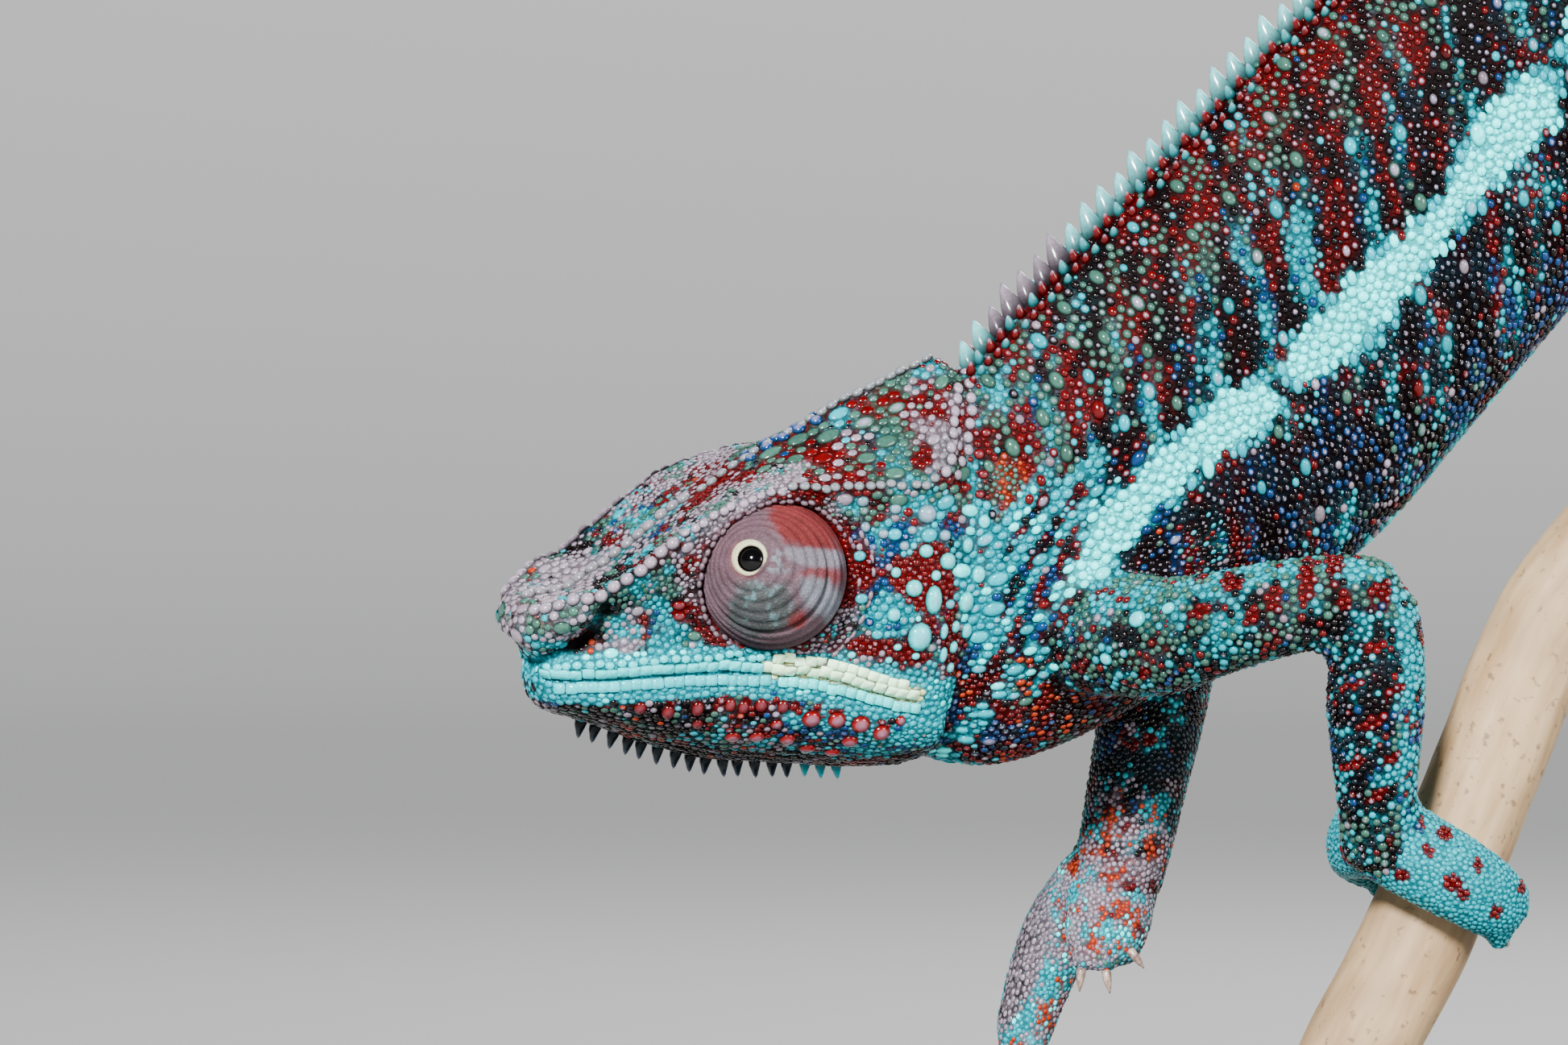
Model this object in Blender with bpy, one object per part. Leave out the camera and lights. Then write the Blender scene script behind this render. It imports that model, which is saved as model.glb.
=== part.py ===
"""A life-size display model of a male panther chameleon, reaching down a cut bough on a plain stand.

Named sizes are in millimetres and the scene is in metres, +Z up. The animal faces -X, with its left side
towards -Y. Its flesh is one shape parted into named pieces by thin cuts: the head and jaw are sections along
the head's own axis, the neck, trunk and tail are sections between a line of the back and a line of the belly,
and the limbs follow centre lines. Angles are in degrees.
"""

import math

import bpy
import numpy as np

MM = 0.001
GAP = 0.3  # clear space between neighbouring pieces
ORIGIN = np.array([86.94, 5.0, -92.0])  # centre of the stand's underside

# ---- head: u runs back from the snout, w to the animal's left, h up ----
HEAD_AT = np.array([-30.0, -14.7, -15.5])
HEAD_YAW, HEAD_ROLL, HEAD_SCALE = 24.0, 16.0, 0.982
HEAD_END = 49.0
# u: crown height, crest width and height, groove below the crest w and h, side w and h, lip w and h
HEAD_SECTIONS = (
    (0.6, 7.2, 1.6, 7.0, 2.0, 6.2, 1.6, 5.4, 1.0, 5.0),
    (1.2, 8.1, 3.0, 7.8, 3.6, 6.6, 3.0, 5.0, 1.8, 4.4),
    (2.1, 8.5, 4.3, 8.3, 5.0, 6.8, 4.0, 4.8, 2.4, 4.1),
    (3.1, 8.9, 5.2, 9.0, 5.9, 7.0, 4.2, 4.8, 3.0, 4.0),
    (3.3, 8.9, 5.3, 9.0, 6.0, 7.0, 4.2, 4.8, 3.2, 0.1),
    (5.0, 9.0, 6.2, 9.5, 6.8, 7.4, 4.6, 4.8, 4.6, 0.3),
    (7.5, 9.3, 7.3, 10.5, 7.8, 8.4, 5.2, 5.2, 6.0, 0.7),
    (10.0, 11.2, 7.8, 12.4, 8.2, 10.4, 6.0, 6.0, 7.0, 1.1),
    (13.0, 13.8, 8.1, 14.8, 8.4, 12.8, 6.9, 6.8, 7.8, 1.6),
    (16.0, 16.4, 8.4, 17.4, 8.5, 15.2, 7.6, 7.4, 8.4, 2.0),
    (19.0, 18.9, 8.6, 19.7, 8.6, 17.4, 8.1, 7.6, 8.9, 2.3),
    (22.0, 20.9, 8.7, 21.3, 8.6, 19.0, 8.5, 7.4, 9.2, 2.5),
    (25.0, 23.2, 8.6, 22.3, 8.5, 20.0, 8.8, 7.0, 9.5, 2.6),
    (28.0, 25.3, 8.6, 22.9, 8.4, 20.8, 9.0, 6.8, 9.8, 2.5),
    (32.0, 27.7, 8.8, 23.0, 8.5, 21.0, 9.6, 7.6, 10.2, 2.2),
    (36.0, 30.3, 9.0, 23.1, 8.6, 21.2, 10.3, 8.6, 10.5, 1.5),
    (40.0, 32.3, 9.0, 23.2, 8.7, 21.3, 10.9, 9.0, 10.8, 0.4),
    (44.0, 34.3, 8.9, 23.6, 8.7, 21.5, 11.0, 9.0, 10.8, -0.4),
    (46.0, 35.1, 8.4, 25.0, 8.6, 22.0, 10.8, 9.0, 10.6, -0.6),
    (47.5, 35.3, 6.6, 28.4, 8.2, 22.5, 10.4, 9.0, 10.2, -0.6),
    (49.0, 34.4, 2.6, 33.4, 7.6, 22.5, 9.9, 9.0, 9.8, -0.6),
)
HEAD_STATIONS = (
    0.6, 1.2, 2.1, 3.1, 3.3, 5, 7.5, 10, 13, 16, 19, 22, 25, 28, 31, 34, 37, 40, 42.5, 44.5, 46, 47.5, 49,
)
# u: jaw width, keel height
JAW_SECTIONS = (
    (3.5, 2.6, -2.0),
    (4.2, 3.4, -3.1),
    (5.5, 4.8, -4.3),
    (8.0, 6.1, -5.0),
    (12.4, 7.7, -6.4),
    (17.0, 8.6, -8.0),
    (21.5, 9.1, -9.3),
    (26.0, 9.6, -10.2),
    (35.0, 10.4, -10.7),
    (41.0, 10.9, -11.1),
    (46.0, 10.7, -11.0),
    (49.0, 10.0, -10.2),
)
GULAR_CONES, GULAR_FROM, GULAR_TO, GULAR_HEIGHT = 15, 13.2, 40.0, 1.5

# ---- eyes: a turret in its socket, and the eyeball in the turret's tip ----
EYE_CENTRE = (27.3, 7.0, 12.8)  # u, w, h
TURRET_RADIUS, TURRET_BACK = 7.9, 3.8
LEFT_GAZE, RIGHT_GAZE = (-0.356, -0.901, 0.247), (-0.50, 0.80, 0.33)
EYEBALL_RADIUS, EYEBALL_OUT = 2.2, 6.75

# ---- neck and trunk: back x y z, belly x y z, half-width ----
AXIS = (
    (18.2, -3.0, 15.6, 14.4, 7.5, -25.2, 8.8),
    (21.3, -1.5, 19.2, 22.0, 8.3, -26.0, 9.6),
    (24.3, 0.0, 22.5, 31.0, 9.0, -23.2, 10.3),
    (27.2, 1.2, 25.5, 41.0, 9.6, -17.5, 11.0),
    (30.5, 2.2, 29.0, 52.0, 10.0, -10.5, 11.8),
    (36.0, 3.0, 34.7, 63.5, 10.3, -1.5, 12.2),
    (44.0, 3.6, 43.0, 73.0, 10.4, 9.5, 12.6),
    (54.0, 3.9, 53.3, 83.5, 10.4, 22.0, 12.8),
    (66.0, 4.2, 64.4, 94.0, 10.2, 35.0, 12.6),
    (79.0, 4.5, 75.2, 103.5, 9.8, 48.0, 12.0),
    (92.0, 5.0, 84.4, 111.0, 9.2, 60.5, 10.6),
    (104.0, 5.5, 90.6, 117.0, 8.6, 71.0, 8.8),
    (114.5, 6.0, 93.6, 122.0, 8.0, 78.5, 6.9),
    (124.5, 6.3, 94.0, 128.3, 7.7, 81.3, 5.4),
)
KEEL = 0.25  # how far the back narrows to its ridge
AXIS_NODES = (
    ("neck", 0.0, 3.0), ("trunk_front", 3.0, 6.0), ("trunk_mid", 6.0, 9.0), ("trunk_rear", 9.0, 13.0),
)
AXIS_RINGS = {"neck": 8, "trunk_front": 7, "trunk_mid": 7, "trunk_rear": 9}
CREST_PITCH, CREST_HEIGHT = 2.05, 2.0

# ---- bough and stand ----
BOUGH = (
    (54.2, -2.5, -72.0),
    (57.4, -2.4, -63.0),
    (60.7, -2.3, -55.0),
    (66.0, -2.0, -45.0),
    (70.3, -1.8, -35.0),
    (74.4, -1.3, -25.0),
    (77.8, -0.6, -16.5),
    (82.4, 0.4, -8.0),
    (90.6, 1.8, 1.6),
    (101.0, 3.4, 12.0),
    (113.0, 4.8, 24.0),
    (126.0, 5.8, 36.0),
    (140.0, 6.4, 46.5),
    (157.0, 6.8, 55.5),
    (176.0, 7.0, 63.0),
    (202.0, 7.0, 70.2),
)
BOUGH_RADIUS = ((0, 6.3), (4, 6.0), (9, 6.1), (15, 5.5))
BASE_SIZE, BASE_CENTRE, BASE_BEVEL = (170.0, 96.0, 9.0), (70.0, 5.0), 1.6
ROD_RADIUS = 2.5
RODS = {"stand_rod_front": (60.2, -2.3), "stand_rod_rear": (118.0, 5.5)}

# ---- tail: from the trunk back, then round the bough ----
TAIL_LEAD = (
    (122.4, 6.9, 87.9), (133.0, 6.6, 88.0), (145.0, 5.2, 85.2), (153.6, 0.8, 78.0), (157.0, -4.0, 68.0),
)
TAIL_COIL = (13.1, 14.7, 100.0, 1085.0)  # bough station from and to, angle round it from and to
TAIL_TIP = ((196.6, 2.6, 78.2), (197.4, -1.2, 80.6), (195.2, -3.6, 83.4))
TAIL_RADIUS = ((0, 6.1), (0.08, 5.0), (0.2, 4.3), (0.5, 3.0), (0.8, 1.8), (1, 0.9))
TAIL_LENGTHS = 5

# ---- limbs: x y z radius, from the shoulder or hip outwards ----
ARM_UPPER_LEFT = (
    (33, 0, -12, 6.4), (39, -6, -12, 6.3), (46, -11.5, -10.2, 5.5), (53, -14, -8.6, 5.1),
    (59.2, -15, -8.0, 4.9), (61.7, -15, -8.6, 4.3),
)
ARM_LOWER_LEFT = (
    (61.0, -15, -8.3, 4.6), (61.3, -15, -13, 5.1), (61.2, -14.6, -19, 5.3), (61.3, -13.6, -25, 4.7),
    (61.6, -12, -30, 4.3), (61.9, -10, -34, 4.2),
)
ARM_UPPER_RIGHT = (
    (36, 15, -11, 6.4), (39, 20.5, -10.4, 6.2), (41.4, 27, -9.4, 5.7), (43.2, 33, -9.2, 5.3),
    (43.6, 36, -10.6, 4.8),
)
ARM_LOWER_RIGHT = (
    (43.4, 35.5, -9.6, 4.9), (42.2, 34.5, -15.5, 5.8), (40.5, 32, -22, 6.0), (39.1, 30, -28, 5.7),
    (37.8, 28.4, -34, 5.4), (36.3, 27, -40, 5.2),
)
LEG_UPPER_LEFT = (
    (114, 4, 80, 7.2), (110, -4, 75, 7.0), (105, -10, 69, 6.2), (100, -14.5, 63, 5.4),
    (98, -16, 60.4, 4.8),
)
LEG_LOWER_LEFT = (
    (98.4, -15.8, 61, 4.9), (101.5, -16, 57, 5.2), (108, -14.6, 51.6, 5.1), (115.5, -10.6, 47, 4.6),
    (122.5, -5, 43.4, 4.3),
)
LEG_UPPER_RIGHT = (
    (116, 11, 81, 7.0), (117, 19, 77.5, 6.8), (116.5, 26, 73, 6.0), (115.5, 31.5, 68, 5.3),
    (115.5, 33.6, 65, 4.8),
)
LEG_LOWER_RIGHT = (
    (115.4, 33, 66, 4.9), (119, 33, 62.2, 5.2), (125.5, 29.5, 59.6, 5.1), (132, 23.6, 57.4, 4.6),
    (138, 17, 55.4, 4.3),
)
# bough station, heel angle round it, outward turn, outer toes, inner toes, half-width,
# offset along it at heel and toe, sweep
GRIPS = {
    "forefoot_left": (3.82, 42.0, 1, 2, 3, 4.9, 0.8, -1.4, 94.0),
    "hindfoot_left": (11.1, 50.0, 1, 3, 2, 4.9, 0.5, -0.5, 112.0),
    "hindfoot_right": (12.15, -44.0, -1, 3, 2, 4.9, 0.5, -0.5, 112.0),
}
OPEN_HAND = {
    "inner": ((36.4, 27, -39.5, 5.0, 4.2), (35.4, 24.4, -43.5, 4.9, 3.7), (34.7, 22.6, -46.3, 4.4, 3.0)),
    "outer": (
        (34.6, 29.0, -39.5, 4.8, 4.0), (30.6, 31.4, -45.0, 4.4, 3.4), (28.0, 31.6, -51.0, 3.8, 3.0),
        (26.2, 30.8, -57.0, 3.3, 2.6),
    ),
}
OPEN_TOES = {
    "inner": (
        ((36.0, 22.8, -44.6), (38.0, 21.2, -47.0)), ((34.6, 22.4, -45.4), (35.1, 20.6, -49.3)),
        ((33.0, 22.6, -44.8), (32.3, 21.0, -49.1)),
    ),
    "outer": (((27.6, 30.2, -56.4), (27.2, 28.8, -61.4)), ((25.6, 31.6, -56.4), (23.8, 30.8, -61.4))),
}
TOE_RADIUS, CLAW_LENGTH, CLAW_RADIUS = 1.75, 1.7, 0.5

SKIN, HORN, EYE = (0.10, 0.45, 0.45, 1), (0.30, 0.22, 0.20, 1), (0.01, 0.01, 0.01, 1)
WOOD, STAND, STEEL = (0.60, 0.45, 0.30, 1), (0.05, 0.05, 0.05, 1), (0.45, 0.45, 0.47, 1)


def unit(v):
    return np.asarray(v, float) / np.linalg.norm(v)


def curve(knots, at):
    """A smooth curve through (x, y) knots that never overshoots them."""
    x, y = np.array(knots, float).T
    step = np.diff(x)
    slope = np.diff(y) / step
    tangent = np.concatenate([slope[:1], np.zeros(len(x) - 2), slope[-1:]])
    for i in range(1, len(x) - 1):
        if slope[i - 1] * slope[i] > 0:
            a, b = 2 * step[i] + step[i - 1], step[i] + 2 * step[i - 1]
            tangent[i] = (a + b) / (a / slope[i - 1] + b / slope[i])
    i = np.clip(np.searchsorted(x, at) - 1, 0, len(step) - 1)
    t = np.clip((at - x[i]) / step[i], 0, 1)
    return (
        y[i] * (1 + 2 * t) * (1 - t) ** 2
        + y[i + 1] * t * t * (3 - 2 * t)
        + step[i] * (tangent[i] * t * (1 - t) ** 2 + tangent[i + 1] * t * t * (t - 1))
    )


def path(points, at):
    """Catmull-Rom rows at places counted in points."""
    p = np.array(points, float)
    p = np.vstack([2 * p[0] - p[1], p, 2 * p[-1] - p[-2]])
    at = np.atleast_1d(np.asarray(at, float))
    i = np.clip(at.astype(int), 0, len(p) - 4)
    t = (at - i)[:, None]
    a, b, c, d = p[i], p[i + 1], p[i + 2], p[i + 3]
    return 0.5 * (2 * b + (c - a) * t + (2 * a - 5 * b + 4 * c - d) * t**2 + (3 * b - a - 3 * c + d) * t**3)


# ---- meshes ----


def loft(rings):
    """(points, faces) of a closed body through rings of equal length, with fan caps."""
    rings = np.asarray(rings, float)
    count, size = rings.shape[:2]
    points = np.vstack([rings.reshape(-1, 3), rings[0].mean(0), rings[-1].mean(0)])
    faces = []
    for i in range(count - 1):
        for j in range(size):
            k = (j + 1) % size
            faces.append((i * size + j, i * size + k, (i + 1) * size + k, (i + 1) * size + j))
    for j in range(size):
        k = (j + 1) % size
        faces.append((count * size, k, j))
        faces.append((count * size + 1, (count - 1) * size + j, (count - 1) * size + k))
    return points, faces


def add_mesh(name, shape, colour=None):
    """An object from points in millimetres, facing outwards."""
    points, faces = shape
    mesh = bpy.data.meshes.new(name)
    mesh.from_pydata(((np.asarray(points) - ORIGIN) * MM).tolist(), [], [tuple(map(int, f)) for f in faces])
    mesh.update()
    mesh.calc_loop_triangles()
    corners = np.array([[mesh.vertices[i].co for i in t.vertices] for t in mesh.loop_triangles])
    if np.linalg.det(corners).sum() < 0:
        mesh.flip_normals()
    obj = bpy.data.objects.new(name, mesh)
    bpy.context.scene.collection.objects.link(obj)
    if colour is not None:
        mesh.materials.append(finish(name, colour))
    return obj


def finish(name, colour):
    """The node's own material."""
    material = bpy.data.materials.new(name)
    material.use_nodes = True
    material.node_tree.nodes["Principled BSDF"].inputs["Base Color"].default_value = colour
    return material


def joined(shapes):
    """Several bodies as one (points, faces), for a cutter or for spines."""
    points, faces, base = [], [], 0
    for p, f in shapes:
        points.append(p)
        faces += [tuple(i + base for i in face) for face in f]
        base += len(p)
    return np.vstack(points), faces


def largest(mesh):
    """Deletes all but the biggest connected body of a mesh."""
    parent = list(range(len(mesh.vertices)))

    def root(i):
        while parent[i] != i:
            parent[i] = parent[parent[i]]
            i = parent[i]
        return i

    for edge in mesh.edges:
        a, b = (root(i) for i in edge.vertices)
        parent[a] = b
    roots = np.array([root(i) for i in range(len(parent))])
    sizes = {
        r: np.ptp([mesh.vertices[i].co for i in np.flatnonzero(roots == r)], axis=0).sum() for r in set(roots)
    }
    keep = max(sizes, key=sizes.get)
    if len(sizes) > 1:
        number = {old: new for new, old in enumerate(np.flatnonzero(roots == keep))}
        points = [mesh.vertices[i].co.copy() for i in number]
        faces = [[number[i] for i in f.vertices] for f in mesh.polygons if f.vertices[0] in number]
        mesh.clear_geometry()
        mesh.from_pydata(points, [], faces)
        mesh.update()


def combine(obj, operation, shapes):
    """Settles a Boolean of obj with each shape in turn."""
    for shape in shapes:
        other = add_mesh("helper", shape)
        modifier = obj.modifiers.new("cut", "BOOLEAN")
        modifier.operation, modifier.solver, modifier.object = operation, "EXACT", other
        bpy.context.view_layer.update()
        evaluated = obj.evaluated_get(bpy.context.evaluated_depsgraph_get())
        mesh = bpy.data.meshes.new_from_object(evaluated)
        obj.modifiers.clear()
        materials = list(obj.data.materials)
        obj.data = mesh
        mesh.materials.clear()
        for material in materials:
            mesh.materials.append(material)
        bpy.data.objects.remove(other)
        largest(mesh)
    obj.data.name = obj.name
    return obj


def cone(base, tip, side, along, radii, sides=4):
    """A spine from a ring round base, stretched along and across, to its tip."""
    side, along = unit(side), unit(along)
    ring = [
        base + radii[0] * math.cos(a) * along + radii[1] * math.sin(a) * side
        for a in np.arange(sides) * 2 * math.pi / sides
    ]
    points = np.vstack([ring, [tip], [base]])
    faces = [(j, (j + 1) % sides, sides) for j in range(sides)]
    faces += [((j + 1) % sides, j, sides + 1) for j in range(sides)]
    return points, faces


# ---- head ----


def head_frame():
    """The head's origin, and its backward, left and up directions."""
    yaw, roll = math.radians(HEAD_YAW), math.radians(HEAD_ROLL)
    back = np.array([math.cos(yaw), math.sin(yaw), 0])
    level = np.array([math.sin(yaw), -math.cos(yaw), 0])
    rise = np.array([0, 0, 1.0])
    left = math.cos(roll) * level - math.sin(roll) * rise
    return HEAD_AT, back, left, math.cos(roll) * rise + math.sin(roll) * level


def head_point(u, w, h):
    at, back, left, up = head_frame()
    return at + HEAD_SCALE * (u * back + w * left + h * up)


def ring_from_half(u, half, grow=0.0):
    """A closed ring at u from (w, h) points of the left side, first and last on the middle plane."""
    half = np.array(half, float)
    ring = np.vstack([half, half[-2:0:-1] * (-1, 1)])
    if grow:
        centre = np.array([0, half[:, 1].mean()])
        out = ring - centre
        ring = ring + grow * out / np.linalg.norm(out, axis=1)[:, None]
    return [head_point(u, w, h) for w, h in ring]


def head_values(u):
    table = np.array(HEAD_SECTIONS)
    return [float(curve(table[:, (0, k)], u)) for k in range(1, table.shape[1])]


def head_half(u):
    """Half a section of the head, from the crown to the middle of the palate."""
    crown, crest_w, crest_h, groove_w, groove_h, side_w, side_h, lip_w, lip_h = head_values(u)
    return (
        (0, crown),
        (0.5 * crest_w, 0.5 * (crown + crest_h)),
        (0.93 * crest_w, crest_h),
        (1.02 * crest_w, crest_h - 0.28 * (crest_h - groove_h)),
        (groove_w * 0.97, groove_h),
        (side_w, side_h),
        (lip_w + 0.25, lip_h + 0.3 * min(side_h - lip_h, 6)),
        (lip_w, lip_h),
        (0, lip_h),
    )


def jaw_half(u):
    """Half a section of the lower jaw, from its roof to the keel of the throat."""
    table = np.array(JAW_SECTIONS)
    width, keel = (float(curve(table[:, (0, k)], u)) for k in (1, 2))
    lip_w, lip_h = head_values(u)[-2:]
    top = lip_h - GAP
    drop = keel - top
    return (
        (0, top),
        (min(lip_w, width) - 0.2, top),
        (width, top + 0.27 * drop),
        (0.96 * width, top + 0.45 * drop),
        (0.74 * width, top + 0.68 * drop),
        (0.33 * width, top + 0.9 * drop),
        (0, keel),
    )


def head_shape(grow=0.0):
    rings = [ring_from_half(u, head_half(u), grow) for u in HEAD_STATIONS]
    rings[-1] = ring_from_half(HEAD_END + grow, head_half(HEAD_END), grow)
    return loft(rings)


def jaw_shape(grow=0.0):
    stations = [s[0] for s in JAW_SECTIONS]
    rings = [ring_from_half(u, jaw_half(u), grow) for u in stations]
    rings[-1] = ring_from_half(HEAD_END + grow, jaw_half(HEAD_END), grow)
    return loft(rings)


def gular_cones():
    _, back, left, up = head_frame()
    table = np.array(JAW_SECTIONS)[:, (0, 2)]
    made = []
    for u in np.linspace(GULAR_FROM, GULAR_TO, GULAR_CONES):
        keel = float(curve(table, u))
        root = head_point(u, 0, keel + 0.8)
        made.append(cone(root, head_point(u + 0.3, 0, keel - GULAR_HEIGHT), left, back, (0.8, 0.6)))
    return made


def eye_at(side):
    u, w, h = EYE_CENTRE
    return head_point(u, side * w, h)


def sphere(centre, radius, axis, around=14, along=9, stretch=None):
    """Rings round an axis; stretch maps the angle from the axis, in degrees, to a share of the radius."""
    axis = unit(axis)
    side = unit(np.cross(axis, (0, 0, 1)))
    up = np.cross(side, axis)
    rings = []
    for angle in np.linspace(4, 176, along):
        r = radius * (stretch(angle) if stretch else 1)
        a = math.radians(angle)
        turns = np.arange(around) * 2 * math.pi / around
        spokes = [math.cos(t) * side + math.sin(t) * up for t in turns]
        rings.append([centre + r * (math.cos(a) * axis + math.sin(a) * spoke) for spoke in spokes])
    return loft(rings)


def turret_shape(side, gaze, grow=0.0):
    """A ball with a low cone towards the gaze, flat at the back inside its socket."""
    centre = eye_at(side)
    out = side * head_frame()[2]
    swell = lambda a: 1 + 0.07 * math.exp(-((a / 30) ** 2))
    points, faces = sphere(centre, TURRET_RADIUS + grow, gaze, 12, 8, swell)
    depth = (points - centre) @ out
    back = -(TURRET_BACK + grow)
    points = points + np.outer(np.maximum(back - depth, 0), out)
    return points, faces


def add_head():
    gazes = {1: LEFT_GAZE, -1: RIGHT_GAZE}
    names = {1: "left", -1: "right"}
    head = add_mesh("head", head_shape(), SKIN)
    combine(head, "DIFFERENCE", [turret_shape(side, gazes[side], GAP) for side in (1, -1)])
    jaw = add_mesh("lower_jaw", jaw_shape(), SKIN)
    combine(jaw, "UNION", [joined(gular_cones())])
    for side in (1, -1):
        gaze = unit(gazes[side])
        ball = eye_at(side) + EYEBALL_OUT * gaze
        turret = add_mesh(f"eye_turret_{names[side]}", turret_shape(side, gaze), SKIN)
        combine(turret, "DIFFERENCE", [sphere(ball, EYEBALL_RADIUS + GAP, gaze, 12, 7)])
        add_mesh(f"eyeball_{names[side]}", sphere(ball, EYEBALL_RADIUS, gaze, 12, 7), EYE)


# ---- neck, trunk and tail ----


def axis_ring(s, count=16, grow=0.0, shift=0.0):
    """One section of the neck or trunk at station s, with shift along the body."""
    here, ahead = path(AXIS, [s, s + 0.05])
    back, belly, width = here[:3], here[3:6], here[6]
    way = unit((ahead[:3] + ahead[3:6]) - (back + belly))
    left = unit(np.cross(belly - back, way))
    if left[1] > 0:
        left = -left
    points = []
    for turn in np.arange(count) * 2 * math.pi / count:
        t = (1 - math.cos(turn)) / 2
        wide = width * abs(math.sin(turn)) ** 0.92 * (1 - KEEL * (1 - t) ** 2)
        points.append(back + (belly - back) * t + left * wide * math.copysign(1, math.sin(turn)))
    points = np.array(points)
    if grow:
        out = points - (back + belly) / 2
        points = points + grow * out / np.linalg.norm(out, axis=1)[:, None]
    return points + shift * way


def crest_spines(start, end):
    """Spines along the back between two stations, clear of the cuts at both."""
    s = np.linspace(0, len(AXIS) - 1, 1200)
    rows = path(AXIS, s)
    run = np.concatenate([[0], np.cumsum(np.linalg.norm(np.diff(rows[:, :3], axis=0), axis=1))])
    made = []
    for place in np.arange(1.4, run[-1] - 1, CREST_PITCH):
        at = float(np.interp(place, run, s))
        low, high = (float(np.interp(edge, s, run)) for edge in (start, end))
        if not low + 1.25 < place < high - 1.25:
            continue
        here, ahead = path(AXIS, [at, at + 0.02])
        back, belly = here[:3], here[3:6]
        along = unit(ahead[:3] - back)
        up = unit(back - belly - ((back - belly) @ along) * along)
        height = CREST_HEIGHT * (1 - 0.45 * at / (len(AXIS) - 1))
        tip = back + height * up - 0.25 * along
        made.append(cone(back - 0.9 * up, tip, np.cross(along, up), along, (1.0, 0.75)))
    return made


def add_axis():
    for name, start, end in AXIS_NODES:
        s = np.linspace(start, end, AXIS_RINGS[name])
        rings = [axis_ring(at) for at in s]
        rings[-1] = axis_ring(end, shift=-GAP)
        node = add_mesh(name, loft(rings), SKIN)
        if start == 0:
            combine(node, "DIFFERENCE", [head_shape(GAP), jaw_shape(GAP)])
        combine(node, "UNION", [joined(crest_spines(start, end))])


def trunk_cutter():
    return loft([axis_ring(s, grow=GAP) for s in np.linspace(1.0, 13, 36)])


def bough_frame(s):
    """The bough's centre at station s, its direction, its upper side and its near (-Y) side."""
    here, ahead = path(BOUGH, [s, s + 0.02])
    along = unit(ahead - here)
    near = unit(np.array([0, -1.0, 0]) + along[1] * along)
    upper = unit(np.cross(near, along))
    if upper[2] < 0:
        upper = -upper
    return here, along, upper, near


def bough_radius(s):
    return float(curve(BOUGH_RADIUS, s))


def tube(points, radii, ref, count, grow=0.0):
    """A round or oval tube along points; radii are (towards ref, across)."""
    points = np.asarray(points, float)
    ways = np.gradient(points, axis=0)
    rings = []
    for p, way, (a, b) in zip(points, ways, radii):
        way = unit(way)
        first = unit(np.asarray(ref) - (np.asarray(ref) @ way) * way)
        second = np.cross(way, first)
        turns = np.arange(count) * 2 * math.pi / count
        wide, deep = (a + grow) * first, (b + grow) * second
        rings.append([p + math.cos(t) * wide + math.sin(t) * deep for t in turns])
    rings[0] = np.array(rings[0]) - grow * unit(ways[0])
    rings[-1] = np.array(rings[-1]) + grow * unit(ways[-1])
    return loft(rings)


def transported(points, radii, first, count, grow=0.0):
    """A tube whose section turns with the path, for a coil."""
    points = np.asarray(points, float)
    ways = np.gradient(points, axis=0)
    rings = []
    for p, way, r in zip(points, ways, radii):
        way = unit(way)
        first = unit(first - (first @ way) * way)
        second = np.cross(way, first)
        turns = np.arange(count) * 2 * math.pi / count
        rings.append([p + (r + grow) * (math.cos(t) * first + math.sin(t) * second) for t in turns])
    return rings


def tail_line(count=400):
    """The tail's centre line and radius, by equal steps of length."""
    s0, s1, a0, a1 = TAIL_COIL
    coil = []
    for t in np.linspace(0, 1, 60):
        s = s0 + (s1 - s0) * t
        at, _, upper, near = bough_frame(s)
        angle = math.radians(a0 + (a1 - a0) * t)
        lift = 0.6 + 3.0 * max(0, 0.12 - t) / 0.12
        away = bough_radius(s) + lift + float(curve(TAIL_RADIUS, 0.42 + 0.45 * t))
        coil.append(at + away * (math.sin(angle) * near + math.cos(angle) * upper))
    knots = np.vstack([TAIL_LEAD, coil[2:], TAIL_TIP])
    line = path(knots, np.linspace(0, len(knots) - 1, 2400))
    run = np.concatenate([[0], np.cumsum(np.linalg.norm(np.diff(line, axis=0), axis=1))])
    even = np.linspace(0, run[-1], count)
    line = np.stack([np.interp(even, run, line[:, k]) for k in range(3)], axis=1)
    radii = curve(TAIL_RADIUS, even / run[-1])
    return line, radii, run[-1]


def add_tail():
    line, radii, length = tail_line()
    rings = transported(line, radii, np.array([0, 0, 1.0]), 8)
    step = length / (len(line) - 1)
    skip = max(1, round(GAP / step))
    edges = np.linspace(0, len(line) - 1, TAIL_LENGTHS + 1).astype(int)
    for k in range(TAIL_LENGTHS):
        count = 10 if k < 2 else 15
        chosen = np.unique(np.linspace(edges[k] + (skip if k else 1), edges[k + 1], count).astype(int))
        node = add_mesh(f"tail_{k + 1}", loft([rings[i] for i in chosen]), SKIN)
        if k == 0:
            combine(node, "DIFFERENCE", [trunk_cutter()])


# ---- limbs, feet and claws ----


def limb(knots, count=10, grow=0.0, steps=7):
    rows = path(knots, np.linspace(0, len(knots) - 1, steps))
    return tube(rows[:, :3], [(r, r) for r in rows[:, 3]], (0, 1, 0.3), count, grow)


def grip_line(grip, turn):
    """Centre points and radii of one bundle of toes, swept round the bough from heel to toe tips."""
    station, heel, _, _, _, half, start, end, sweep = grip
    at, along, upper, near = bough_frame(station)
    points, radii = [], []
    for t in np.linspace(0, 1, 5):
        angle = math.radians(heel + turn * (6 + sweep * t))
        thick = 4.0 - 1.5 * t
        away = bough_radius(station) + GAP + 0.05 + thick
        out = math.sin(angle) * near + math.cos(angle) * upper
        points.append(at + away * out + (start + (end - start) * t) * along)
        radii.append((thick, half - 1.1 * t * t))
    return np.array(points), radii


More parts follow.
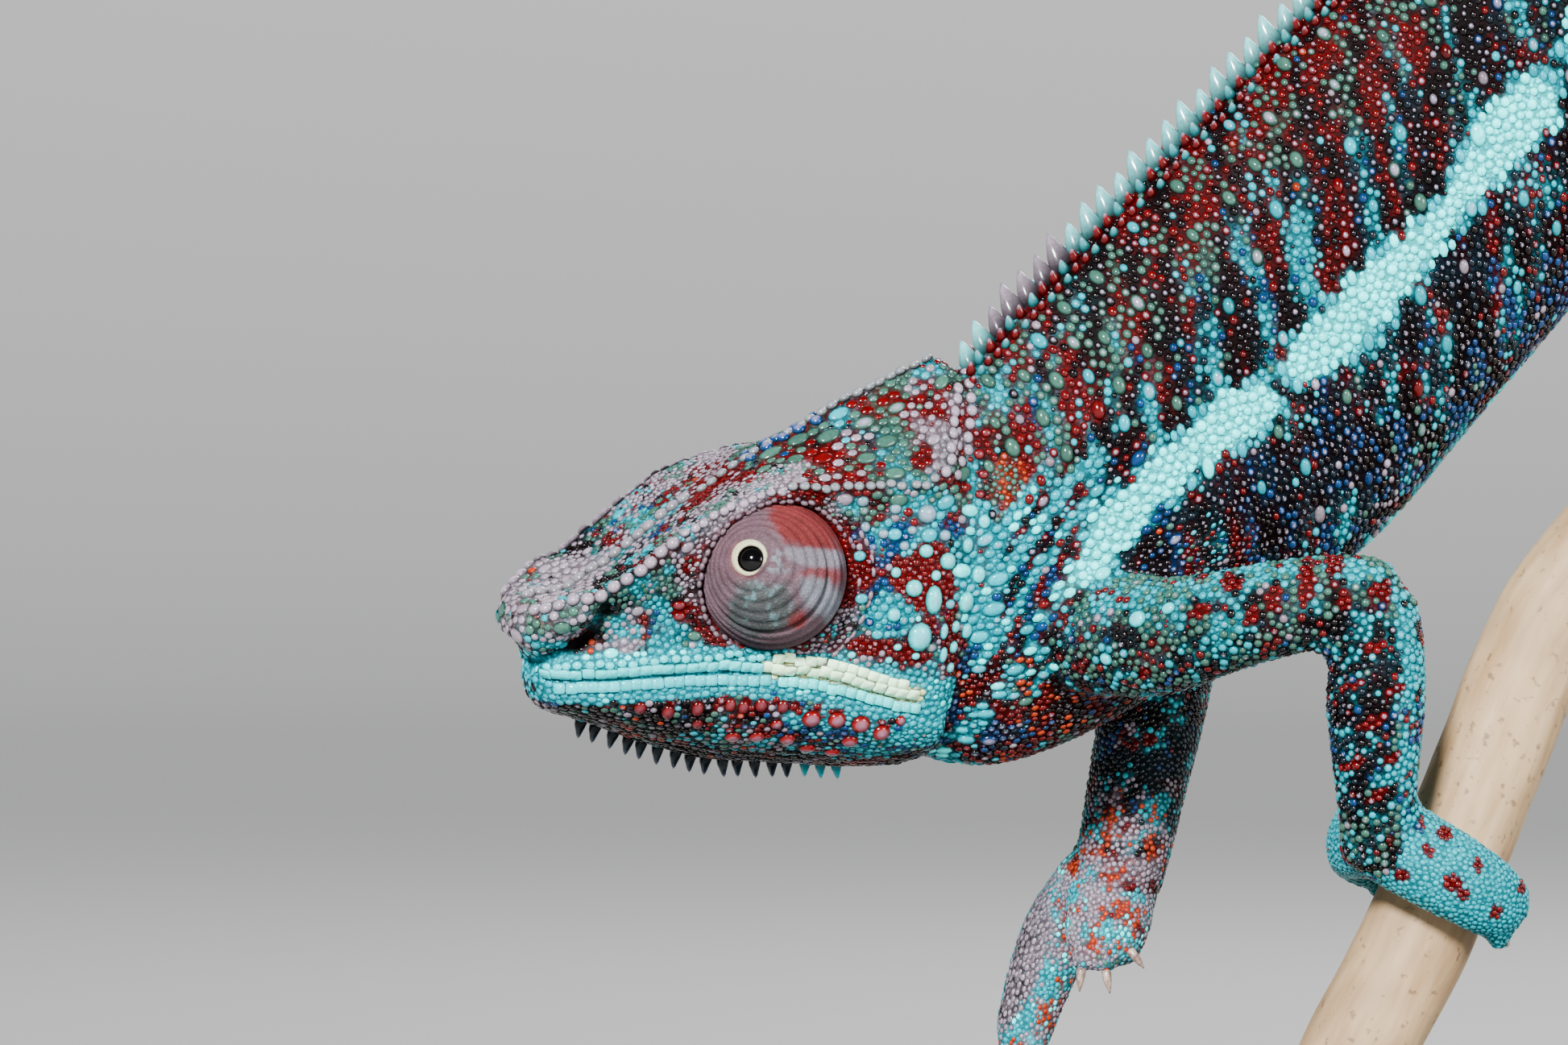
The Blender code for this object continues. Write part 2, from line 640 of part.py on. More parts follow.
def swept(points, radii, centre_of, count, grow=0.0):
    """A tube whose first section axis points away from a given centre."""
    ways = np.gradient(points, axis=0)
    rings = []
    for p, way, (a, b) in zip(points, ways, radii):
        way = unit(way)
        out = p - centre_of
        first = unit(out - (out @ way) * way)
        second = np.cross(way, first)
        turns = np.arange(count) * 2 * math.pi / count
        wide, deep = (a + grow) * first, (b + grow) * second
        rings.append(np.array([p + math.cos(t) * wide + math.sin(t) * deep for t in turns]))
    rings[0] = rings[0] - grow * unit(ways[0])
    rings[-1] = rings[-1] + grow * unit(ways[-1])
    return loft(rings)


def toe(root, tip, grow=0.0):
    points = [root, root + 0.7 * (tip - root), tip]
    radii = [(TOE_RADIUS * k, TOE_RADIUS * k) for k in (1.0, 0.95, 0.4)]
    return tube(points, radii, (0.3, 1, 0.2), 6, grow)


def claw(tip, way, curl):
    """A short curved horn that starts just off the toe's tip."""
    points = [
        tip + way * (GAP + 0.1),
        tip + way * (GAP + 0.5 * CLAW_LENGTH) + 0.15 * curl,
        tip + way * (GAP + 0.9 * CLAW_LENGTH) + 0.7 * curl,
    ]
    return tube(points, [(CLAW_RADIUS, CLAW_RADIUS), (0.7 * CLAW_RADIUS,) * 2, (0.25,) * 2], (0.2, 0.3, 1), 5)


def bough_shape(grow=0.0):
    s = np.linspace(0, len(BOUGH) - 1, 20)
    return tube(path(BOUGH, s), [(bough_radius(k),) * 2 for k in s], (0, 1, 0), 10, grow)


def add_grip(name, grip, shank):
    """Both bundles of a gripping foot, with their toes and claws."""
    station, _, outward, outer_toes, inner_toes = grip[:5]
    centre, along = bough_frame(station)[:2]
    inner_shape = None
    for part, turn, toes in (("inner", -outward, inner_toes), ("outer", outward, outer_toes)):
        points, radii = grip_line(grip, turn)
        node = add_mesh(f"{name}_{part}", swept(points, radii, centre, 10), SKIN)
        way = unit(points[-1] - points[-2])
        half = radii[-1][1]
        tips = []
        for k in range(toes):
            off = half * (-0.62 + 1.24 * k / (toes - 1))
            root = points[-1] - 1.6 * way + off * along
            tips.append(root + 3.6 * way + 0.15 * off * along)
            combine(node, "UNION", [toe(root, tips[-1])])
        cuts = [bough_shape(GAP), shank]
        if inner_shape is not None:
            cuts.append(inner_shape)
        combine(node, "DIFFERENCE", cuts)
        inner_shape = swept(points, radii, centre, 10, GAP)
        inward = unit(centre - tips[0] - ((centre - tips[0]) @ way) * way)
        for k, tip in enumerate(tips):
            add_mesh(f"claw_{name}_{part}_{k + 1}", claw(tip, unit(way - 0.1 * inward), inward * 0.6), HORN)


def add_open_hand():
    """The right forefoot, reaching with its two bundles open."""
    shank = limb(ARM_LOWER_RIGHT, 10, GAP)
    inner_shape = None
    for part in ("inner", "outer"):
        rows = path(OPEN_HAND[part], np.linspace(0, len(OPEN_HAND[part]) - 1, 6))
        radii = [(b, a) for a, b in rows[:, 3:]]
        node = add_mesh(f"forefoot_right_{part}", tube(rows[:, :3], radii, (0, 1, 0), 10), SKIN)
        for root, tip in OPEN_TOES[part]:
            combine(node, "UNION", [toe(np.array(root, float), np.array(tip, float))])
        combine(node, "DIFFERENCE", [shank] + ([inner_shape] if inner_shape else []))
        inner_shape = tube(rows[:, :3], radii, (0, 1, 0), 10, GAP)
        for k, (root, tip) in enumerate(OPEN_TOES[part]):
            way = unit(np.subtract(tip, root))
            horn = claw(np.array(tip, float), way, np.array([0.1, 0.5, -0.2]))
            add_mesh(f"claw_forefoot_right_{part}_{k + 1}", horn, HORN)


def add_limbs():
    trunk = trunk_cutter()
    for name, upper, lower in (
        ("arm_left", ARM_UPPER_LEFT, ARM_LOWER_LEFT),
        ("arm_right", ARM_UPPER_RIGHT, ARM_LOWER_RIGHT),
        ("leg_left", LEG_UPPER_LEFT, LEG_LOWER_LEFT),
        ("leg_right", LEG_UPPER_RIGHT, LEG_LOWER_RIGHT),
    ):
        combine(add_mesh(f"{name}_upper", limb(upper), SKIN), "DIFFERENCE", [trunk])
        cutters = [limb(upper, grow=GAP), bough_shape(GAP)]
        combine(add_mesh(f"{name}_lower", limb(lower), SKIN), "DIFFERENCE", cutters)
    add_grip("forefoot_left", GRIPS["forefoot_left"], limb(ARM_LOWER_LEFT, grow=GAP))
    add_grip("hindfoot_left", GRIPS["hindfoot_left"], limb(LEG_LOWER_LEFT, grow=GAP))
    add_grip("hindfoot_right", GRIPS["hindfoot_right"], limb(LEG_LOWER_RIGHT, grow=GAP))
    add_open_hand()


# ---- bough and stand ----


def add_bough():
    add_mesh("perch_branch", bough_shape(), WOOD)


def add_stand():
    """A flat base, and two rods that end just under the bough."""
    x, y = BASE_CENTRE
    long, wide, thick = BASE_SIZE
    floor, top = ORIGIN[2], ORIGIN[2] + thick
    levels = ((0.0, floor), (0.0, top - BASE_BEVEL), (BASE_BEVEL, top))
    rings = []
    for inset, z in levels:
        a, b = long / 2 - inset, wide / 2 - inset
        rings.append([(x + i * a, y + j * b, z) for i, j in ((-1, -1), (1, -1), (1, 1), (-1, 1))])
    add_mesh("stand_base", loft(rings), STAND)
    for name, (rod_x, rod_y) in RODS.items():
        ends = [(rod_x, rod_y, top + GAP), (rod_x, rod_y, rod_top(rod_x))]
        rod = add_mesh(name, tube(ends, [(ROD_RADIUS,) * 2] * 2, (0, 1, 0), 12), STEEL)
        combine(rod, "DIFFERENCE", [bough_shape(GAP)])


def rod_top(x):
    """The height of the bough's middle above x."""
    s = np.linspace(0, len(BOUGH) - 1, 800)
    rows = path(BOUGH, s)
    return float(np.interp(x, rows[:, 0], rows[:, 2])) - 3.0


def main():
    for obj in list(bpy.data.objects):
        bpy.data.objects.remove(obj)
    add_head()
    add_axis()
    add_tail()
    add_limbs()
    add_bough()
    add_stand()


main()
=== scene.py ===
"""The looks of a life-size panther chameleon, still on a cut bough over a plain stand.

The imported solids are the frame. One skin, joined from the same named sizes as the solids, takes the place
of every piece of flesh, and lies inside them by the coat's depth. The coat is solid scales that grow from
the skin. Both read the same markings, which are worked out along the body and never from the camera's side.

Sizes here are in millimetres in the animal's own frame: X to the right, Y away from its left flank, Z up.
"""

import logging
import math
from collections.abc import Callable, Iterable, Sequence
from dataclasses import dataclass, field, fields
from enum import Enum

import bpy
import numpy as np
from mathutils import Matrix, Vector
from mathutils.bvhtree import BVHTree
from mathutils.kdtree import KDTree


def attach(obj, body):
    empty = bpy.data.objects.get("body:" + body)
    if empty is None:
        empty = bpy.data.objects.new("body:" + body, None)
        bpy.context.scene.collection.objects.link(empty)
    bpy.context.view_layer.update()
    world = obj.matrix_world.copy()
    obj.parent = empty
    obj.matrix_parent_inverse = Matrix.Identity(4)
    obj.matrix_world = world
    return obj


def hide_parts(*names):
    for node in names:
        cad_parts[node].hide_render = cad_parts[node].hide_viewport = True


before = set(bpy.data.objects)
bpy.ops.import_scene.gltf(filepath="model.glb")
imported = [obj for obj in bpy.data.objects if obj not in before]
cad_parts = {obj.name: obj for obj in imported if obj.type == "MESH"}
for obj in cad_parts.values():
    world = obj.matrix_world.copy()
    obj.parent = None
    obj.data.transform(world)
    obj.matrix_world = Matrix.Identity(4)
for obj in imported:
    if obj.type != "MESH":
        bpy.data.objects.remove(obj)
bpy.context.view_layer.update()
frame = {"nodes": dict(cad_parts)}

LOG = logging.getLogger("chameleon")
Array = np.ndarray
Knots = Sequence[Sequence[float]]

MM = 0.001
ORIGIN = np.array((86.94, 5.0, -92.0))  # the frame's origin, in the animal's millimetres
BODY = "root"
SEED = 7


# ---- vectors and curves ----


def unit(v: Iterable[float]) -> Array:
    """Returns v, or each row of v, at length one."""
    v = np.asarray(v, float)
    return v / np.maximum(np.linalg.norm(v, axis=-1, keepdims=True), 1e-9)


def curve(knots: Knots, at: float | Array) -> Array:
    """A smooth curve through (x, y) knots that never overshoots them.

    Args:
        knots: pairs in rising x.
        at: where to read the curve.

    Returns:
        The height at each place.
    """
    x, y = np.array(knots, float).T
    step = np.diff(x)
    slope = np.diff(y) / step
    tangent = np.concatenate([slope[:1], np.zeros(len(x) - 2), slope[-1:]])
    for i in range(1, len(x) - 1):
        if slope[i - 1] * slope[i] > 0:
            a, b = 2 * step[i] + step[i - 1], step[i] + 2 * step[i - 1]
            tangent[i] = (a + b) / (a / slope[i - 1] + b / slope[i])
    i = np.clip(np.searchsorted(x, at) - 1, 0, len(step) - 1)
    t = np.clip((at - x[i]) / step[i], 0, 1)
    return (
        y[i] * (1 + 2 * t) * (1 - t) ** 2
        + y[i + 1] * t * t * (3 - 2 * t)
        + step[i] * (tangent[i] * t * (1 - t) ** 2 + tangent[i + 1] * t * t * (t - 1))
    )


def path(points: Knots, at: float | Array) -> Array:
    """Rows of a Catmull-Rom path.

    Args:
        points: the rows that the path runs through.
        at: places counted in rows.

    Returns:
        One row for each place.
    """
    p = np.array(points, float)
    p = np.vstack([2 * p[0] - p[1], p, 2 * p[-1] - p[-2]])
    at = np.atleast_1d(np.asarray(at, float))
    i = np.clip(at.astype(int), 0, len(p) - 4)
    t = (at - i)[:, None]
    a, b, c, d = p[i], p[i + 1], p[i + 2], p[i + 3]
    return 0.5 * (2 * b + (c - a) * t + (2 * a - 5 * b + 4 * c - d) * t**2 + (3 * b - a - 3 * c + d) * t**3)


def steps_round(count: int) -> Array:
    """The angles of even steps round a circle."""
    return np.arange(count) * 2 * math.pi / count


def lengths(line: Array) -> Array:
    """The length run from the start of a line to each of its points."""
    return np.concatenate([[0], np.cumsum(np.linalg.norm(np.diff(line, axis=0), axis=1))])


def read_line(line: Array, at: Array) -> Array:
    """Points on a line at some lengths from its start."""
    run = lengths(line)
    return np.stack([np.interp(at, run, line[:, k]) for k in range(3)], axis=1)


def mixed(under: Array, over: Array | float, share: Array) -> Array:
    """Lays one value over another in a share from 0 to 1."""
    return under * (1 - share) + over * share


def oval(x: Array, z: Array, wide: float, high: float, turn: float) -> Array:
    """How far each place is from the middle of an oval turned by so many degrees, where 1 is its edge."""
    c, s = math.cos(math.radians(turn)), math.sin(math.radians(turn))
    return np.hypot((x * c + z * s) / wide, (z * c - x * s) / high)


def ramp(x: Array, low: float, high: float) -> Array:
    """Rises smoothly from 0 at low to 1 at high, or falls where low is above high."""
    t = np.clip((np.asarray(x, float) - low) / (high - low), 0, 1)
    return t * t * (3 - 2 * t)


def bump(x: Array, centre: float, half: float) -> Array:
    """One at centre, and near nothing two halves away."""
    return np.exp(-(((np.asarray(x, float) - centre) / half) ** 2))


class Rows:
    """Columns of equal length, of which some rows can be taken together."""

    def __getitem__(self, rows: Array) -> "Rows":
        """Returns the chosen rows of every column."""
        return type(self)(*(getattr(self, column.name)[rows] for column in fields(self)))


class Noise:
    """Smooth noise in space, from a seeded lattice, between -1 and 1."""

    def __init__(self, seed: int) -> None:
        """Fills the lattice from the seed."""
        self.lattice = np.random.default_rng(seed).uniform(-1, 1, (32, 32, 32))

    def __call__(self, points: Array, size: float | Sequence[float], octaves: int = 1) -> Array:
        """Reads the noise.

        Args:
            points: rows of x, y, z.
            size: how far apart two lattice points are, one number or one for each axis.
            octaves: how many times a finer copy at half the strength is added.

        Returns:
            One value for each row.
        """
        total, strength, whole = np.zeros(len(points)), 1.0, 0.0
        for octave in range(octaves):
            p = np.asarray(points, float) / np.asarray(size) * 2**octave + 7.3 * octave
            cell = np.floor(p).astype(int)
            f = p - cell
            f = f * f * (3 - 2 * f)
            value = 0.0
            for corner in np.ndindex(2, 2, 2):
                share = np.prod([f[:, k] if corner[k] else 1 - f[:, k] for k in range(3)], axis=0)
                i, j, k = ((cell + corner) % 32).T
                value = value + share * self.lattice[i, j, k]
            total += strength * value
            whole += strength
            strength *= 0.5
        return total / whole


# ---- meshes ----


def linked(name: str, data: bpy.types.ID) -> bpy.types.Object:
    """A new object of the scene that holds the data."""
    made = bpy.data.objects.new(name, data)
    bpy.context.scene.collection.objects.link(made)
    return made


def quads(count: int, size: int) -> list[tuple[int, ...]]:
    """The faces between rings of so many points, laid one after another."""
    return [
        (i * size + j, i * size + (j + 1) % size, (i + 1) * size + (j + 1) % size, (i + 1) * size + j)
        for i in range(count - 1)
        for j in range(size)
    ]


def new_object(name: str, points: Array, faces: Iterable[Sequence[int]]) -> bpy.types.Object:
    """A mesh object from points in millimetres.

    Args:
        name: the object's name.
        points: rows of x, y, z in the animal's millimetres.
        faces: corner numbers of each face.

    Returns:
        The object, linked to the scene, at the origin.
    """
    mesh = bpy.data.meshes.new(name)
    mesh.from_pydata(((np.asarray(points) - ORIGIN) * MM).tolist(), [], [tuple(map(int, f)) for f in faces])
    mesh.update()
    mesh.shade_smooth()
    return linked(name, mesh)


def loft(rings: Array) -> tuple[Array, list[tuple[int, ...]]]:
    """A closed skin through rings of equal length, with a fan over each end.

    Args:
        rings: the rings, one after another.

    Returns:
        Its points and faces.
    """
    rings = np.asarray(rings, float)
    count, size = rings.shape[:2]
    points = np.vstack([rings.reshape(-1, 3), rings[0].mean(0), rings[-1].mean(0)])
    faces = quads(count, size)
    for j in range(size):
        k = (j + 1) % size
        faces.append((count * size, k, j))
        faces.append((count * size + 1, (count - 1) * size + j, (count - 1) * size + k))
    corners = points[np.array([(f[0], f[1], f[2]) for f in faces] + [(f[0], f[2], f[-1]) for f in faces])]
    if np.linalg.det(corners - points.mean(0)).sum() < 0:
        faces = [f[::-1] for f in faces]
    return points, faces


def joined(shapes: Iterable[tuple[Array, list]]) -> tuple[Array, list]:
    """Joins several shapes into one.

    Args:
        shapes: the points and faces of each.

    Returns:
        The points and faces of all.
    """
    points, faces, base = [], [], 0
    for p, f in shapes:
        points.append(p)
        faces += [tuple(i + base for i in face) for face in f]
        base += len(p)
    return np.vstack(points), faces


def evaluated_mesh(obj: bpy.types.Object) -> bpy.types.Mesh:
    """Makes a plain mesh of an object with its modifiers applied.

    Args:
        obj: the object.

    Returns:
        The mesh.
    """
    bpy.context.view_layer.update()
    graph = bpy.context.evaluated_depsgraph_get()
    solved = obj.evaluated_get(graph)
    return bpy.data.meshes.new_from_object(solved, preserve_all_data_layers=True, depsgraph=graph)


def add_attribute(mesh: bpy.types.Mesh, name: str, values: Array) -> None:
    """Writes one float, or one vector, for each of the mesh's points."""
    kind, key = ("FLOAT", "value") if values.ndim == 1 else ("FLOAT_VECTOR", "vector")
    mesh.attributes.new(name, kind, "POINT").data.foreach_set(key, values.astype(np.float32).ravel())


def dress(piece: bpy.types.Object, slot: str, *nodes: str) -> None:
    """Sets the body that a piece rides on, and hides the nodes that it stands for.

    Args:
        piece: the piece.
        slot: not used.
        nodes: the names of the nodes that it replaces.
    """
    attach(piece, BODY)
    if nodes:
        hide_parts(*nodes)
    LOG.info("%s: %d faces", piece.name, len(piece.data.polygons))


# ---- the forms of the flesh, from the same named sizes as the solids ----


class Part(Enum):
    """What a piece of flesh is."""

    HEAD = 0
    JAW = 1
    AXIS = 2
    TAIL = 3
    LIMB = 4
    FOOT = 5


@dataclass
class Form:
    """One lofted piece of flesh.

    Its rings run from start to end, and side is 1 for the animal's left, -1 for its right and 0 for both.
    """

    name: str
    part: Part
    rings: Array
    side: int = 0

    def shape(self) -> tuple[Array, list]:
        """Returns its closed (points, faces)."""
        return loft(self.rings)

    def nearest(self, points: Array, reach: float) -> tuple[Array, Array, Array, Array]:
        """Finds where on this form each point lies.

        Args:
            points: rows of x, y, z.
            reach: how far away the form may be.

        Returns:
            The distance, the places along and around from 0 to 1, and the direction along the form.
        """
        count, size = self.rings.shape[:2]
        flat = self.rings.reshape(-1, 3)
        tree = BVHTree.FromPolygons(flat.tolist(), quads(count, size))
        away = np.full(len(points), np.inf)
        along, around = np.zeros(len(points)), np.zeros(len(points))
        lie = np.zeros((len(points), 3))
        inside = ((points > flat.min(0) - reach) & (points < flat.max(0) + reach)).all(1)
        found = [(n, *tree.find_nearest(Vector(points[n]), reach)) for n in np.flatnonzero(inside)]
        found = [(n, spot, face, distance) for n, spot, _, face, distance in found if face is not None]
        if not found:
            return away, along, around, lie
        rows = np.array([f[0] for f in found])
        spots, faces = np.array([tuple(f[1]) for f in found]), np.array([f[2] for f in found])
        i, j = np.divmod(faces, size)
        a, ahead, beside = self.rings[i, j], self.rings[i + 1, j], self.rings[i, (j + 1) % size]
        shares = []
        for edge in (ahead - a, beside - a):
            length = np.maximum((edge * edge).sum(1), 1e-9)
            shares.append(np.clip(((spots - a) * edge).sum(1) / length, 0, 1))
        away[rows] = [f[3] for f in found]
        along[rows], around[rows] = (i + shares[0]) / (count - 1), (j + shares[1]) / size
        lie[rows] = unit(ahead - a)
        return away, along, around, lie


def rounded(line: Array, radii: Array, bulge: float = 0.55) -> tuple[Array, Array]:
    """A tube's centre line and radii, with both ends drawn out into domes.

    Args:
        line: the centre points.
        radii: two radii for each point.
        bulge: how far the domes reach, as a share of the radius.

    Returns:
        The longer line and its radii.
    """
    lines, sizes = [line], [radii]
    for end, inner in ((0, 1), (-1, -2)):
        way = unit(line[end] - line[inner])
        turns = np.radians((22, 44, 64, 80))
        caps = line[end] + np.outer(np.sin(turns) * bulge * radii[end].mean(), way)
        thin = np.outer(np.cos(turns), radii[end])
        order = slice(None, None, -1) if end == 0 else slice(None)
        lines.insert(0 if end == 0 else len(lines), caps[order])
        sizes.insert(0 if end == 0 else len(sizes), thin[order])
    return np.vstack(lines), np.vstack(sizes)


def tube(
    points: Array, radii: Array, ref: Iterable[float] | Array, count: int, transported: bool = False
) -> Array:
    """Rings of an oval tube.

    Args:
        points: its centre line.
        radii: for each point, the radius towards ref and across it.
        ref: one direction, or one for each point, that the section's first axis leans to.
        count: how many points each ring has.
        transported: whether the section turns with the line, as on a coil.

    Returns:
        The rings.
    """
    points = np.asarray(points, float)
    ways = unit(np.gradient(points, axis=0))
    refs = np.broadcast_to(np.asarray(ref, float), points.shape)
    turns = steps_round(count)
    rings, first = [], refs[0]
    for p, way, lean, (a, b) in zip(points, ways, refs, radii):
        first = first if transported else lean
        first = unit(first - (first @ way) * way)
        second = np.cross(way, first)
        rings.append(p + np.outer(np.cos(turns) * a, first) + np.outer(np.sin(turns) * b, second))
    return np.array(rings)


@dataclass(frozen=True)
class HeadShape:
    """The head and lower jaw as sections along the head's own axis.

    u runs back from the snout, w to the animal's left and h up.
    """

    at: tuple = (-30.0, -14.7, -15.5)
    yaw: float = 24.0
    roll: float = 16.0
    scale: float = 0.982
    end: float = 49.0
    # u: crown height, crest width and height, groove below the crest w and h, side w and h, lip w and h
    sections: tuple = (
        (0.6, 7.2, 1.6, 7.0, 2.0, 6.2, 1.6, 5.4, 1.0, 5.0),
        (1.2, 8.1, 3.0, 7.8, 3.6, 6.6, 3.0, 5.0, 1.8, 4.4),
        (2.1, 8.5, 4.3, 8.3, 5.0, 6.8, 4.0, 4.8, 2.4, 4.1),
        (3.1, 8.9, 5.2, 9.0, 5.9, 7.0, 4.2, 4.8, 3.0, 4.0),
        (3.3, 8.9, 5.3, 9.0, 6.0, 7.0, 4.2, 4.8, 3.2, 0.1),
        (5.0, 9.0, 6.2, 9.5, 6.8, 7.4, 4.6, 4.8, 4.6, 0.3),
        (7.5, 9.3, 7.3, 10.5, 7.8, 8.4, 5.2, 5.2, 6.0, 0.7),
        (10.0, 11.2, 7.8, 12.4, 8.2, 10.4, 6.0, 6.0, 7.0, 1.1),
        (13.0, 13.8, 8.1, 14.8, 8.4, 12.8, 6.9, 6.8, 7.8, 1.6),
        (16.0, 16.4, 8.4, 17.4, 8.5, 15.2, 7.6, 7.4, 8.4, 2.0),
        (19.0, 18.9, 8.6, 19.7, 8.6, 17.4, 8.1, 7.6, 8.9, 2.3),
        (22.0, 20.9, 8.7, 21.3, 8.6, 19.0, 8.5, 7.4, 9.2, 2.5),
        (25.0, 23.2, 8.6, 22.3, 8.5, 20.0, 8.8, 7.0, 9.5, 2.6),
        (28.0, 25.3, 8.6, 22.9, 8.4, 20.8, 9.0, 6.8, 9.8, 2.5),
        (32.0, 27.7, 8.8, 23.0, 8.5, 21.0, 9.6, 7.6, 10.2, 2.2),
        (36.0, 30.3, 9.0, 23.1, 8.6, 21.2, 10.3, 8.6, 10.5, 1.5),
        (40.0, 32.3, 9.0, 23.2, 8.7, 21.3, 10.9, 9.0, 10.8, 0.4),
        (44.0, 34.3, 8.9, 23.6, 8.7, 21.5, 11.0, 9.0, 10.8, -0.4),
        (46.0, 35.1, 8.4, 25.0, 8.6, 22.0, 10.8, 9.0, 10.6, -0.6),
        (47.5, 35.3, 6.6, 28.4, 8.2, 22.5, 10.4, 9.0, 10.2, -0.6),
        (49.0, 34.4, 2.6, 33.4, 7.6, 22.5, 9.9, 9.0, 9.8, -0.6),
    )
    # u: jaw width, keel height
    jaw_sections: tuple = (
        (3.5, 2.6, -2.0),
        (4.2, 3.4, -3.1),
        (5.5, 4.8, -4.3),
        (8.0, 6.1, -5.0),
        (12.4, 7.7, -6.4),
        (17.0, 8.6, -8.0),
        (21.5, 9.1, -9.3),
        (26.0, 9.6, -10.2),
        (35.0, 10.4, -10.7),
        (41.0, 10.9, -11.1),
        (46.0, 10.7, -11.0),
        (49.0, 10.0, -10.2),
    )
    lips_meet: float = 0.5  # how far the jaw's roof reaches into the head, so that the two join
    stations: int = 120

    def axes(self) -> Array:
        """Works out the head's own axes.

        Returns:
            The backward, left and up directions as rows.
        """
        yaw, roll = math.radians(self.yaw), math.radians(self.roll)
        level = np.array([math.sin(yaw), -math.cos(yaw), 0])
        rise = np.array([0, 0, 1.0])
        left = math.cos(roll) * level - math.sin(roll) * rise
        up = math.cos(roll) * rise + math.sin(roll) * level
        return np.array([(math.cos(yaw), math.sin(yaw), 0), left, up])

    def place(self, uwh: Array) -> Array:
        """Returns points from rows of u, w, h."""
        return np.array(self.at) + self.scale * np.asarray(uwh, float) @ self.axes()

    def read(self, points: Array) -> Array:
        """Returns rows of u, w, h from points."""
        return (np.asarray(points) - np.array(self.at)) @ self.axes().T / self.scale

    def value(self, column: int, u: float | Array) -> Array:
        """One column of the head's sections at u, such as 1 for the crown or 9 for the lip's height."""
        return curve(np.array(self.sections)[:, (0, column)], u)

    def keel(self, u: float | Array) -> Array:
        """The height of the throat's middle line at u."""
        return curve(np.array(self.jaw_sections)[:, (0, 2)], u)

    def head_half(self, u: float) -> Array:
        """Half a section of the head, from the crown to the middle of the palate.

        Args:
            u: how far back.

        Returns:
            Rows of w and h.
        """
        crown, crest_w, crest_h, groove_w, groove_h, side_w, side_h, lip_w, lip_h = (
            float(self.value(k, u)) for k in range(1, 10)
        )
        corners = (
            (0, crown),
            (0.5 * crest_w, 0.5 * (crown + crest_h)),
            (0.93 * crest_w, crest_h),
            (1.02 * crest_w, crest_h - 0.28 * (crest_h - groove_h)),
            (groove_w * 0.97, groove_h),
            (side_w, side_h),
            (lip_w + 0.25, lip_h + 0.3 * min(side_h - lip_h, 6)),
            (lip_w, lip_h),
            (0, lip_h),
        )
        return path(corners, np.linspace(0, 8, 41))

    def jaw_half(self, u: float) -> Array:
        """Half a section of the lower jaw, from its roof to the keel of the throat.

        Args:
            u: how far back.

        Returns:
            Rows of w and h.
        """
        width = float(curve(np.array(self.jaw_sections)[:, (0, 1)], u))
        keel, lip_w, lip_h = float(self.keel(u)), float(self.value(8, u)), float(self.value(9, u))
        drop = keel - lip_h
        corners = (
            (0, lip_h + self.lips_meet),
            (min(lip_w, width) - 0.4, lip_h + self.lips_meet),
            (min(lip_w, width) - 0.1, lip_h),
            (width, lip_h + 0.27 * drop),
            (0.96 * width, lip_h + 0.45 * drop),
            (0.74 * width, lip_h + 0.68 * drop),
            (0.33 * width, lip_h + 0.9 * drop),
            (0, keel),
        )
        return path(corners, np.linspace(0, 7, 36))

    def forms(self) -> list[Form]:
        """Lofts the head and the jaw.

        Returns:
            Both forms.
        """
        made = []
        for name, part, start, half in (
            ("head", Part.HEAD, 0.6, self.head_half),
            ("lower_jaw", Part.JAW, 3.5, self.jaw_half),
        ):
            rings = []
            for u in start + (self.end - start) * np.linspace(0, 1, self.stations) ** 1.15:
                side = half(u)
                ring = np.vstack([side, side[-2:0:-1] * (-1, 1)])
                rings.append(self.place(np.column_stack([np.full(len(ring), u), ring])))
            made.append(Form(name, part, np.array(rings)))
        return made


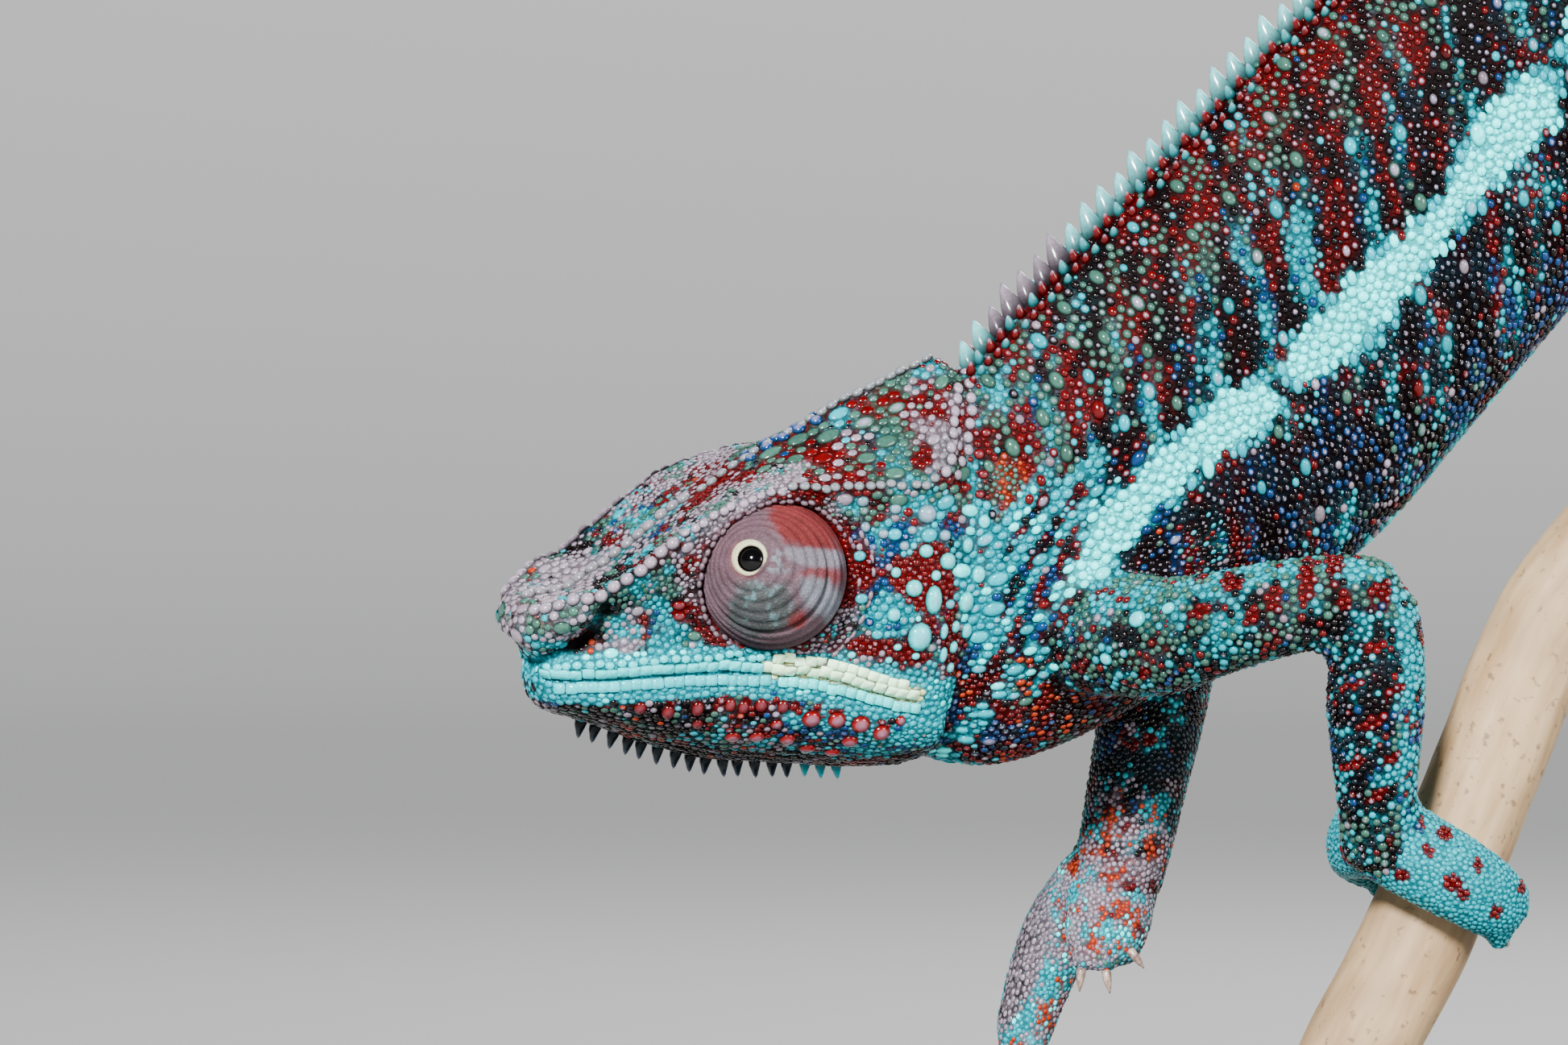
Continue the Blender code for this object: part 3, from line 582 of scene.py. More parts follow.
@dataclass(frozen=True)
class AxisShape:
    """Neck and trunk as sections between a line of the back and a line of the belly."""

    # back x y z, belly x y z, half-width
    rows: tuple = (
        (18.2, -3.0, 15.6, 14.4, 7.5, -25.2, 8.8),
        (21.3, -1.5, 19.2, 22.0, 8.3, -26.0, 9.6),
        (24.3, 0.0, 22.5, 31.0, 9.0, -23.2, 10.3),
        (27.2, 1.2, 25.5, 41.0, 9.6, -17.5, 11.0),
        (30.5, 2.2, 29.0, 52.0, 10.0, -10.5, 11.8),
        (36.0, 3.0, 34.7, 63.5, 10.3, -1.5, 12.2),
        (44.0, 3.6, 43.0, 73.0, 10.4, 9.5, 12.6),
        (54.0, 3.9, 53.3, 83.5, 10.4, 22.0, 12.8),
        (66.0, 4.2, 64.4, 94.0, 10.2, 35.0, 12.6),
        (79.0, 4.5, 75.2, 103.5, 9.8, 48.0, 12.0),
        (92.0, 5.0, 84.4, 111.0, 9.2, 60.5, 10.6),
        (104.0, 5.5, 90.6, 117.0, 8.6, 71.0, 8.8),
        (114.5, 6.0, 93.6, 122.0, 8.0, 78.5, 6.9),
        (124.5, 6.3, 94.0, 128.3, 7.7, 81.3, 5.4),
    )
    keel: float = 0.25  # how far the back narrows to its ridge
    stations: int = 170
    around: int = 64

    def place(self, along: Array, turn: Array) -> Array:
        """Rows of x, y, z on the body.

        Args:
            along: places from 0 to 1 along it.
            turn: angles round it, from the back down the left side.

        Returns:
            One row for each place.
        """
        s = along * (len(self.rows) - 1)
        here, ahead = path(self.rows, s), path(self.rows, s + 0.05)
        back, belly, width = here[:, :3], here[:, 3:6], here[:, 6:]
        way = unit((ahead[:, :3] + ahead[:, 3:6]) - (back + belly))
        left = unit(np.cross(belly - back, way))
        left = left * np.where(left[:, 1:2] > 0, -1, 1)
        t, across = ((1 - np.cos(turn)) / 2)[:, None], np.sin(turn)[:, None]
        wide = width * np.abs(across) ** 0.92 * (1 - self.keel * (1 - t) ** 2) * np.sign(across)
        return back + t * (belly - back) + wide * left

    def form(self) -> Form:
        """Returns the neck and trunk."""
        turn = steps_round(self.around)
        rings = [self.place(np.full(self.around, s), turn) for s in np.linspace(0, 1, self.stations)]
        return Form("trunk", Part.AXIS, np.array(rings))


@dataclass(frozen=True)
class BoughShape:
    """The cut bough: its centre line and its thickness."""

    knots: tuple = (
        (54.2, -2.5, -72.0),
        (57.4, -2.4, -63.0),
        (60.7, -2.3, -55.0),
        (66.0, -2.0, -45.0),
        (70.3, -1.8, -35.0),
        (74.4, -1.3, -25.0),
        (77.8, -0.6, -16.5),
        (82.4, 0.4, -8.0),
        (90.6, 1.8, 1.6),
        (101.0, 3.4, 12.0),
        (113.0, 4.8, 24.0),
        (126.0, 5.8, 36.0),
        (140.0, 6.4, 46.5),
        (157.0, 6.8, 55.5),
        (176.0, 7.0, 63.0),
        (202.0, 7.0, 70.2),
    )
    radii: tuple = ((0, 6.3), (4, 6.0), (9, 6.1), (15, 5.5))

    def frame(self, s: float) -> tuple[Array, Array, Array, Array]:
        """Reads the bough at a station.

        Args:
            s: the station, counted in knots.

        Returns:
            The centre, the direction along, the upper side and the side towards -Y.
        """
        here, ahead = path(self.knots, [s, s + 0.02])
        along = unit(ahead - here)
        near = unit(np.array([0, -1.0, 0]) + along[1] * along)
        upper = unit(np.cross(near, along))
        return here, along, (-upper if upper[2] < 0 else upper), near

    def radius(self, s: float | Array) -> Array:
        """The radius at station s."""
        return curve(self.radii, s)


@dataclass(frozen=True)
class TailShape:
    """The tail: out from the trunk, then round the bough."""

    bough: BoughShape
    lead: tuple = (
        (122.4, 6.9, 87.9), (133.0, 6.6, 88.0), (145.0, 5.2, 85.2), (153.6, 0.8, 78.0), (157.0, -4.0, 68.0),
    )
    coil: tuple = (13.1, 14.7, 100.0, 1085.0)  # bough station from and to, angle round it from and to
    tip: tuple = ((196.6, 2.6, 78.2), (197.4, -1.2, 80.6), (195.2, -3.6, 83.4))
    radii: tuple = ((0, 6.1), (0.08, 5.0), (0.2, 4.3), (0.5, 3.0), (0.8, 1.8), (1, 0.9))

    def line(self, count: int) -> tuple[Array, Array]:
        """Draws the centre line in equal steps of length.

        Args:
            count: how many steps.

        Returns:
            The points, and the radius at each.
        """
        s0, s1, a0, a1 = self.coil
        coil = []
        for t in np.linspace(0, 1, 60):
            s = s0 + (s1 - s0) * t
            at, _, upper, near = self.bough.frame(s)
            angle = math.radians(a0 + (a1 - a0) * t)
            lift = 0.6 + 3.0 * max(0, 0.12 - t) / 0.12
            away = float(self.bough.radius(s)) + lift + float(curve(self.radii, 0.42 + 0.45 * t))
            coil.append(at + away * (math.sin(angle) * near + math.cos(angle) * upper))
        knots = np.vstack([self.lead, coil[2:], self.tip])
        line = path(knots, np.linspace(0, len(knots) - 1, 2400))
        whole = lengths(line)[-1]
        even = np.linspace(0, whole, count)
        return read_line(line, even), curve(self.radii, even / whole)

    def form(self) -> Form:
        """Returns the tail."""
        line, radii = self.line(420)
        return Form("tail", Part.TAIL, tube(line, np.column_stack([radii, radii]), (0, 0, 1.0), 20, True))


@dataclass(frozen=True)
class LimbShape:
    """An arm or a leg: two lengths of x, y, z, radius."""

    name: str
    side: int
    upper: tuple
    lower: tuple

    def forms(self) -> list[Form]:
        """Draws the upper and the lower length.

        Returns:
            Both forms.
        """
        made = []
        for part, knots in (("upper", self.upper), ("lower", self.lower)):
            rows = path(knots, np.linspace(0, len(knots) - 1, 40))
            rings = tube(*rounded(rows[:, :3], rows[:, (3, 3)]), (0, 1, 0.3), 24)
            made.append(Form(f"{self.name}_{part}", Part.LIMB, rings, self.side))
        return made


LIMBS = (
    LimbShape(
        "arm_left", 1,
        (
            (33, 0, -12, 6.4), (39, -6, -12, 6.3), (46, -11.5, -10.2, 5.5), (53, -14, -8.6, 5.1),
            (59.2, -15, -8.0, 4.9), (61.7, -15, -8.6, 4.3),
        ),
        (
            (61.0, -15, -8.3, 4.6), (61.3, -15, -13, 5.1), (61.2, -14.6, -19, 5.3), (61.3, -13.6, -25, 4.7),
            (61.6, -12, -30, 4.3), (61.9, -10, -34, 4.2),
        ),
    ),
    LimbShape(
        "arm_right", -1,
        (
            (36, 15, -11, 6.4), (39, 20.5, -10.4, 6.2), (41.4, 27, -9.4, 5.7), (43.2, 33, -9.2, 5.3),
            (43.6, 36, -10.6, 4.8),
        ),
        (
            (43.4, 35.5, -9.6, 4.9), (42.2, 34.5, -15.5, 5.8), (40.5, 32, -22, 6.0), (39.1, 30, -28, 5.7),
            (37.8, 28.4, -34, 5.4), (36.3, 27, -40, 5.2),
        ),
    ),
    LimbShape(
        "leg_left", 1,
        (
            (114, 4, 80, 7.2), (110, -4, 75, 7.0), (105, -10, 69, 6.2), (100, -14.5, 63, 5.4),
            (98, -16, 60.4, 4.8),
        ),
        (
            (98.4, -15.8, 61, 4.9), (101.5, -16, 57, 5.2), (108, -14.6, 51.6, 5.1), (115.5, -10.6, 47, 4.6),
            (122.5, -5, 43.4, 4.3),
        ),
    ),
    LimbShape(
        "leg_right", -1,
        (
            (116, 11, 81, 7.0), (117, 19, 77.5, 6.8), (116.5, 26, 73, 6.0), (115.5, 31.5, 68, 5.3),
            (115.5, 33.6, 65, 4.8),
        ),
        (
            (115.4, 33, 66, 4.9), (119, 33, 62.2, 5.2), (125.5, 29.5, 59.6, 5.1), (132, 23.6, 57.4, 4.6),
            (138, 17, 55.4, 4.3),
        ),
    ),
)


@dataclass
class Claws:
    """Where one foot's claws start, their directions and the way that they curl."""

    tips: list = field(default_factory=list)

    def add(self, tip: Array, way: Array, curl: Array) -> None:
        """Adds one claw."""
        self.tips.append((np.asarray(tip, float), np.asarray(way, float), np.asarray(curl, float)))


TOE_RADIUS, TOE_REACH = 1.75, 3.6
GAP = 0.35  # between the bough and the palms


def toe_rings(root: Array, tip: Array) -> Array:
    """Rings of one toe, from its root to its rounded tip."""
    line = root + np.linspace(0, 1, 10)[:, None] * (tip - root)
    radii = TOE_RADIUS * curve(((0, 1.0), (0.7, 0.95), (0.9, 0.72), (1, 0.4)), np.linspace(0, 1, 10))
    return tube(line, np.column_stack([radii, radii]), (0.3, 1, 0.2), 14)


@dataclass(frozen=True)
class GripShape:
    """A foot that grips the bough: an inner and an outer bundle of toes, swept round it from the heel."""

    name: str
    side: int
    station: float  # along the bough
    heel: float  # angle round it
    outward: int
    toes: dict
    half: float
    offset: tuple  # along the bough, at the heel and at the toes
    sweep: float

    def line(self, bough: BoughShape, turn: int, count: int = 22) -> tuple[Array, Array]:
        """Draws one bundle of toes from the heel.

        Args:
            bough: the bough.
            turn: 1 or -1, the way it goes round.
            count: how many points.

        Returns:
            The points, and two radii for each.
        """
        at, along, upper, near = bough.frame(self.station)
        points, radii = [], []
        for t in np.linspace(0, 1, count):
            angle = math.radians(self.heel + turn * (6 + self.sweep * t))
            thick = 4.0 - 1.5 * t
            away = float(bough.radius(self.station)) + GAP + thick
            out = math.sin(angle) * near + math.cos(angle) * upper
            points.append(at + away * out + (self.offset[0] + (self.offset[1] - self.offset[0]) * t) * along)
            radii.append((thick, self.half - 1.1 * t * t))
        return np.array(points), np.array(radii)

    def forms(self, bough: BoughShape, claws: Claws) -> list[Form]:
        """Draws both bundles and their toes.

        Args:
            bough: the bough.
            claws: the foot's claws, which are added.

        Returns:
            The forms.
        """
        centre, along = bough.frame(self.station)[:2]
        made = []
        for part, turn in (("inner", -self.outward), ("outer", self.outward)):
            points, radii = self.line(bough, turn)
            line, sizes = rounded(points, radii)
            rings = tube(line, sizes, line - centre, 24)
            made.append(Form(f"{self.name}_{part}", Part.FOOT, rings, self.side))
            way, half, toes = unit(points[-1] - points[-2]), radii[-1][1], self.toes[part]
            tips = []
            for k in range(toes):
                off = half * (-0.62 + 1.24 * k / (toes - 1))
                root = points[-1] - 1.6 * way + off * along
                tips.append(root + TOE_REACH * way + 0.15 * off * along)
                made.append(Form(f"{self.name}_{part}_toe", Part.FOOT, toe_rings(root, tips[-1]), self.side))
            inward = unit(centre - tips[0] - ((centre - tips[0]) @ way) * way)
            for tip in tips:
                claws.add(tip, unit(way - 0.1 * inward), inward * 0.6)
        return made


GRIPS = (
    GripShape("forefoot_left", 1, 3.82, 42.0, 1, {"outer": 2, "inner": 3}, 4.9, (0.8, -1.4), 94.0),
    GripShape("hindfoot_left", 1, 11.1, 50.0, 1, {"outer": 3, "inner": 2}, 4.9, (0.5, -0.5), 112.0),
    GripShape("hindfoot_right", -1, 12.15, -44.0, -1, {"outer": 3, "inner": 2}, 4.9, (0.5, -0.5), 112.0),
)


@dataclass(frozen=True)
class OpenHand:
    """The right forefoot, reaching with its two bundles open."""

    # x, y, z, half-width, half-thickness
    bundles: dict = field(default_factory=lambda: {
        "inner": ((36.4, 27, -39.5, 5.0, 4.2), (35.4, 24.4, -43.5, 4.9, 3.7), (34.7, 22.6, -46.3, 4.4, 3.0)),
        "outer": (
            (34.6, 29.0, -39.5, 4.8, 4.0), (30.6, 31.4, -45.0, 4.4, 3.4), (28.0, 31.6, -51.0, 3.8, 3.0),
            (26.2, 30.8, -57.0, 3.3, 2.6),
        ),
    })
    toes: dict = field(default_factory=lambda: {
        "inner": (
            ((36.0, 22.8, -44.6), (38.0, 21.2, -47.0)), ((34.6, 22.4, -45.4), (35.1, 20.6, -49.3)),
            ((33.0, 22.6, -44.8), (32.3, 21.0, -49.1)),
        ),
        "outer": (((27.6, 30.2, -56.4), (27.2, 28.8, -61.4)), ((25.6, 31.6, -56.4), (23.8, 30.8, -61.4))),
    })

    def forms(self, claws: Claws) -> list[Form]:
        """Draws both bundles and their toes.

        Args:
            claws: the hand's claws, which are added.

        Returns:
            The forms.
        """
        made = []
        for part, knots in self.bundles.items():
            rows = path(knots, np.linspace(0, len(knots) - 1, 24))
            rings = tube(*rounded(rows[:, :3], rows[:, (4, 3)]), (0, 1, 0), 24)
            made.append(Form(f"forefoot_right_{part}", Part.FOOT, rings, -1))
            for root, tip in self.toes[part]:
                root, tip = np.array(root, float), np.array(tip, float)
                made.append(Form(f"forefoot_right_{part}_toe", Part.FOOT, toe_rings(root, tip), -1))
                claws.add(tip, unit(tip - root), np.array([0.1, 0.5, -0.2]))
        return made


# ---- the flesh as a whole, and the one skin ----


DRAWN = 0.985  # the flank's size against the drawing that spots are placed on
LIP = 9  # the column of the head's sections that holds the lip's height
LIP_ENDS = (3.3, 49)  # u of the lip's ends
# x and z, in that drawing, of the crease under the nose
NOSE_CREASE = ((-18.6, -8.8), (-19.6, -10.6), (-21.4, -12.5), (-23.8, -14.0), (-26.6, -14.8), (-29.0, -14.9))


@dataclass
class Survey(Rows):
    """Where places on the skin lie on the animal's forms."""

    points: Array
    normals: Array
    form: Array
    along: Array
    around: Array
    lie: Array


@dataclass(frozen=True)
class Eye:
    """One eye: where its turret sits, which way it looks and their sizes."""

    side: int
    gaze: tuple
    seat: tuple = (27.3, 7.0, 12.8)  # u, w, h on the head
    radius: float = 7.9
    back: float = 3.8  # how deep the turret goes behind its centre
    ball: float = 2.2
    ball_out: float = 6.75

    def centre(self, head: HeadShape) -> Array:
        """The turret's centre."""
        u, w, h = self.seat
        return head.place(np.array([u, self.side * w, h]))

    def out(self, head: HeadShape) -> Array:
        """The direction out of the socket."""
        return self.side * head.axes()[1]

    def split(self, points: Array, head: HeadShape) -> tuple[Array, Array]:
        """How far points are out of the socket from the turret's centre, and their offsets across it."""
        offset = points - self.centre(head)
        depth = offset @ self.out(head)
        return depth, offset - np.outer(depth, self.out(head))

    def mouth(self, depth: Array) -> Array:
        """The socket's radius at some depths from the turret's centre."""
        return np.sqrt(np.maximum((self.radius + 0.1) ** 2 - np.maximum(depth, 0) ** 2, 1.0))

    @property
    def name(self) -> str:
        """The side's name."""
        return "left" if self.side > 0 else "right"


EYES = (Eye(1, (-0.24, -0.953, 0.19)), Eye(-1, (-0.50, 0.80, 0.33)))


class Flesh:
    """Every form of the flesh, with the places on them."""

    # the part's share of the unwrap: across from and to, up from and to
    tiles = {
        Part.AXIS: (0.0, 1.0, 0.0, 0.4),
        Part.HEAD: (0.0, 0.58, 0.4, 0.64),
        Part.JAW: (0.58, 1.0, 0.4, 0.64),
        Part.TAIL: (0.0, 1.0, 0.64, 0.72),
        Part.LIMB: (0.0, 1.0, 0.72, 0.86),
        Part.FOOT: (0.0, 1.0, 0.86, 1.0),
    }

    def __init__(self) -> None:
        """Makes the forms and gathers the claws."""
        self.head, self.axis, self.bough = HeadShape(), AxisShape(), BoughShape()
        self.tail, self.claws = TailShape(self.bough), {}
        self.forms = [*self.head.forms(), self.axis.form(), self.tail.form()]
        for limb in LIMBS:
            self.forms += limb.forms()
        for grip in GRIPS:
            self.claws[grip.name] = Claws()
            self.forms += grip.forms(self.bough, self.claws[grip.name])
        self.claws["forefoot_right"] = Claws()
        self.forms += OpenHand().forms(self.claws["forefoot_right"])
        self.parts = np.array([form.part.value for form in self.forms])

    def survey(self, points: Array, normals: Array, reach: float = 5.0) -> Survey:
        """Finds the nearest form of each point.

        Args:
            points: rows of x, y, z.
            normals: the skin's outward directions there.
            reach: how far away a form may be.

        Returns:
            The places on the forms.
        """
        best = np.full(len(points), np.inf)
        form, along, around = np.zeros(len(points), int), np.zeros(len(points)), np.zeros(len(points))
        lie = np.tile((1.0, 0, 0), (len(points), 1))
        for number, shape in enumerate(self.forms):
            away, *places = shape.nearest(points, reach)
            closer = away < best - 1e-6
            best[closer], form[closer] = away[closer], number
            for kept, new in zip((along, around, lie), places):
                kept[closer] = new[closer]
        return Survey(points, normals, form, along, around, unit(lie))

    def unwrap(self, survey: Survey) -> Array:
        """Unrolls each form in a tile of its own.

        Args:
            survey: the places.

        Returns:
            Rows of u and v.
        """
        part = self.parts[survey.form]
        number = np.array([np.sum(self.parts[:k] == p) for k, p in enumerate(self.parts)])[survey.form]
        count = np.bincount(self.parts)[part]
        x0, x1, y0, y1 = np.array([self.tiles[p] for p in Part])[part].T
        inner = 0.02 + 0.96 * np.column_stack([survey.along, survey.around])
        across = x0 + (x1 - x0) * (number + inner[:, 0]) / count
        return np.column_stack([across, y0 + (y1 - y0) * inner[:, 1]])


@dataclass(frozen=True)
class SkinShape:
    """How the one skin is drawn from the forms."""

    voxel: float = 0.72
    coat: dict = field(default_factory=lambda: {
        Part.HEAD: 0.3, Part.JAW: 0.28, Part.AXIS: 0.4, Part.TAIL: 0.3, Part.LIMB: 0.34, Part.FOOT: 0.22,
    })
    smoothing: int = 9  # rounds
    relax: tuple = (0.6, -0.62)  # how far a round moves points in, then out again
    crease_reach: int = 5  # points on each side of a crease
    crease_steps: int = 26
    crease_strength: dict = field(default_factory=lambda: {
        Part.HEAD: 0.5, Part.JAW: 0.3, Part.AXIS: 0.7, Part.TAIL: 0.6, Part.LIMB: 0.7, Part.FOOT: 0.25,
    })

    mouth_depth: float = 0.75
    nostril: tuple = (6.4, 5.6, 5.6, 0.9, 0.8)  # u, w, h, radius and depth
    throat_fold: tuple = (1.6, 0.12)  # how wide and how deep the pleats of the throat are

    def by_part(self, values: dict[Part, float], part: Array) -> Array:
        """Returns one value for each point, by the part of the body that it is on."""
        return np.array([values[p] for p in Part])[part]

    def net(self, flesh: Flesh) -> tuple[bpy.types.Object, Array, Array]:
        """Joins the forms into one closed net.

        Args:
            flesh: the forms.

        Returns:
            The object, its points in millimetres and its edges.
        """
        piece = new_object("skin", *joined(form.shape() for form in flesh.forms))
        modifier = piece.modifiers.new("join", "REMESH")
        modifier.mode, modifier.voxel_size = "VOXEL", self.voxel * MM
        mesh = evaluated_mesh(piece)
        piece.modifiers.clear()
        piece.data = mesh
        keep_largest(mesh)
        mesh.shade_smooth()
        return piece, mesh_points(mesh), mesh_edges(mesh)

    def smooth(self, points: Array, edges: Array) -> Array:
        """Takes the steps out of the net without shrinking it.

        Args:
            points: the net's points.
            edges: its edges.

        Returns:
            The moved points.
        """
        degree = np.bincount(edges.ravel(), minlength=len(points))[:, None]
        for _ in range(self.smoothing):
            for strength in self.relax:
                mean = neighbour_sum(points, edges) / degree
                points = points + strength * (mean - points)
        return points

    def blend(self, points: Array, edges: Array, survey: Survey, flesh: Flesh) -> Array:
        """Softens the creases where one form runs into another.

        Args:
            points: the net's points.
            edges: its edges.
            survey: where the points lie.
            flesh: the forms.

        Returns:
            The moved points.
        """
        part, form = flesh.parts[survey.form], survey.form
        a, b = edges.T
        met = form[a] != form[b]
        crease = np.zeros((len(points), 1))
        crease[edges[met].ravel()] = 1.0
        degree = np.bincount(edges.ravel(), minlength=len(points))[:, None]
        for _ in range(self.crease_reach):
            crease = np.maximum(crease, neighbour_sum(crease, edges) / degree)
        strength = self.by_part(self.crease_strength, part)[:, None]
        crown = (part == Part.HEAD.value) * ramp(flesh.head.read(points)[:, 2], 19, 23)
        strength = strength * (1 - 0.8 * crown[:, None])
        for _ in range(self.crease_steps):
            points = points + crease * strength * (neighbour_sum(points, edges) / degree - points)
        return points

    def build(self, flesh: Flesh) -> tuple[bpy.types.Object, Survey]:
        """Makes the skin.

        Args:
            flesh: the forms.

        Returns:
            The object, and the survey of its points.
        """
        piece, points, edges = self.net(flesh)
        points = self.smooth(points, edges)
        set_points(piece.data, points)
        survey = flesh.survey(points, mesh_normals(piece.data))
        points = self.blend(points, edges, survey, flesh)
        set_points(piece.data, points)
        survey.points, survey.normals = points, mesh_normals(piece.data)
        depth = self.by_part(self.coat, flesh.parts[survey.form])
        points = self.folds(points - depth[:, None] * survey.normals, survey, flesh)
        for eye in EYES:
            points = self.socket(points, eye, flesh.head)
        set_points(piece.data, points)
        survey.points, survey.normals = points, mesh_normals(piece.data)
        return piece, survey

    def folds(self, points: Array, survey: Survey, flesh: Flesh) -> Array:
        """Draws the mouth, the nostrils, the crease and lobe under the nose and the pleats of the throat.

        Args:
            points: the skin's points.
            survey: where they lie.
            flesh: the forms.

        Returns:
            The moved points.
        """
        head = flesh.head
        part = flesh.parts[survey.form]
        on_head = (part == Part.HEAD.value) | (part == Part.JAW.value)
        u, w, h = head.read(points).T
        line = h - head.value(LIP, np.clip(u, *LIP_ENDS))
        seen = head.place(np.column_stack([u, abs(w), h]))[:, (0, 2)] / DRAWN
        sink = on_head * self.mouth_depth * bump(line, 0.05, 0.42)
        sink = sink * ramp(u, 2.6, 3.6) * ramp(u, 46.0, 43.5) * ramp(abs(w), 1.5, 2.5)
        hole_u, hole_w, hole_h, radius, hollow = self.nostril
        for side in (1, -1):
            offset = np.column_stack([u - hole_u, (w - side * hole_w) * 0.6, h - hole_h])
            away = np.linalg.norm(offset, axis=1)
            sink = sink + on_head * hollow * np.exp(-((away / radius) ** 2))
        crease = path(NOSE_CREASE, np.linspace(0, len(NOSE_CREASE) - 1, 60))
        away = np.full(len(u), np.inf)
        for x, z in crease:
            away = np.minimum(away, np.hypot(seen[:, 0] - x, seen[:, 1] - z))
        over = ramp(seen[:, 1] - np.interp(seen[:, 0], crease[::-1, 0], crease[::-1, 1]), 0.2, 1.0)
        lobe = over * bump(away, 2.4, 1.9) * ramp(seen[:, 0], -17.5, -20.5)
        sink = sink + on_head * ((part == Part.HEAD.value) * 1.0 * np.exp(-((away / 0.6) ** 2)) - 0.75 * lobe)
        throat = (part == Part.JAW.value) * ramp(h, -5.0, -8.0)
        pitch, fold = self.throat_fold
        sink = sink + throat * fold * np.sin(w * 2 * math.pi / pitch)
        return points - sink[:, None] * survey.normals

    def socket(self, points: Array, eye: Eye, head: HeadShape) -> Array:
        """Sinks a bowl for the turret, with rings of folds round it.

        Args:
            points: the skin's points.
            eye: the eye.
            head: the head's shape.

        Returns:
            The moved points.
        """
        depth, flat = eye.split(points, head)
        away = np.linalg.norm(flat, axis=1)
        edge = eye.mouth(depth)
        near = (depth > -2) & (away < edge + 4)
        rim = near & (abs(away - edge) < 0.42)
        points = points + flat * np.where(rim, edge / np.maximum(away, 1e-6) - 1, 0)[:, None]
        away = np.where(rim, edge, away)
        ring = away - edge
        behind = flat @ head.axes()[0] / np.maximum(away, 1e-6)
        folds = 0.6 * bump(ring, 0.5, 0.5) - 0.3 * bump(ring, 1.4, 0.3)
        folds = folds + 0.5 * bump(ring, 2.2, 0.5) * ramp(behind, -0.2, 0.6) - 0.25 * bump(ring, 3.1, 0.4)
        bowl = -np.minimum(eye.back, np.sqrt(np.maximum(eye.radius**2 - away**2, 0)))
        wanted = np.where(away < edge, np.minimum(bowl, depth), depth + folds)
        return points + np.outer(np.where(near, wanted - depth, 0), eye.out(head))


def column_of(items: Iterable, key: str, width: int, kind: type) -> Array:
    """Reads one property of a mesh's points, edges or triangles, in rows of so many numbers."""
    flat = np.zeros(len(items) * width, kind)
    items.foreach_get(key, flat)
    return flat.reshape(-1, width)


def mesh_points(mesh: bpy.types.Mesh) -> Array:
    """Returns a mesh's points in the animal's millimetres."""
    return column_of(mesh.vertices, "co", 3, np.float32).astype(float) / MM + ORIGIN


def set_points(mesh: bpy.types.Mesh, points: Array) -> None:
    """Moves a mesh's points to places in the animal's millimetres."""
    mesh.vertices.foreach_set("co", ((points - ORIGIN) * MM).astype(np.float32).ravel())
    mesh.update()


def mesh_edges(mesh: bpy.types.Mesh) -> Array:
    """Returns pairs of point numbers."""
    return column_of(mesh.edges, "vertices", 2, np.int32)


def mesh_normals(mesh: bpy.types.Mesh) -> Array:
    """Returns the outward direction at each point."""
    return column_of(mesh.vertex_normals, "vector", 3, np.float32).astype(float)


def mesh_triangles(mesh: bpy.types.Mesh) -> Array:
    """Returns triples of point numbers."""
    mesh.calc_loop_triangles()
    return column_of(mesh.loop_triangles, "vertices", 3, np.int32)


def neighbour_sum(values: Array, edges: Array) -> Array:
    """Adds up, for each point, the rows of its neighbours.

    Args:
        values: one row for each point.
        edges: pairs of point numbers.

    Returns:
        One row for each point.
    """
    total = np.zeros_like(values)
    for a, b in (edges.T, edges.T[::-1]):
        for k in range(values.shape[1]):
            total[:, k] += np.bincount(a, weights=values[b, k], minlength=len(values))
    return total


def keep_largest(mesh: bpy.types.Mesh) -> None:
    """Deletes all but the biggest connected body of a mesh.

    Args:
        mesh: the mesh.
    """
    edges = mesh_edges(mesh)
    label = np.arange(len(mesh.vertices))
    changed = True
    while changed:
        low = label.copy()
        np.minimum.at(low, edges[:, 0], label[edges[:, 1]])
        np.minimum.at(low, edges[:, 1], low[edges[:, 0]])
        low = low[low]
        changed = bool((low != label).any())
        label = low
    keep = label == np.bincount(label).argmax()
    if keep.all():
        return
    number = np.cumsum(keep) - 1
    points = mesh_points(mesh)[keep]
    faces = [tuple(number[i] for i in f.vertices) for f in mesh.polygons if keep[f.vertices[0]]]
    mesh.clear_geometry()
    mesh.from_pydata(((points - ORIGIN) * MM).tolist(), [], faces)
    mesh.update()


# ---- regions of the body: what grows there and its colours ----


SLANT = math.radians(50.0)  # how steeply the fore part of the trunk climbs
STREAK = math.radians(102.0)  # the lie of the streaks on the flank


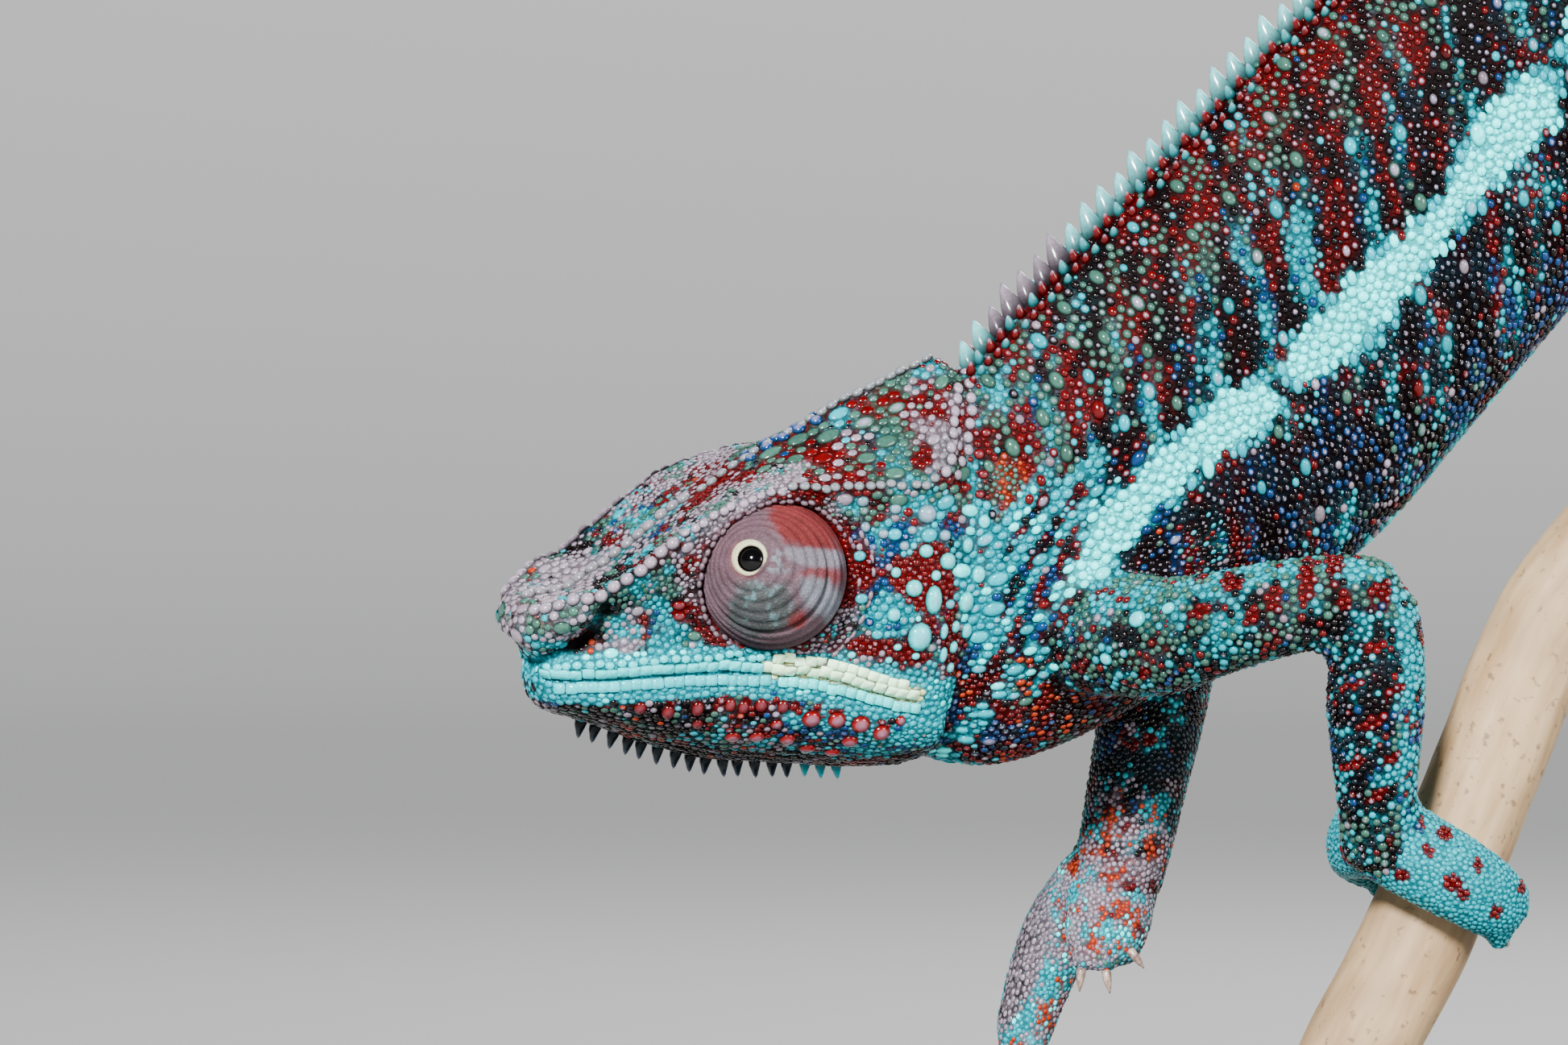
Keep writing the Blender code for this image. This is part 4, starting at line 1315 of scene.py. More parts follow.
@dataclass
class Places(Rows):
    """Where surveyed points are on the body, with both flanks read as the left one."""

    survey: Survey
    part: Array
    side: Array  # 1 on the left, -1 on the right
    x: Array  # the matching place on the left flank
    z: Array
    down: Array  # on the neck and trunk, 0 at the back and 1 at the belly
    uwh: Array  # on the head and jaw
    run: Array  # along the body from the neck
    rise: Array  # above the stripe of the flank, across it
    field: Array  # where the noise is read
    inner: Array  # on limbs, 1 on the side that faces the body

    @property
    def u(self) -> Array:
        """How far back on the head."""
        return self.uwh[:, 0]

    @property
    def h(self) -> Array:
        """How high on the head."""
        return self.uwh[:, 2]

    @property
    def lip(self) -> Array:
        """Height above the mouth's line, on the head and jaw."""
        return self.h - HeadShape().value(LIP, np.clip(self.u, *LIP_ENDS))

    def on(self, *parts: Part) -> Array:
        """One on the given parts of the body."""
        return np.isin(self.part, [p.value for p in parts]).astype(float)

    def spot(self, x: float, z: float, wide: float, high: float, turn: float = 0.0) -> Array:
        """One inside an oval on the flank, with a soft edge.

        Args:
            x: its centre.
            z: its centre.
            wide: half its width.
            high: half its height.
            turn: how far it is turned, in degrees.

        Returns:
            The mask.
        """
        return ramp(oval(self.x / DRAWN - x, self.z / DRAWN - z, wide, high, turn), 1.12, 0.88)


@dataclass(frozen=True)
class Stripe:
    """The pale stripe of the flank, in blobs."""

    # x, z and half-width
    knots: tuple = (
        (24.6, -16.0, 0.5), (26.8, -12.6, 0.7), (28.0, -9.6, 1.0), (30.8, -6.0, 1.6), (34.7, 0.0, 2.7),
        (38.3, 3.4, 2.5), (41.6, 6.5, 2.2), (45.5, 9.4, 2.6), (48.6, 12.0, 3.0), (50.6, 13.0, 2.5),
        (51.7, 13.9, 0.9), (52.5, 14.9, 0.7), (53.6, 15.6, 2.0), (55.4, 17.2, 2.6), (59.4, 20.8, 3.2),
        (62.4, 24.8, 3.2), (66.3, 28.4, 2.4), (69.7, 32.6, 1.7), (73.2, 37.6, 2.7), (76.2, 41.6, 3.4),
        (79.2, 44.6, 3.0), (80.4, 46.4, 1.3), (81.6, 48.4, 0.8), (83.4, 50.6, 1.6), (86.6, 54.2, 3.0),
        (90.0, 58.6, 3.2), (93.4, 62.4, 2.2), (96.0, 65.4, 0.8), (99.6, 69.0, 2.4), (103.6, 73.0, 2.8),
        (107.0, 76.6, 1.6), (110.4, 79.6, 0.7), (114.4, 82.8, 1.8), (119.0, 85.4, 1.5), (124.0, 87.0, 0.4),
    )

    def read(self, x: Array, z: Array) -> tuple[Array, Array, Array]:
        """Measures places on the flank against the stripe.

        Args:
            x: places on the flank.
            z: places on the flank.

        Returns:
            The length along the body, the height above the stripe and the stripe's half-width.
        """
        c, s = math.cos(SLANT), math.sin(SLANT)
        kx, kz, half = np.array(self.knots).T
        order = kx * c + kz * s
        run = x * c + z * s
        middle = np.interp(run, order, kz * c - kx * s)
        return run, z * c - x * s - middle, np.interp(run, order, half)


STRIPE = Stripe()
COLUMN_NOISE = Noise(SEED + 90)


def places_of(survey: Survey, flesh: Flesh) -> Places:
    """Works out the places of surveyed points.

    Args:
        survey: the points on the forms.
        flesh: the forms.

    Returns:
        Their places on the body.
    """
    part = flesh.parts[survey.form]
    points, normals = survey.points, survey.normals
    sides = np.array([form.side for form in flesh.forms])[survey.form]
    uwh = flesh.head.read(points)
    head = np.isin(part, (Part.HEAD.value, Part.JAW.value))
    trunk = part == Part.AXIS.value
    turn = 2 * math.pi * survey.around
    lateral = np.where(trunk, np.sin(turn), 0)
    side = np.where(head, np.sign(uwh[:, 1]), np.where(trunk, np.sign(lateral), sides))
    side = np.where(side == 0, 1.0, side)
    x, z = points[:, 0].copy(), points[:, 2].copy()
    mirrored = flesh.head.place(uwh * (1, 0, 1) + np.column_stack([0 * x, abs(uwh[:, 1]), 0 * x]))
    x[head], z[head] = mirrored[head, 0], mirrored[head, 2]
    x[trunk], _, z[trunk] = flesh.axis.place(survey.along[trunk], np.arccos(np.cos(turn[trunk]))).T
    run, rise, _ = STRIPE.read(x, z)
    c, s = math.cos(STREAK), math.sin(STREAK)
    field_trunk = np.column_stack([(x * c + z * s) / 2.6, (x * s - z * c) * 1.4, 9.0 * lateral + 11.0])
    field = np.where(trunk[:, None], field_trunk, np.where(head[:, None], uwh * (0.9, 1, 1), points + 31.0))
    inner = ramp(sides * normals[:, 1], -0.25, 0.45)
    down = np.where(trunk, (1 - np.cos(turn)) / 2, 0.5)
    return Places(survey, part, side, x, z, down, uwh, run, rise, field, inner)


@dataclass(frozen=True)
class Region:
    """A region on some parts of the body, laid over the ones before it."""

    name: str
    parts: tuple
    where: Callable[[Places], Array]
    shares: tuple  # in percent, in the order of PIGMENT_NAMES
    radius: float  # of its beads
    stretch: float = 1.0  # along the lie
    height: float = 0.6  # as a share of the radius
    knobs: float = 0.0  # share of places where a bigger scale may grow
    tone: float = 0.0
    tips: float = 0.25  # how many beads have pale tips, which are partly painted highlight
    clump: float = 1.0  # how much the colours gather in patches


def everywhere(p: Places) -> Array:
    """One on the whole of the region's parts."""
    return np.ones(len(p.x))


def eye_distance(p: Places) -> Array:
    """Distance from the eye's seat over the head's side."""
    u, _, h = EYES[0].seat
    return np.hypot(p.u - u, p.h - h)


# height over the stripe, half-width, and start and end along the body
FAN_ROWS = ((3.9, 0.62, 0, 24), (6.5, 0.8, 2, 28), (9.3, 0.95, 1, 22), (11.8, 0.6, 2, 17), (-2.4, 0.5, 1, 15))


def fan(p: Places) -> Array:
    """The rows of pale scales that run back from the jaw, beside the stripe."""
    rows = sum(
        ramp(bump(p.rise, over, wide), 0.2, 0.6) * ramp(p.run, start, start + 2.5) * ramp(p.run, end, end - 3)
        for over, wide, start, end in FAN_ROWS
    )
    return np.clip(rows, 0, 1)


def stripe_core(p: Places, grow: float = 0.0, soft: float = 0.5) -> Array:
    """One in the stripe of the flank, grown by so many millimetres."""
    half = STRIPE.read(p.x, p.z)[2]
    half = half + grow + 0.24 * half * COLUMN_NOISE(p.field + 90.0, 1.6)
    return ramp(abs(p.rise), half + soft, half - soft)


def column(p: Places, phase: float) -> Array:
    """One in the uneven columns that cross the flank.

    Args:
        p: the places.
        phase: how far the columns are moved, in radians.

    Returns:
        The mask.
    """
    across = p.x * math.sin(STREAK) - p.z * math.cos(STREAK)
    wobble = 1.6 * COLUMN_NOISE(p.field, 5.0)
    broken = COLUMN_NOISE(p.field + 50.0, 3.6)
    return ramp(np.cos(across * 2 * math.pi / 6.6 + wobble + phase), 0.25, 0.75) * ramp(broken, -0.35, 0.0)


def under_nose(p: Places) -> Array:
    """One along the crease under the nose.

    Args:
        p: the places.

    Returns:
        The mask.
    """
    made = np.zeros(len(p.x))
    rows = np.flatnonzero((p.on(Part.HEAD) > 0) & (p.x < -16))
    line = path(NOSE_CREASE, np.linspace(0, len(NOSE_CREASE) - 1, 40))
    away = [np.hypot(p.x[rows] / DRAWN - x, p.z[rows] / DRAWN - z) for x, z in line]
    made[rows] = ramp(np.min(away, axis=0), 1.0, 0.6)
    return made


def upward(p: Places, low: float, high: float) -> Array:
    """Rises from 0 to 1 as the skin turns to face up."""
    return ramp(p.survey.normals[:, 2], low, high)


def forward(p: Places, low: float, high: float) -> Array:
    """Rises from 0 to 1 as the skin turns to face the way the animal looks."""
    return ramp(-p.survey.normals[:, 0], low, high)


# x, z, half-length, half-height and turn of the red patches
ARM_PATCHES = (
    (54.6, -6.2, 0.9, 2.6, -8), (51.0, -8.0, 0.8, 1.7, -20), (47.0, -6.2, 1.1, 1.0, 0),
    (57.6, -4.2, 1.0, 1.2, 0), (49.0, -9.8, 0.8, 1.0, -20), (43.5, -9.4, 1.4, 0.8, 20),
    (58.5, -8.2, 0.8, 1.0, 0), (62.3, -6.9, 1.1, 1.0, 0), (61.5, -13.0, 1.7, 0.6, 30),
    (63.6, -17.6, 1.4, 0.6, 35), (59.2, -17.0, 1.3, 0.5, 30), (61.2, -21.0, 1.6, 0.6, 30),
    (63.6, -24.6, 1.2, 0.6, 35), (59.6, -25.2, 1.4, 0.5, 25), (62.0, -28.6, 1.4, 0.5, 30),
    (38.0, -16.0, 1.0, 0.6, 30), (36.6, -21.5, 1.2, 0.7, 20), (40.5, -24.0, 0.8, 0.9, 0),
)
FOOT_SPOTS = (
    (66.7, -31.5, 0.7, 0.8, 0), (69.5, -32.6, 0.8, 0.7, 0), (63.5, -34.0, 0.9, 0.7, 0),
    (62.3, -36.0, 0.7, 0.6, 0), (65.0, -37.0, 0.8, 0.8, 0), (67.6, -34.4, 0.6, 0.8, 0),
    (70.3, -37.8, 1.2, 0.9, -35), (71.4, -39.0, 0.7, 0.7, 0), (72.8, -36.0, 0.7, 0.7, 0),
    (75.0, -41.0, 0.7, 0.7, 0), (78.0, -38.5, 0.5, 0.8, 0),
)
SPOT_NOISE = Noise(SEED + 91)


def dots(p: Places, each: tuple) -> Array:
    """One on a few named patches of the near limbs.

    Args:
        p: the places.
        each: the patches' x, z, half-length, half-height and turn.

    Returns:
        The mask.
    """
    near = np.flatnonzero((p.x > 30) & (p.x < 82) & (p.z < 0))
    some = p[near]
    made = np.zeros(len(p.x))
    made[near] = np.max([some.spot(*one) for one in each], axis=0)
    return made


AXIS, HEAD, JAW = (Part.AXIS,), (Part.HEAD,), (Part.JAW,)
TAIL, LIMB, FOOT, FRONT = (Part.TAIL,), (Part.LIMB,), (Part.FOOT,), (Part.HEAD, Part.AXIS)
PIGMENT_NAMES = ("Ground", "Moss", "Azure", "Aqua", "Lilac", "Amber", "Blood", "Cream", "Straw", "Slate")
# Each line: name, parts and mask, then shares in percent, radius, stretch, height, knobs, tone, tips, clump
REGIONS = (
    Region("above the stripe", AXIS, everywhere,
           (35, 5, 10, 9, 2, 0, 19, 0, 0, 20), .45, 1.15, .75, .02, -.45, .35, .8),
    Region("turquoise columns", AXIS, lambda p: column(p, .0) * ramp(p.down, .06, .18),
           (10, 10, 16, 46, 2, 0, 3, 0, 0, 13), .47, 1.15, .75, .06, -.15, .2, .8),
    Region("red columns", AXIS, lambda p: column(p, math.pi) * ramp(p.down, .04, .12),
           (41, 2, 4, 2, 1, 0, 45, 0, 0, 5), .46, 1.2, .75, .01, -.3, .3, .8),
    Region("near the back", AXIS, lambda p: ramp(p.down, .32, .14),
           (27, 34, 3, 7, 2, 2, 25, 0, 0, 0), .48, 1.2, .8, .03, -.2, .35, .8),
    Region("front of the back", AXIS, lambda p: ramp(p.down, .4, .3) * ramp(p.run, 42, 34),
           (20, 30, 5, 16, 5, 3, 21, 0, 0, 0), .50, 1.15, .75, .09, -.05, .3),
    Region("below the stripe", AXIS, lambda p: ramp(p.rise, 0, -2.5),
           (28, 2, 13, 10, 3, 0, 14, 0, 0, 30), .42, 1.25, .75, .02, -.2, .4),
    Region("towards the belly", AXIS, lambda p: ramp(p.rise, -5.5, -9.5) * ramp(p.run, 28, 38),
           (27, 2, 20, 12, 4, 0, 14, 0, 0, 21), .42, 1.35, .7, .02, -.2, .25),
    Region("belly edge", AXIS, lambda p: ramp(p.down, .80, .9) * ramp(p.run, 30, 42),
           (22, 4, 24, 20, 6, 0, 10, 0, 0, 14), .40, 1.35, .7, .0, -.1, .3),
    Region("middle of the belly", AXIS, lambda p: ramp(p.down, .975, .99),
           (0, 10, 10, 50, 10, 0, 0, 20, 0, 0), .42, 1.2, .6, .0),
    Region("neck", AXIS, lambda p: ramp(p.run, 31, 22) * ramp(p.rise, -3, 1) * ramp(p.down, .34, .46),
           (24, 3, 27, 10, 2, 2, 24, 0, 0, 8), .38, 1.25, .65, .01, -.1, .3, 1.0),
    Region("throat of the neck", AXIS, lambda p: np.maximum(ramp(p.rise, -2.6, -4.6)
           * ramp(p.run, 30, 20), p.spot(24.6, -18.0, 5.6, 3.8, -12)),
           (32, 8, 8, 5, 5, 18, 23, 0, 0, 1), .34, 1.35, .6, .01, -.1, .2, .7),
    Region("armpit", AXIS, lambda p: p.spot(46.5, -2.8, 7.0, 3.8, 38),
           (38, 2, 24, 5, 2, 0, 14, 0, 0, 15), .27, 1.5, .5, .0, -.2, .3),
    Region("under the armpit", AXIS, lambda p: p.spot(39.0, -7.0, 6.0, 3.0, 45),
           (42, 2, 14, 4, 2, 0, 18, 0, 0, 18), .34, 1.3, .6, .01, -.2, .5),
    Region("amber patch", FRONT, lambda p: p.spot(23.8, 3.6, 2.9, 3.9, -20),
           (5, 22, 0, 4, 0, 45, 24, 0, 0, 0), .32, 1.0, .6, .0),
    Region("red nape", FRONT, lambda p: p.spot(21.2, 8.6, 1.5, 7.5, -12),
           (5, 20, 0, 22, 6, 8, 39, 0, 0, 0), .42, 1.1, .6, .12),
    Region("fan rows", AXIS, fan,
           (1, 0, 4, 63, 0, 0, 2, 30, 0, 0), .52, 1.3, .65, .0, .1, .1, .3),
    Region("rim of the stripe", AXIS, lambda p: stripe_core(p, .7) * (.55 + .45 * np.sin(p.run * 2.1)),
           (0, 0, 4, 54, 0, 0, 2, 40, 0, 0), .56, 1.8, .6, .0, .2, .0, .3),
    Region("stripe", AXIS, lambda p: stripe_core(p, -.3) * ramp(STRIPE.read(p.x, p.z)[2], .9, 1.9),
           (0, 0, 0, 4, 0, 0, 0, 96, 0, 0), .60, 1.05, .6, .0, .35, .0, .3),
    Region("head", HEAD, everywhere,
           (8, 26, 5, 16, 30, 0, 15, 0, 0, 0), .40, 1.1, .4, .04, -.05),
    Region("casque", HEAD, lambda p: ramp(p.u, 24, 28) * ramp(p.h, 20.5, 22.5),
           (5, 44, 4, 8, 20, 0, 19, 0, 0, 0), .50, 1.45, .3, .12, .0, .1, .8),
    Region("back of the casque", HEAD, lambda p: ramp(p.u, 41, 44) * ramp(p.h, 22.5, 24.5),
           (2, 22, 0, 10, 54, 0, 12, 0, 0, 0), .44, 1.2, .35, .05, -.05, .1),
    Region("top of the snout", HEAD, lambda p: ramp(p.u, 24, 20),
           (6, 24, 5, 20, 37, 0, 8, 0, 0, 0), .38, 1.1, .4, .03, .05),
    Region("nose", HEAD, lambda p: ramp(p.u, 13, 10) * ramp(p.lip, 2.5, 4),
           (2, 14, 0, 5, 74, 4, 1, 0, 0, 0), .52, 1.0, .36, .12, .25, .05),
    # painted shade: dark ground in the crease under the nose
    Region("crease under the nose", HEAD, under_nose,
           (45, 0, 0, 0, 40, 15, 0, 0, 0, 0), .25, 1.0, .4, .0, -.55, .0),
    Region("side of the snout", HEAD, lambda p: p.spot(-14.0, -8.5, 6.5, 5.2, 20),
           (22, 36, 4, 15, 12, 2, 9, 0, 0, 0), .38, 1.0, .4, .02, -.15, .1),
    Region("teal before the eye", HEAD, lambda p: p.spot(-12.0, -11.6, 2.3, 2.2),
           (8, 10, 12, 66, 0, 0, 4, 0, 0, 0), .42, 1.0, .4, .0, -.2),
    Region("beads behind the nose", HEAD, lambda p: p.spot(-16.8, -11.6, 1.8, 2.6),
           (2, 10, 4, 32, 52, 0, 0, 0, 0, 0), .42, 1.0, .45, .0, .0),
    Region("red square", HEAD, lambda p: p.spot(-11.0, -9.3, .85, 1.1),
           (0, 0, 0, 0, 0, 0, 100, 0, 0, 0), .42, 1.0, .3, .0, -.1, .0, .0),
    Region("round the eye", HEAD, lambda p: ramp(eye_distance(p), 11.0, 9.6),
           (10, 8, 2, 3, 52, 3, 22, 0, 0, 0), .24, 1.6, .35, .0, .0, .0),
    Region("ridge over the eye", HEAD, lambda p: p.spot(-4.5, 2.6, 8.5, 1.5, 28),
           (2, 10, 0, 4, 82, 0, 2, 0, 0, 0), .30, 1.0, .3, .0, .35, .05),
    Region("cheek", HEAD, lambda p: p.spot(13.3, -4.2, 6.4, 9.0),
           (6, 2, 20, 31, 6, 0, 30, 5, 0, 0), .42, 1.0, .5, .05, .05),
    Region("green over the cheek", HEAD, lambda p: p.spot(12.5, 1.7, 6.5, 1.6),
           (3, 40, 4, 22, 20, 0, 11, 0, 0, 0), .5, 1.2, .4, .1),
    Region("blue above the cheek", HEAD, lambda p: p.spot(13.0, -1.7, 5.6, 1.9),
           (3, 3, 40, 44, 6, 0, 4, 0, 0, 0), .5, 1.0, .45, .05, .25),
    Region("red patch", HEAD, lambda p: np.maximum(p.spot(15.2, -6.0, 4.2, 3.2), p.spot(15.6, -3.2, 2.0,
           1.3)),
           (0, 0, 0, 4, 5, 0, 91, 0, 0, 0), .40, 1.0, .3, .0, .0, .25, .5),
    Region("red beside the eye", HEAD, lambda p: p.spot(8.4, -5.4, 1.6, 1.5),
           (0, 0, 0, 0, 14, 0, 86, 0, 0, 0), .36, 1.0, .4, .0, .0, .2, .4),
    Region("blue behind the eye", HEAD, lambda p: p.spot(11.2, -9.8, 2.7, 2.2),
           (2, 0, 26, 66, 0, 0, 4, 2, 0, 0), .5, 1.0, .4, .0, -.1),
    Region("red band", HEAD, lambda p: np.maximum(p.spot(11.2, -13.6, 4.9, 1.25, -12), p.spot(17.9, -13.2,
           .9, 4.0)),
           (3, 0, 3, 4, 6, 0, 84, 0, 0, 0), .40, 1.0, .35, .0, .0, .2, .5),
    Region("behind the jaw", FRONT, lambda p: p.spot(20.6, -5.8, 2.4, 8.0, 2),
           (2, 0, 9, 58, 2, 0, 9, 20, 0, 0), .52, 1.3, .5, .08, .1),
    Region("jaw", JAW, everywhere,
           (10, 20, 10, 32, 12, 4, 12, 0, 0, 0), .40, 1.2, .42, .0, -.1),
    Region("chin", JAW, lambda p: ramp(p.u, 25, 16),
           (46, 14, 2, 4, 20, 7, 7, 0, 0, 0), .42, 1.2, .4, .0, -.3),
    Region("red row of the jaw", JAW, lambda p: bump(p.lip, -3.3, .9) * ramp(p.u, 13, 17)
           * ramp(np.sin(p.u * 2.3), -.3, .3) * ramp(p.u, 42, 39),
           (2, 0, 3, 6, 14, 0, 75, 0, 0, 0), .46, 1.0, .45, .0, .0, .3, .4),
    Region("blue jaw", JAW, lambda p: ramp(p.u, 31, 36) * ramp(p.lip, -2.2, -3.4),
           (6, 6, 16, 56, 4, 0, 12, 0, 0, 0), .30, 1.5, .45, .0, -.1),
    # painted shade: mostly dark ground on the jaw's underside
    Region("throat of the jaw", JAW, lambda p: ramp(p.h, -6.4, -8.6),
           (66, 4, 4, 3, 6, 5, 12, 0, 0, 0), .32, 1.5, .5, .0, -.3, .1),
    Region("upper lip", HEAD, lambda p: ramp(p.lip, 3.1, 2.4) * ramp(p.u, 2, 4),
           (0, 0, 0, 55, 0, 0, 0, 45, 0, 0), .36, 1.3, .4, .0, .2, .0, .3),
    Region("lower lip", JAW, lambda p: ramp(p.lip, -3.0, -2.4) * ramp(p.u, 3, 5),
           (2, 2, 3, 80, 0, 0, 0, 13, 0, 0), .36, 1.3, .35, .0, .2, .0, .4),
    Region("pale lip", HEAD, lambda p: ramp(p.lip, 2.0, 1.4) * ramp(p.u, 25, 29) * ramp(p.u, 46, 44),
           (0, 0, 0, 0, 0, 0, 0, 8, 92, 0), .36, 1.4, .3, .0, .1, .0, .2),
    Region("tail", TAIL, everywhere,
           (20, 22, 8, 26, 6, 0, 18, 0, 0, 0), .42, 1.15, .5, .05, .0, .3),
    Region("end of the tail", TAIL, lambda p: ramp(p.survey.along, .25, .6),
           (14, 26, 6, 24, 18, 2, 10, 0, 0, 0), .34, 1.15, .4, .0, .0, .2),
    Region("limbs", LIMB, everywhere,
           (16, 36, 4, 20, 3, 0, 12, 0, 0, 9), .50, 1.0, .72, .0, -.2, .15, .6),
    Region("top of the limbs", LIMB, lambda p: upward(p, .25, .7),
           (2, 40, 2, 44, 5, 0, 7, 0, 0, 0), .52, 1.0, .65, .0, .1, .05, .7),
    Region("back of the limbs", LIMB, lambda p: forward(p, -.2, -.6) * upward(p, .5, .2),
           (12, 8, 10, 56, 0, 0, 14, 0, 0, 0), .46, 1.1, .65, .0, .0, .2),
    # darker on the sides of the limbs that face the body: partly their own dark colour, partly painted shade
    Region("inside of the limbs", LIMB, lambda p: p.inner,
           (30, 2, 8, 16, 2, 0, 4, 0, 0, 38), .34, 1.0, .4, .0, -.1, .0, 1.3),
    Region("forearm", LIMB, lambda p: p.spot(60.6, -20.0, 5.4, 11.0, 4) * ramp(p.inner, .4, .1)
           * forward(p, -.5, -.2),
           (32, 4, 10, 27, 0, 0, 6, 0, 0, 21), .44, 1.05, .75, .0, -.2, .3),
    Region("patches of the arm", LIMB, lambda p: dots(p, ARM_PATCHES),
           (4, 0, 0, 0, 0, 0, 96, 0, 0, 0), .44, 1.0, .7, .0, .0, .15, .3),
    Region("feet", FOOT, everywhere,
           (0, 0, 2, 98, 0, 0, 0, 0, 0, 0), .31, 1.15, .42, .0, .0, .0, .6),
    Region("spots of the feet", FOOT, lambda p: (dots(p, FOOT_SPOTS) + ramp(SPOT_NOISE(p.survey.points,
           3.4), .62, .72) * ramp(p.side, 0, -1)),
           (0, 0, 0, 0, 0, 0, 100, 0, 0, 0), .32, 1.15, .42, .0, .0, .0, .0),
    Region("inside of the feet", FOOT, lambda p: p.inner,
           (0, 2, 0, 24, 46, 15, 2, 11, 0, 0), .30, 1.15, .35, .0, .15, .0, .9),
    Region("palm of the open hand", FOOT, lambda p: p.inner * p.spot(26.0, -47.5, 3.2, 9.5, -13),
           (4, 6, 0, 4, 80, 6, 0, 0, 0, 0), .26, 1.5, .3, .0, .05, .0, .4),
    # painted shade: darker stripes across the palm stand in for the shade of its ridges
    Region("ridges of the palm", FOOT, lambda p: p.inner * p.spot(25.6, -48.5, 2.6, 8.0, -13)
           * ramp(np.sin(p.z * 4.4 + p.x * .9), .2, .7),
           (8, 10, 0, 2, 78, 2, 0, 0, 0, 0), .26, 1.5, .2, .0, -.5, .0, .2),
)
LOWER_INSIDE = (1, 0, 0, 10, 72, 12, 5, 0, 0, 0)  # shares on the inside of the lower limbs, in percent
# how much readier each pigment is to colour knobs, and the gaps between beads
KNOB_BIAS = (-4.0, 1.0, -0.6, 0.9, 0.6, -1.0, -1.4, 0.5, 0.0, -4.0)
GAP_BIAS = (1.1, -1.0, -0.2, 0.2, -1.6, -0.3, 0.8, -1.8, -0.8, 0.5)


@dataclass
class Traits:
    """What grows at some places: shares of pigments, and the beads' sizes."""

    shares: Array
    radius: Array
    stretch: Array
    height: Array
    knobs: Array
    tone: Array
    tips: Array
    clump: Array


@dataclass
class Marks(Rows):
    """The share of each pigment at some places, with a tone, a chance and a pale tip for each."""

    shares: Array
    tone: Array
    chance: Array
    # a pale tip, partly painted highlight
    tip: Array


MARKS = {
    "marks_a": ("Moss", "Azure", "Aqua"),
    "marks_b": ("Lilac", "Amber", "Blood"),
    "marks_c": ("Cream", "Straw", "Slate"),
    "marks_d": ("Tone", "Chance", "Tip"),
}
PIGMENT_TONES = (0.0, -0.1, -0.15, -0.05, -0.1, 0.0, -0.15, 0.1, 0.1, -0.1)


def pigment_share(**percent: float) -> Array:
    """The share of each pigment, from percents by name."""
    return np.array([percent.get(name, 0) / 100 for name in PIGMENT_NAMES])


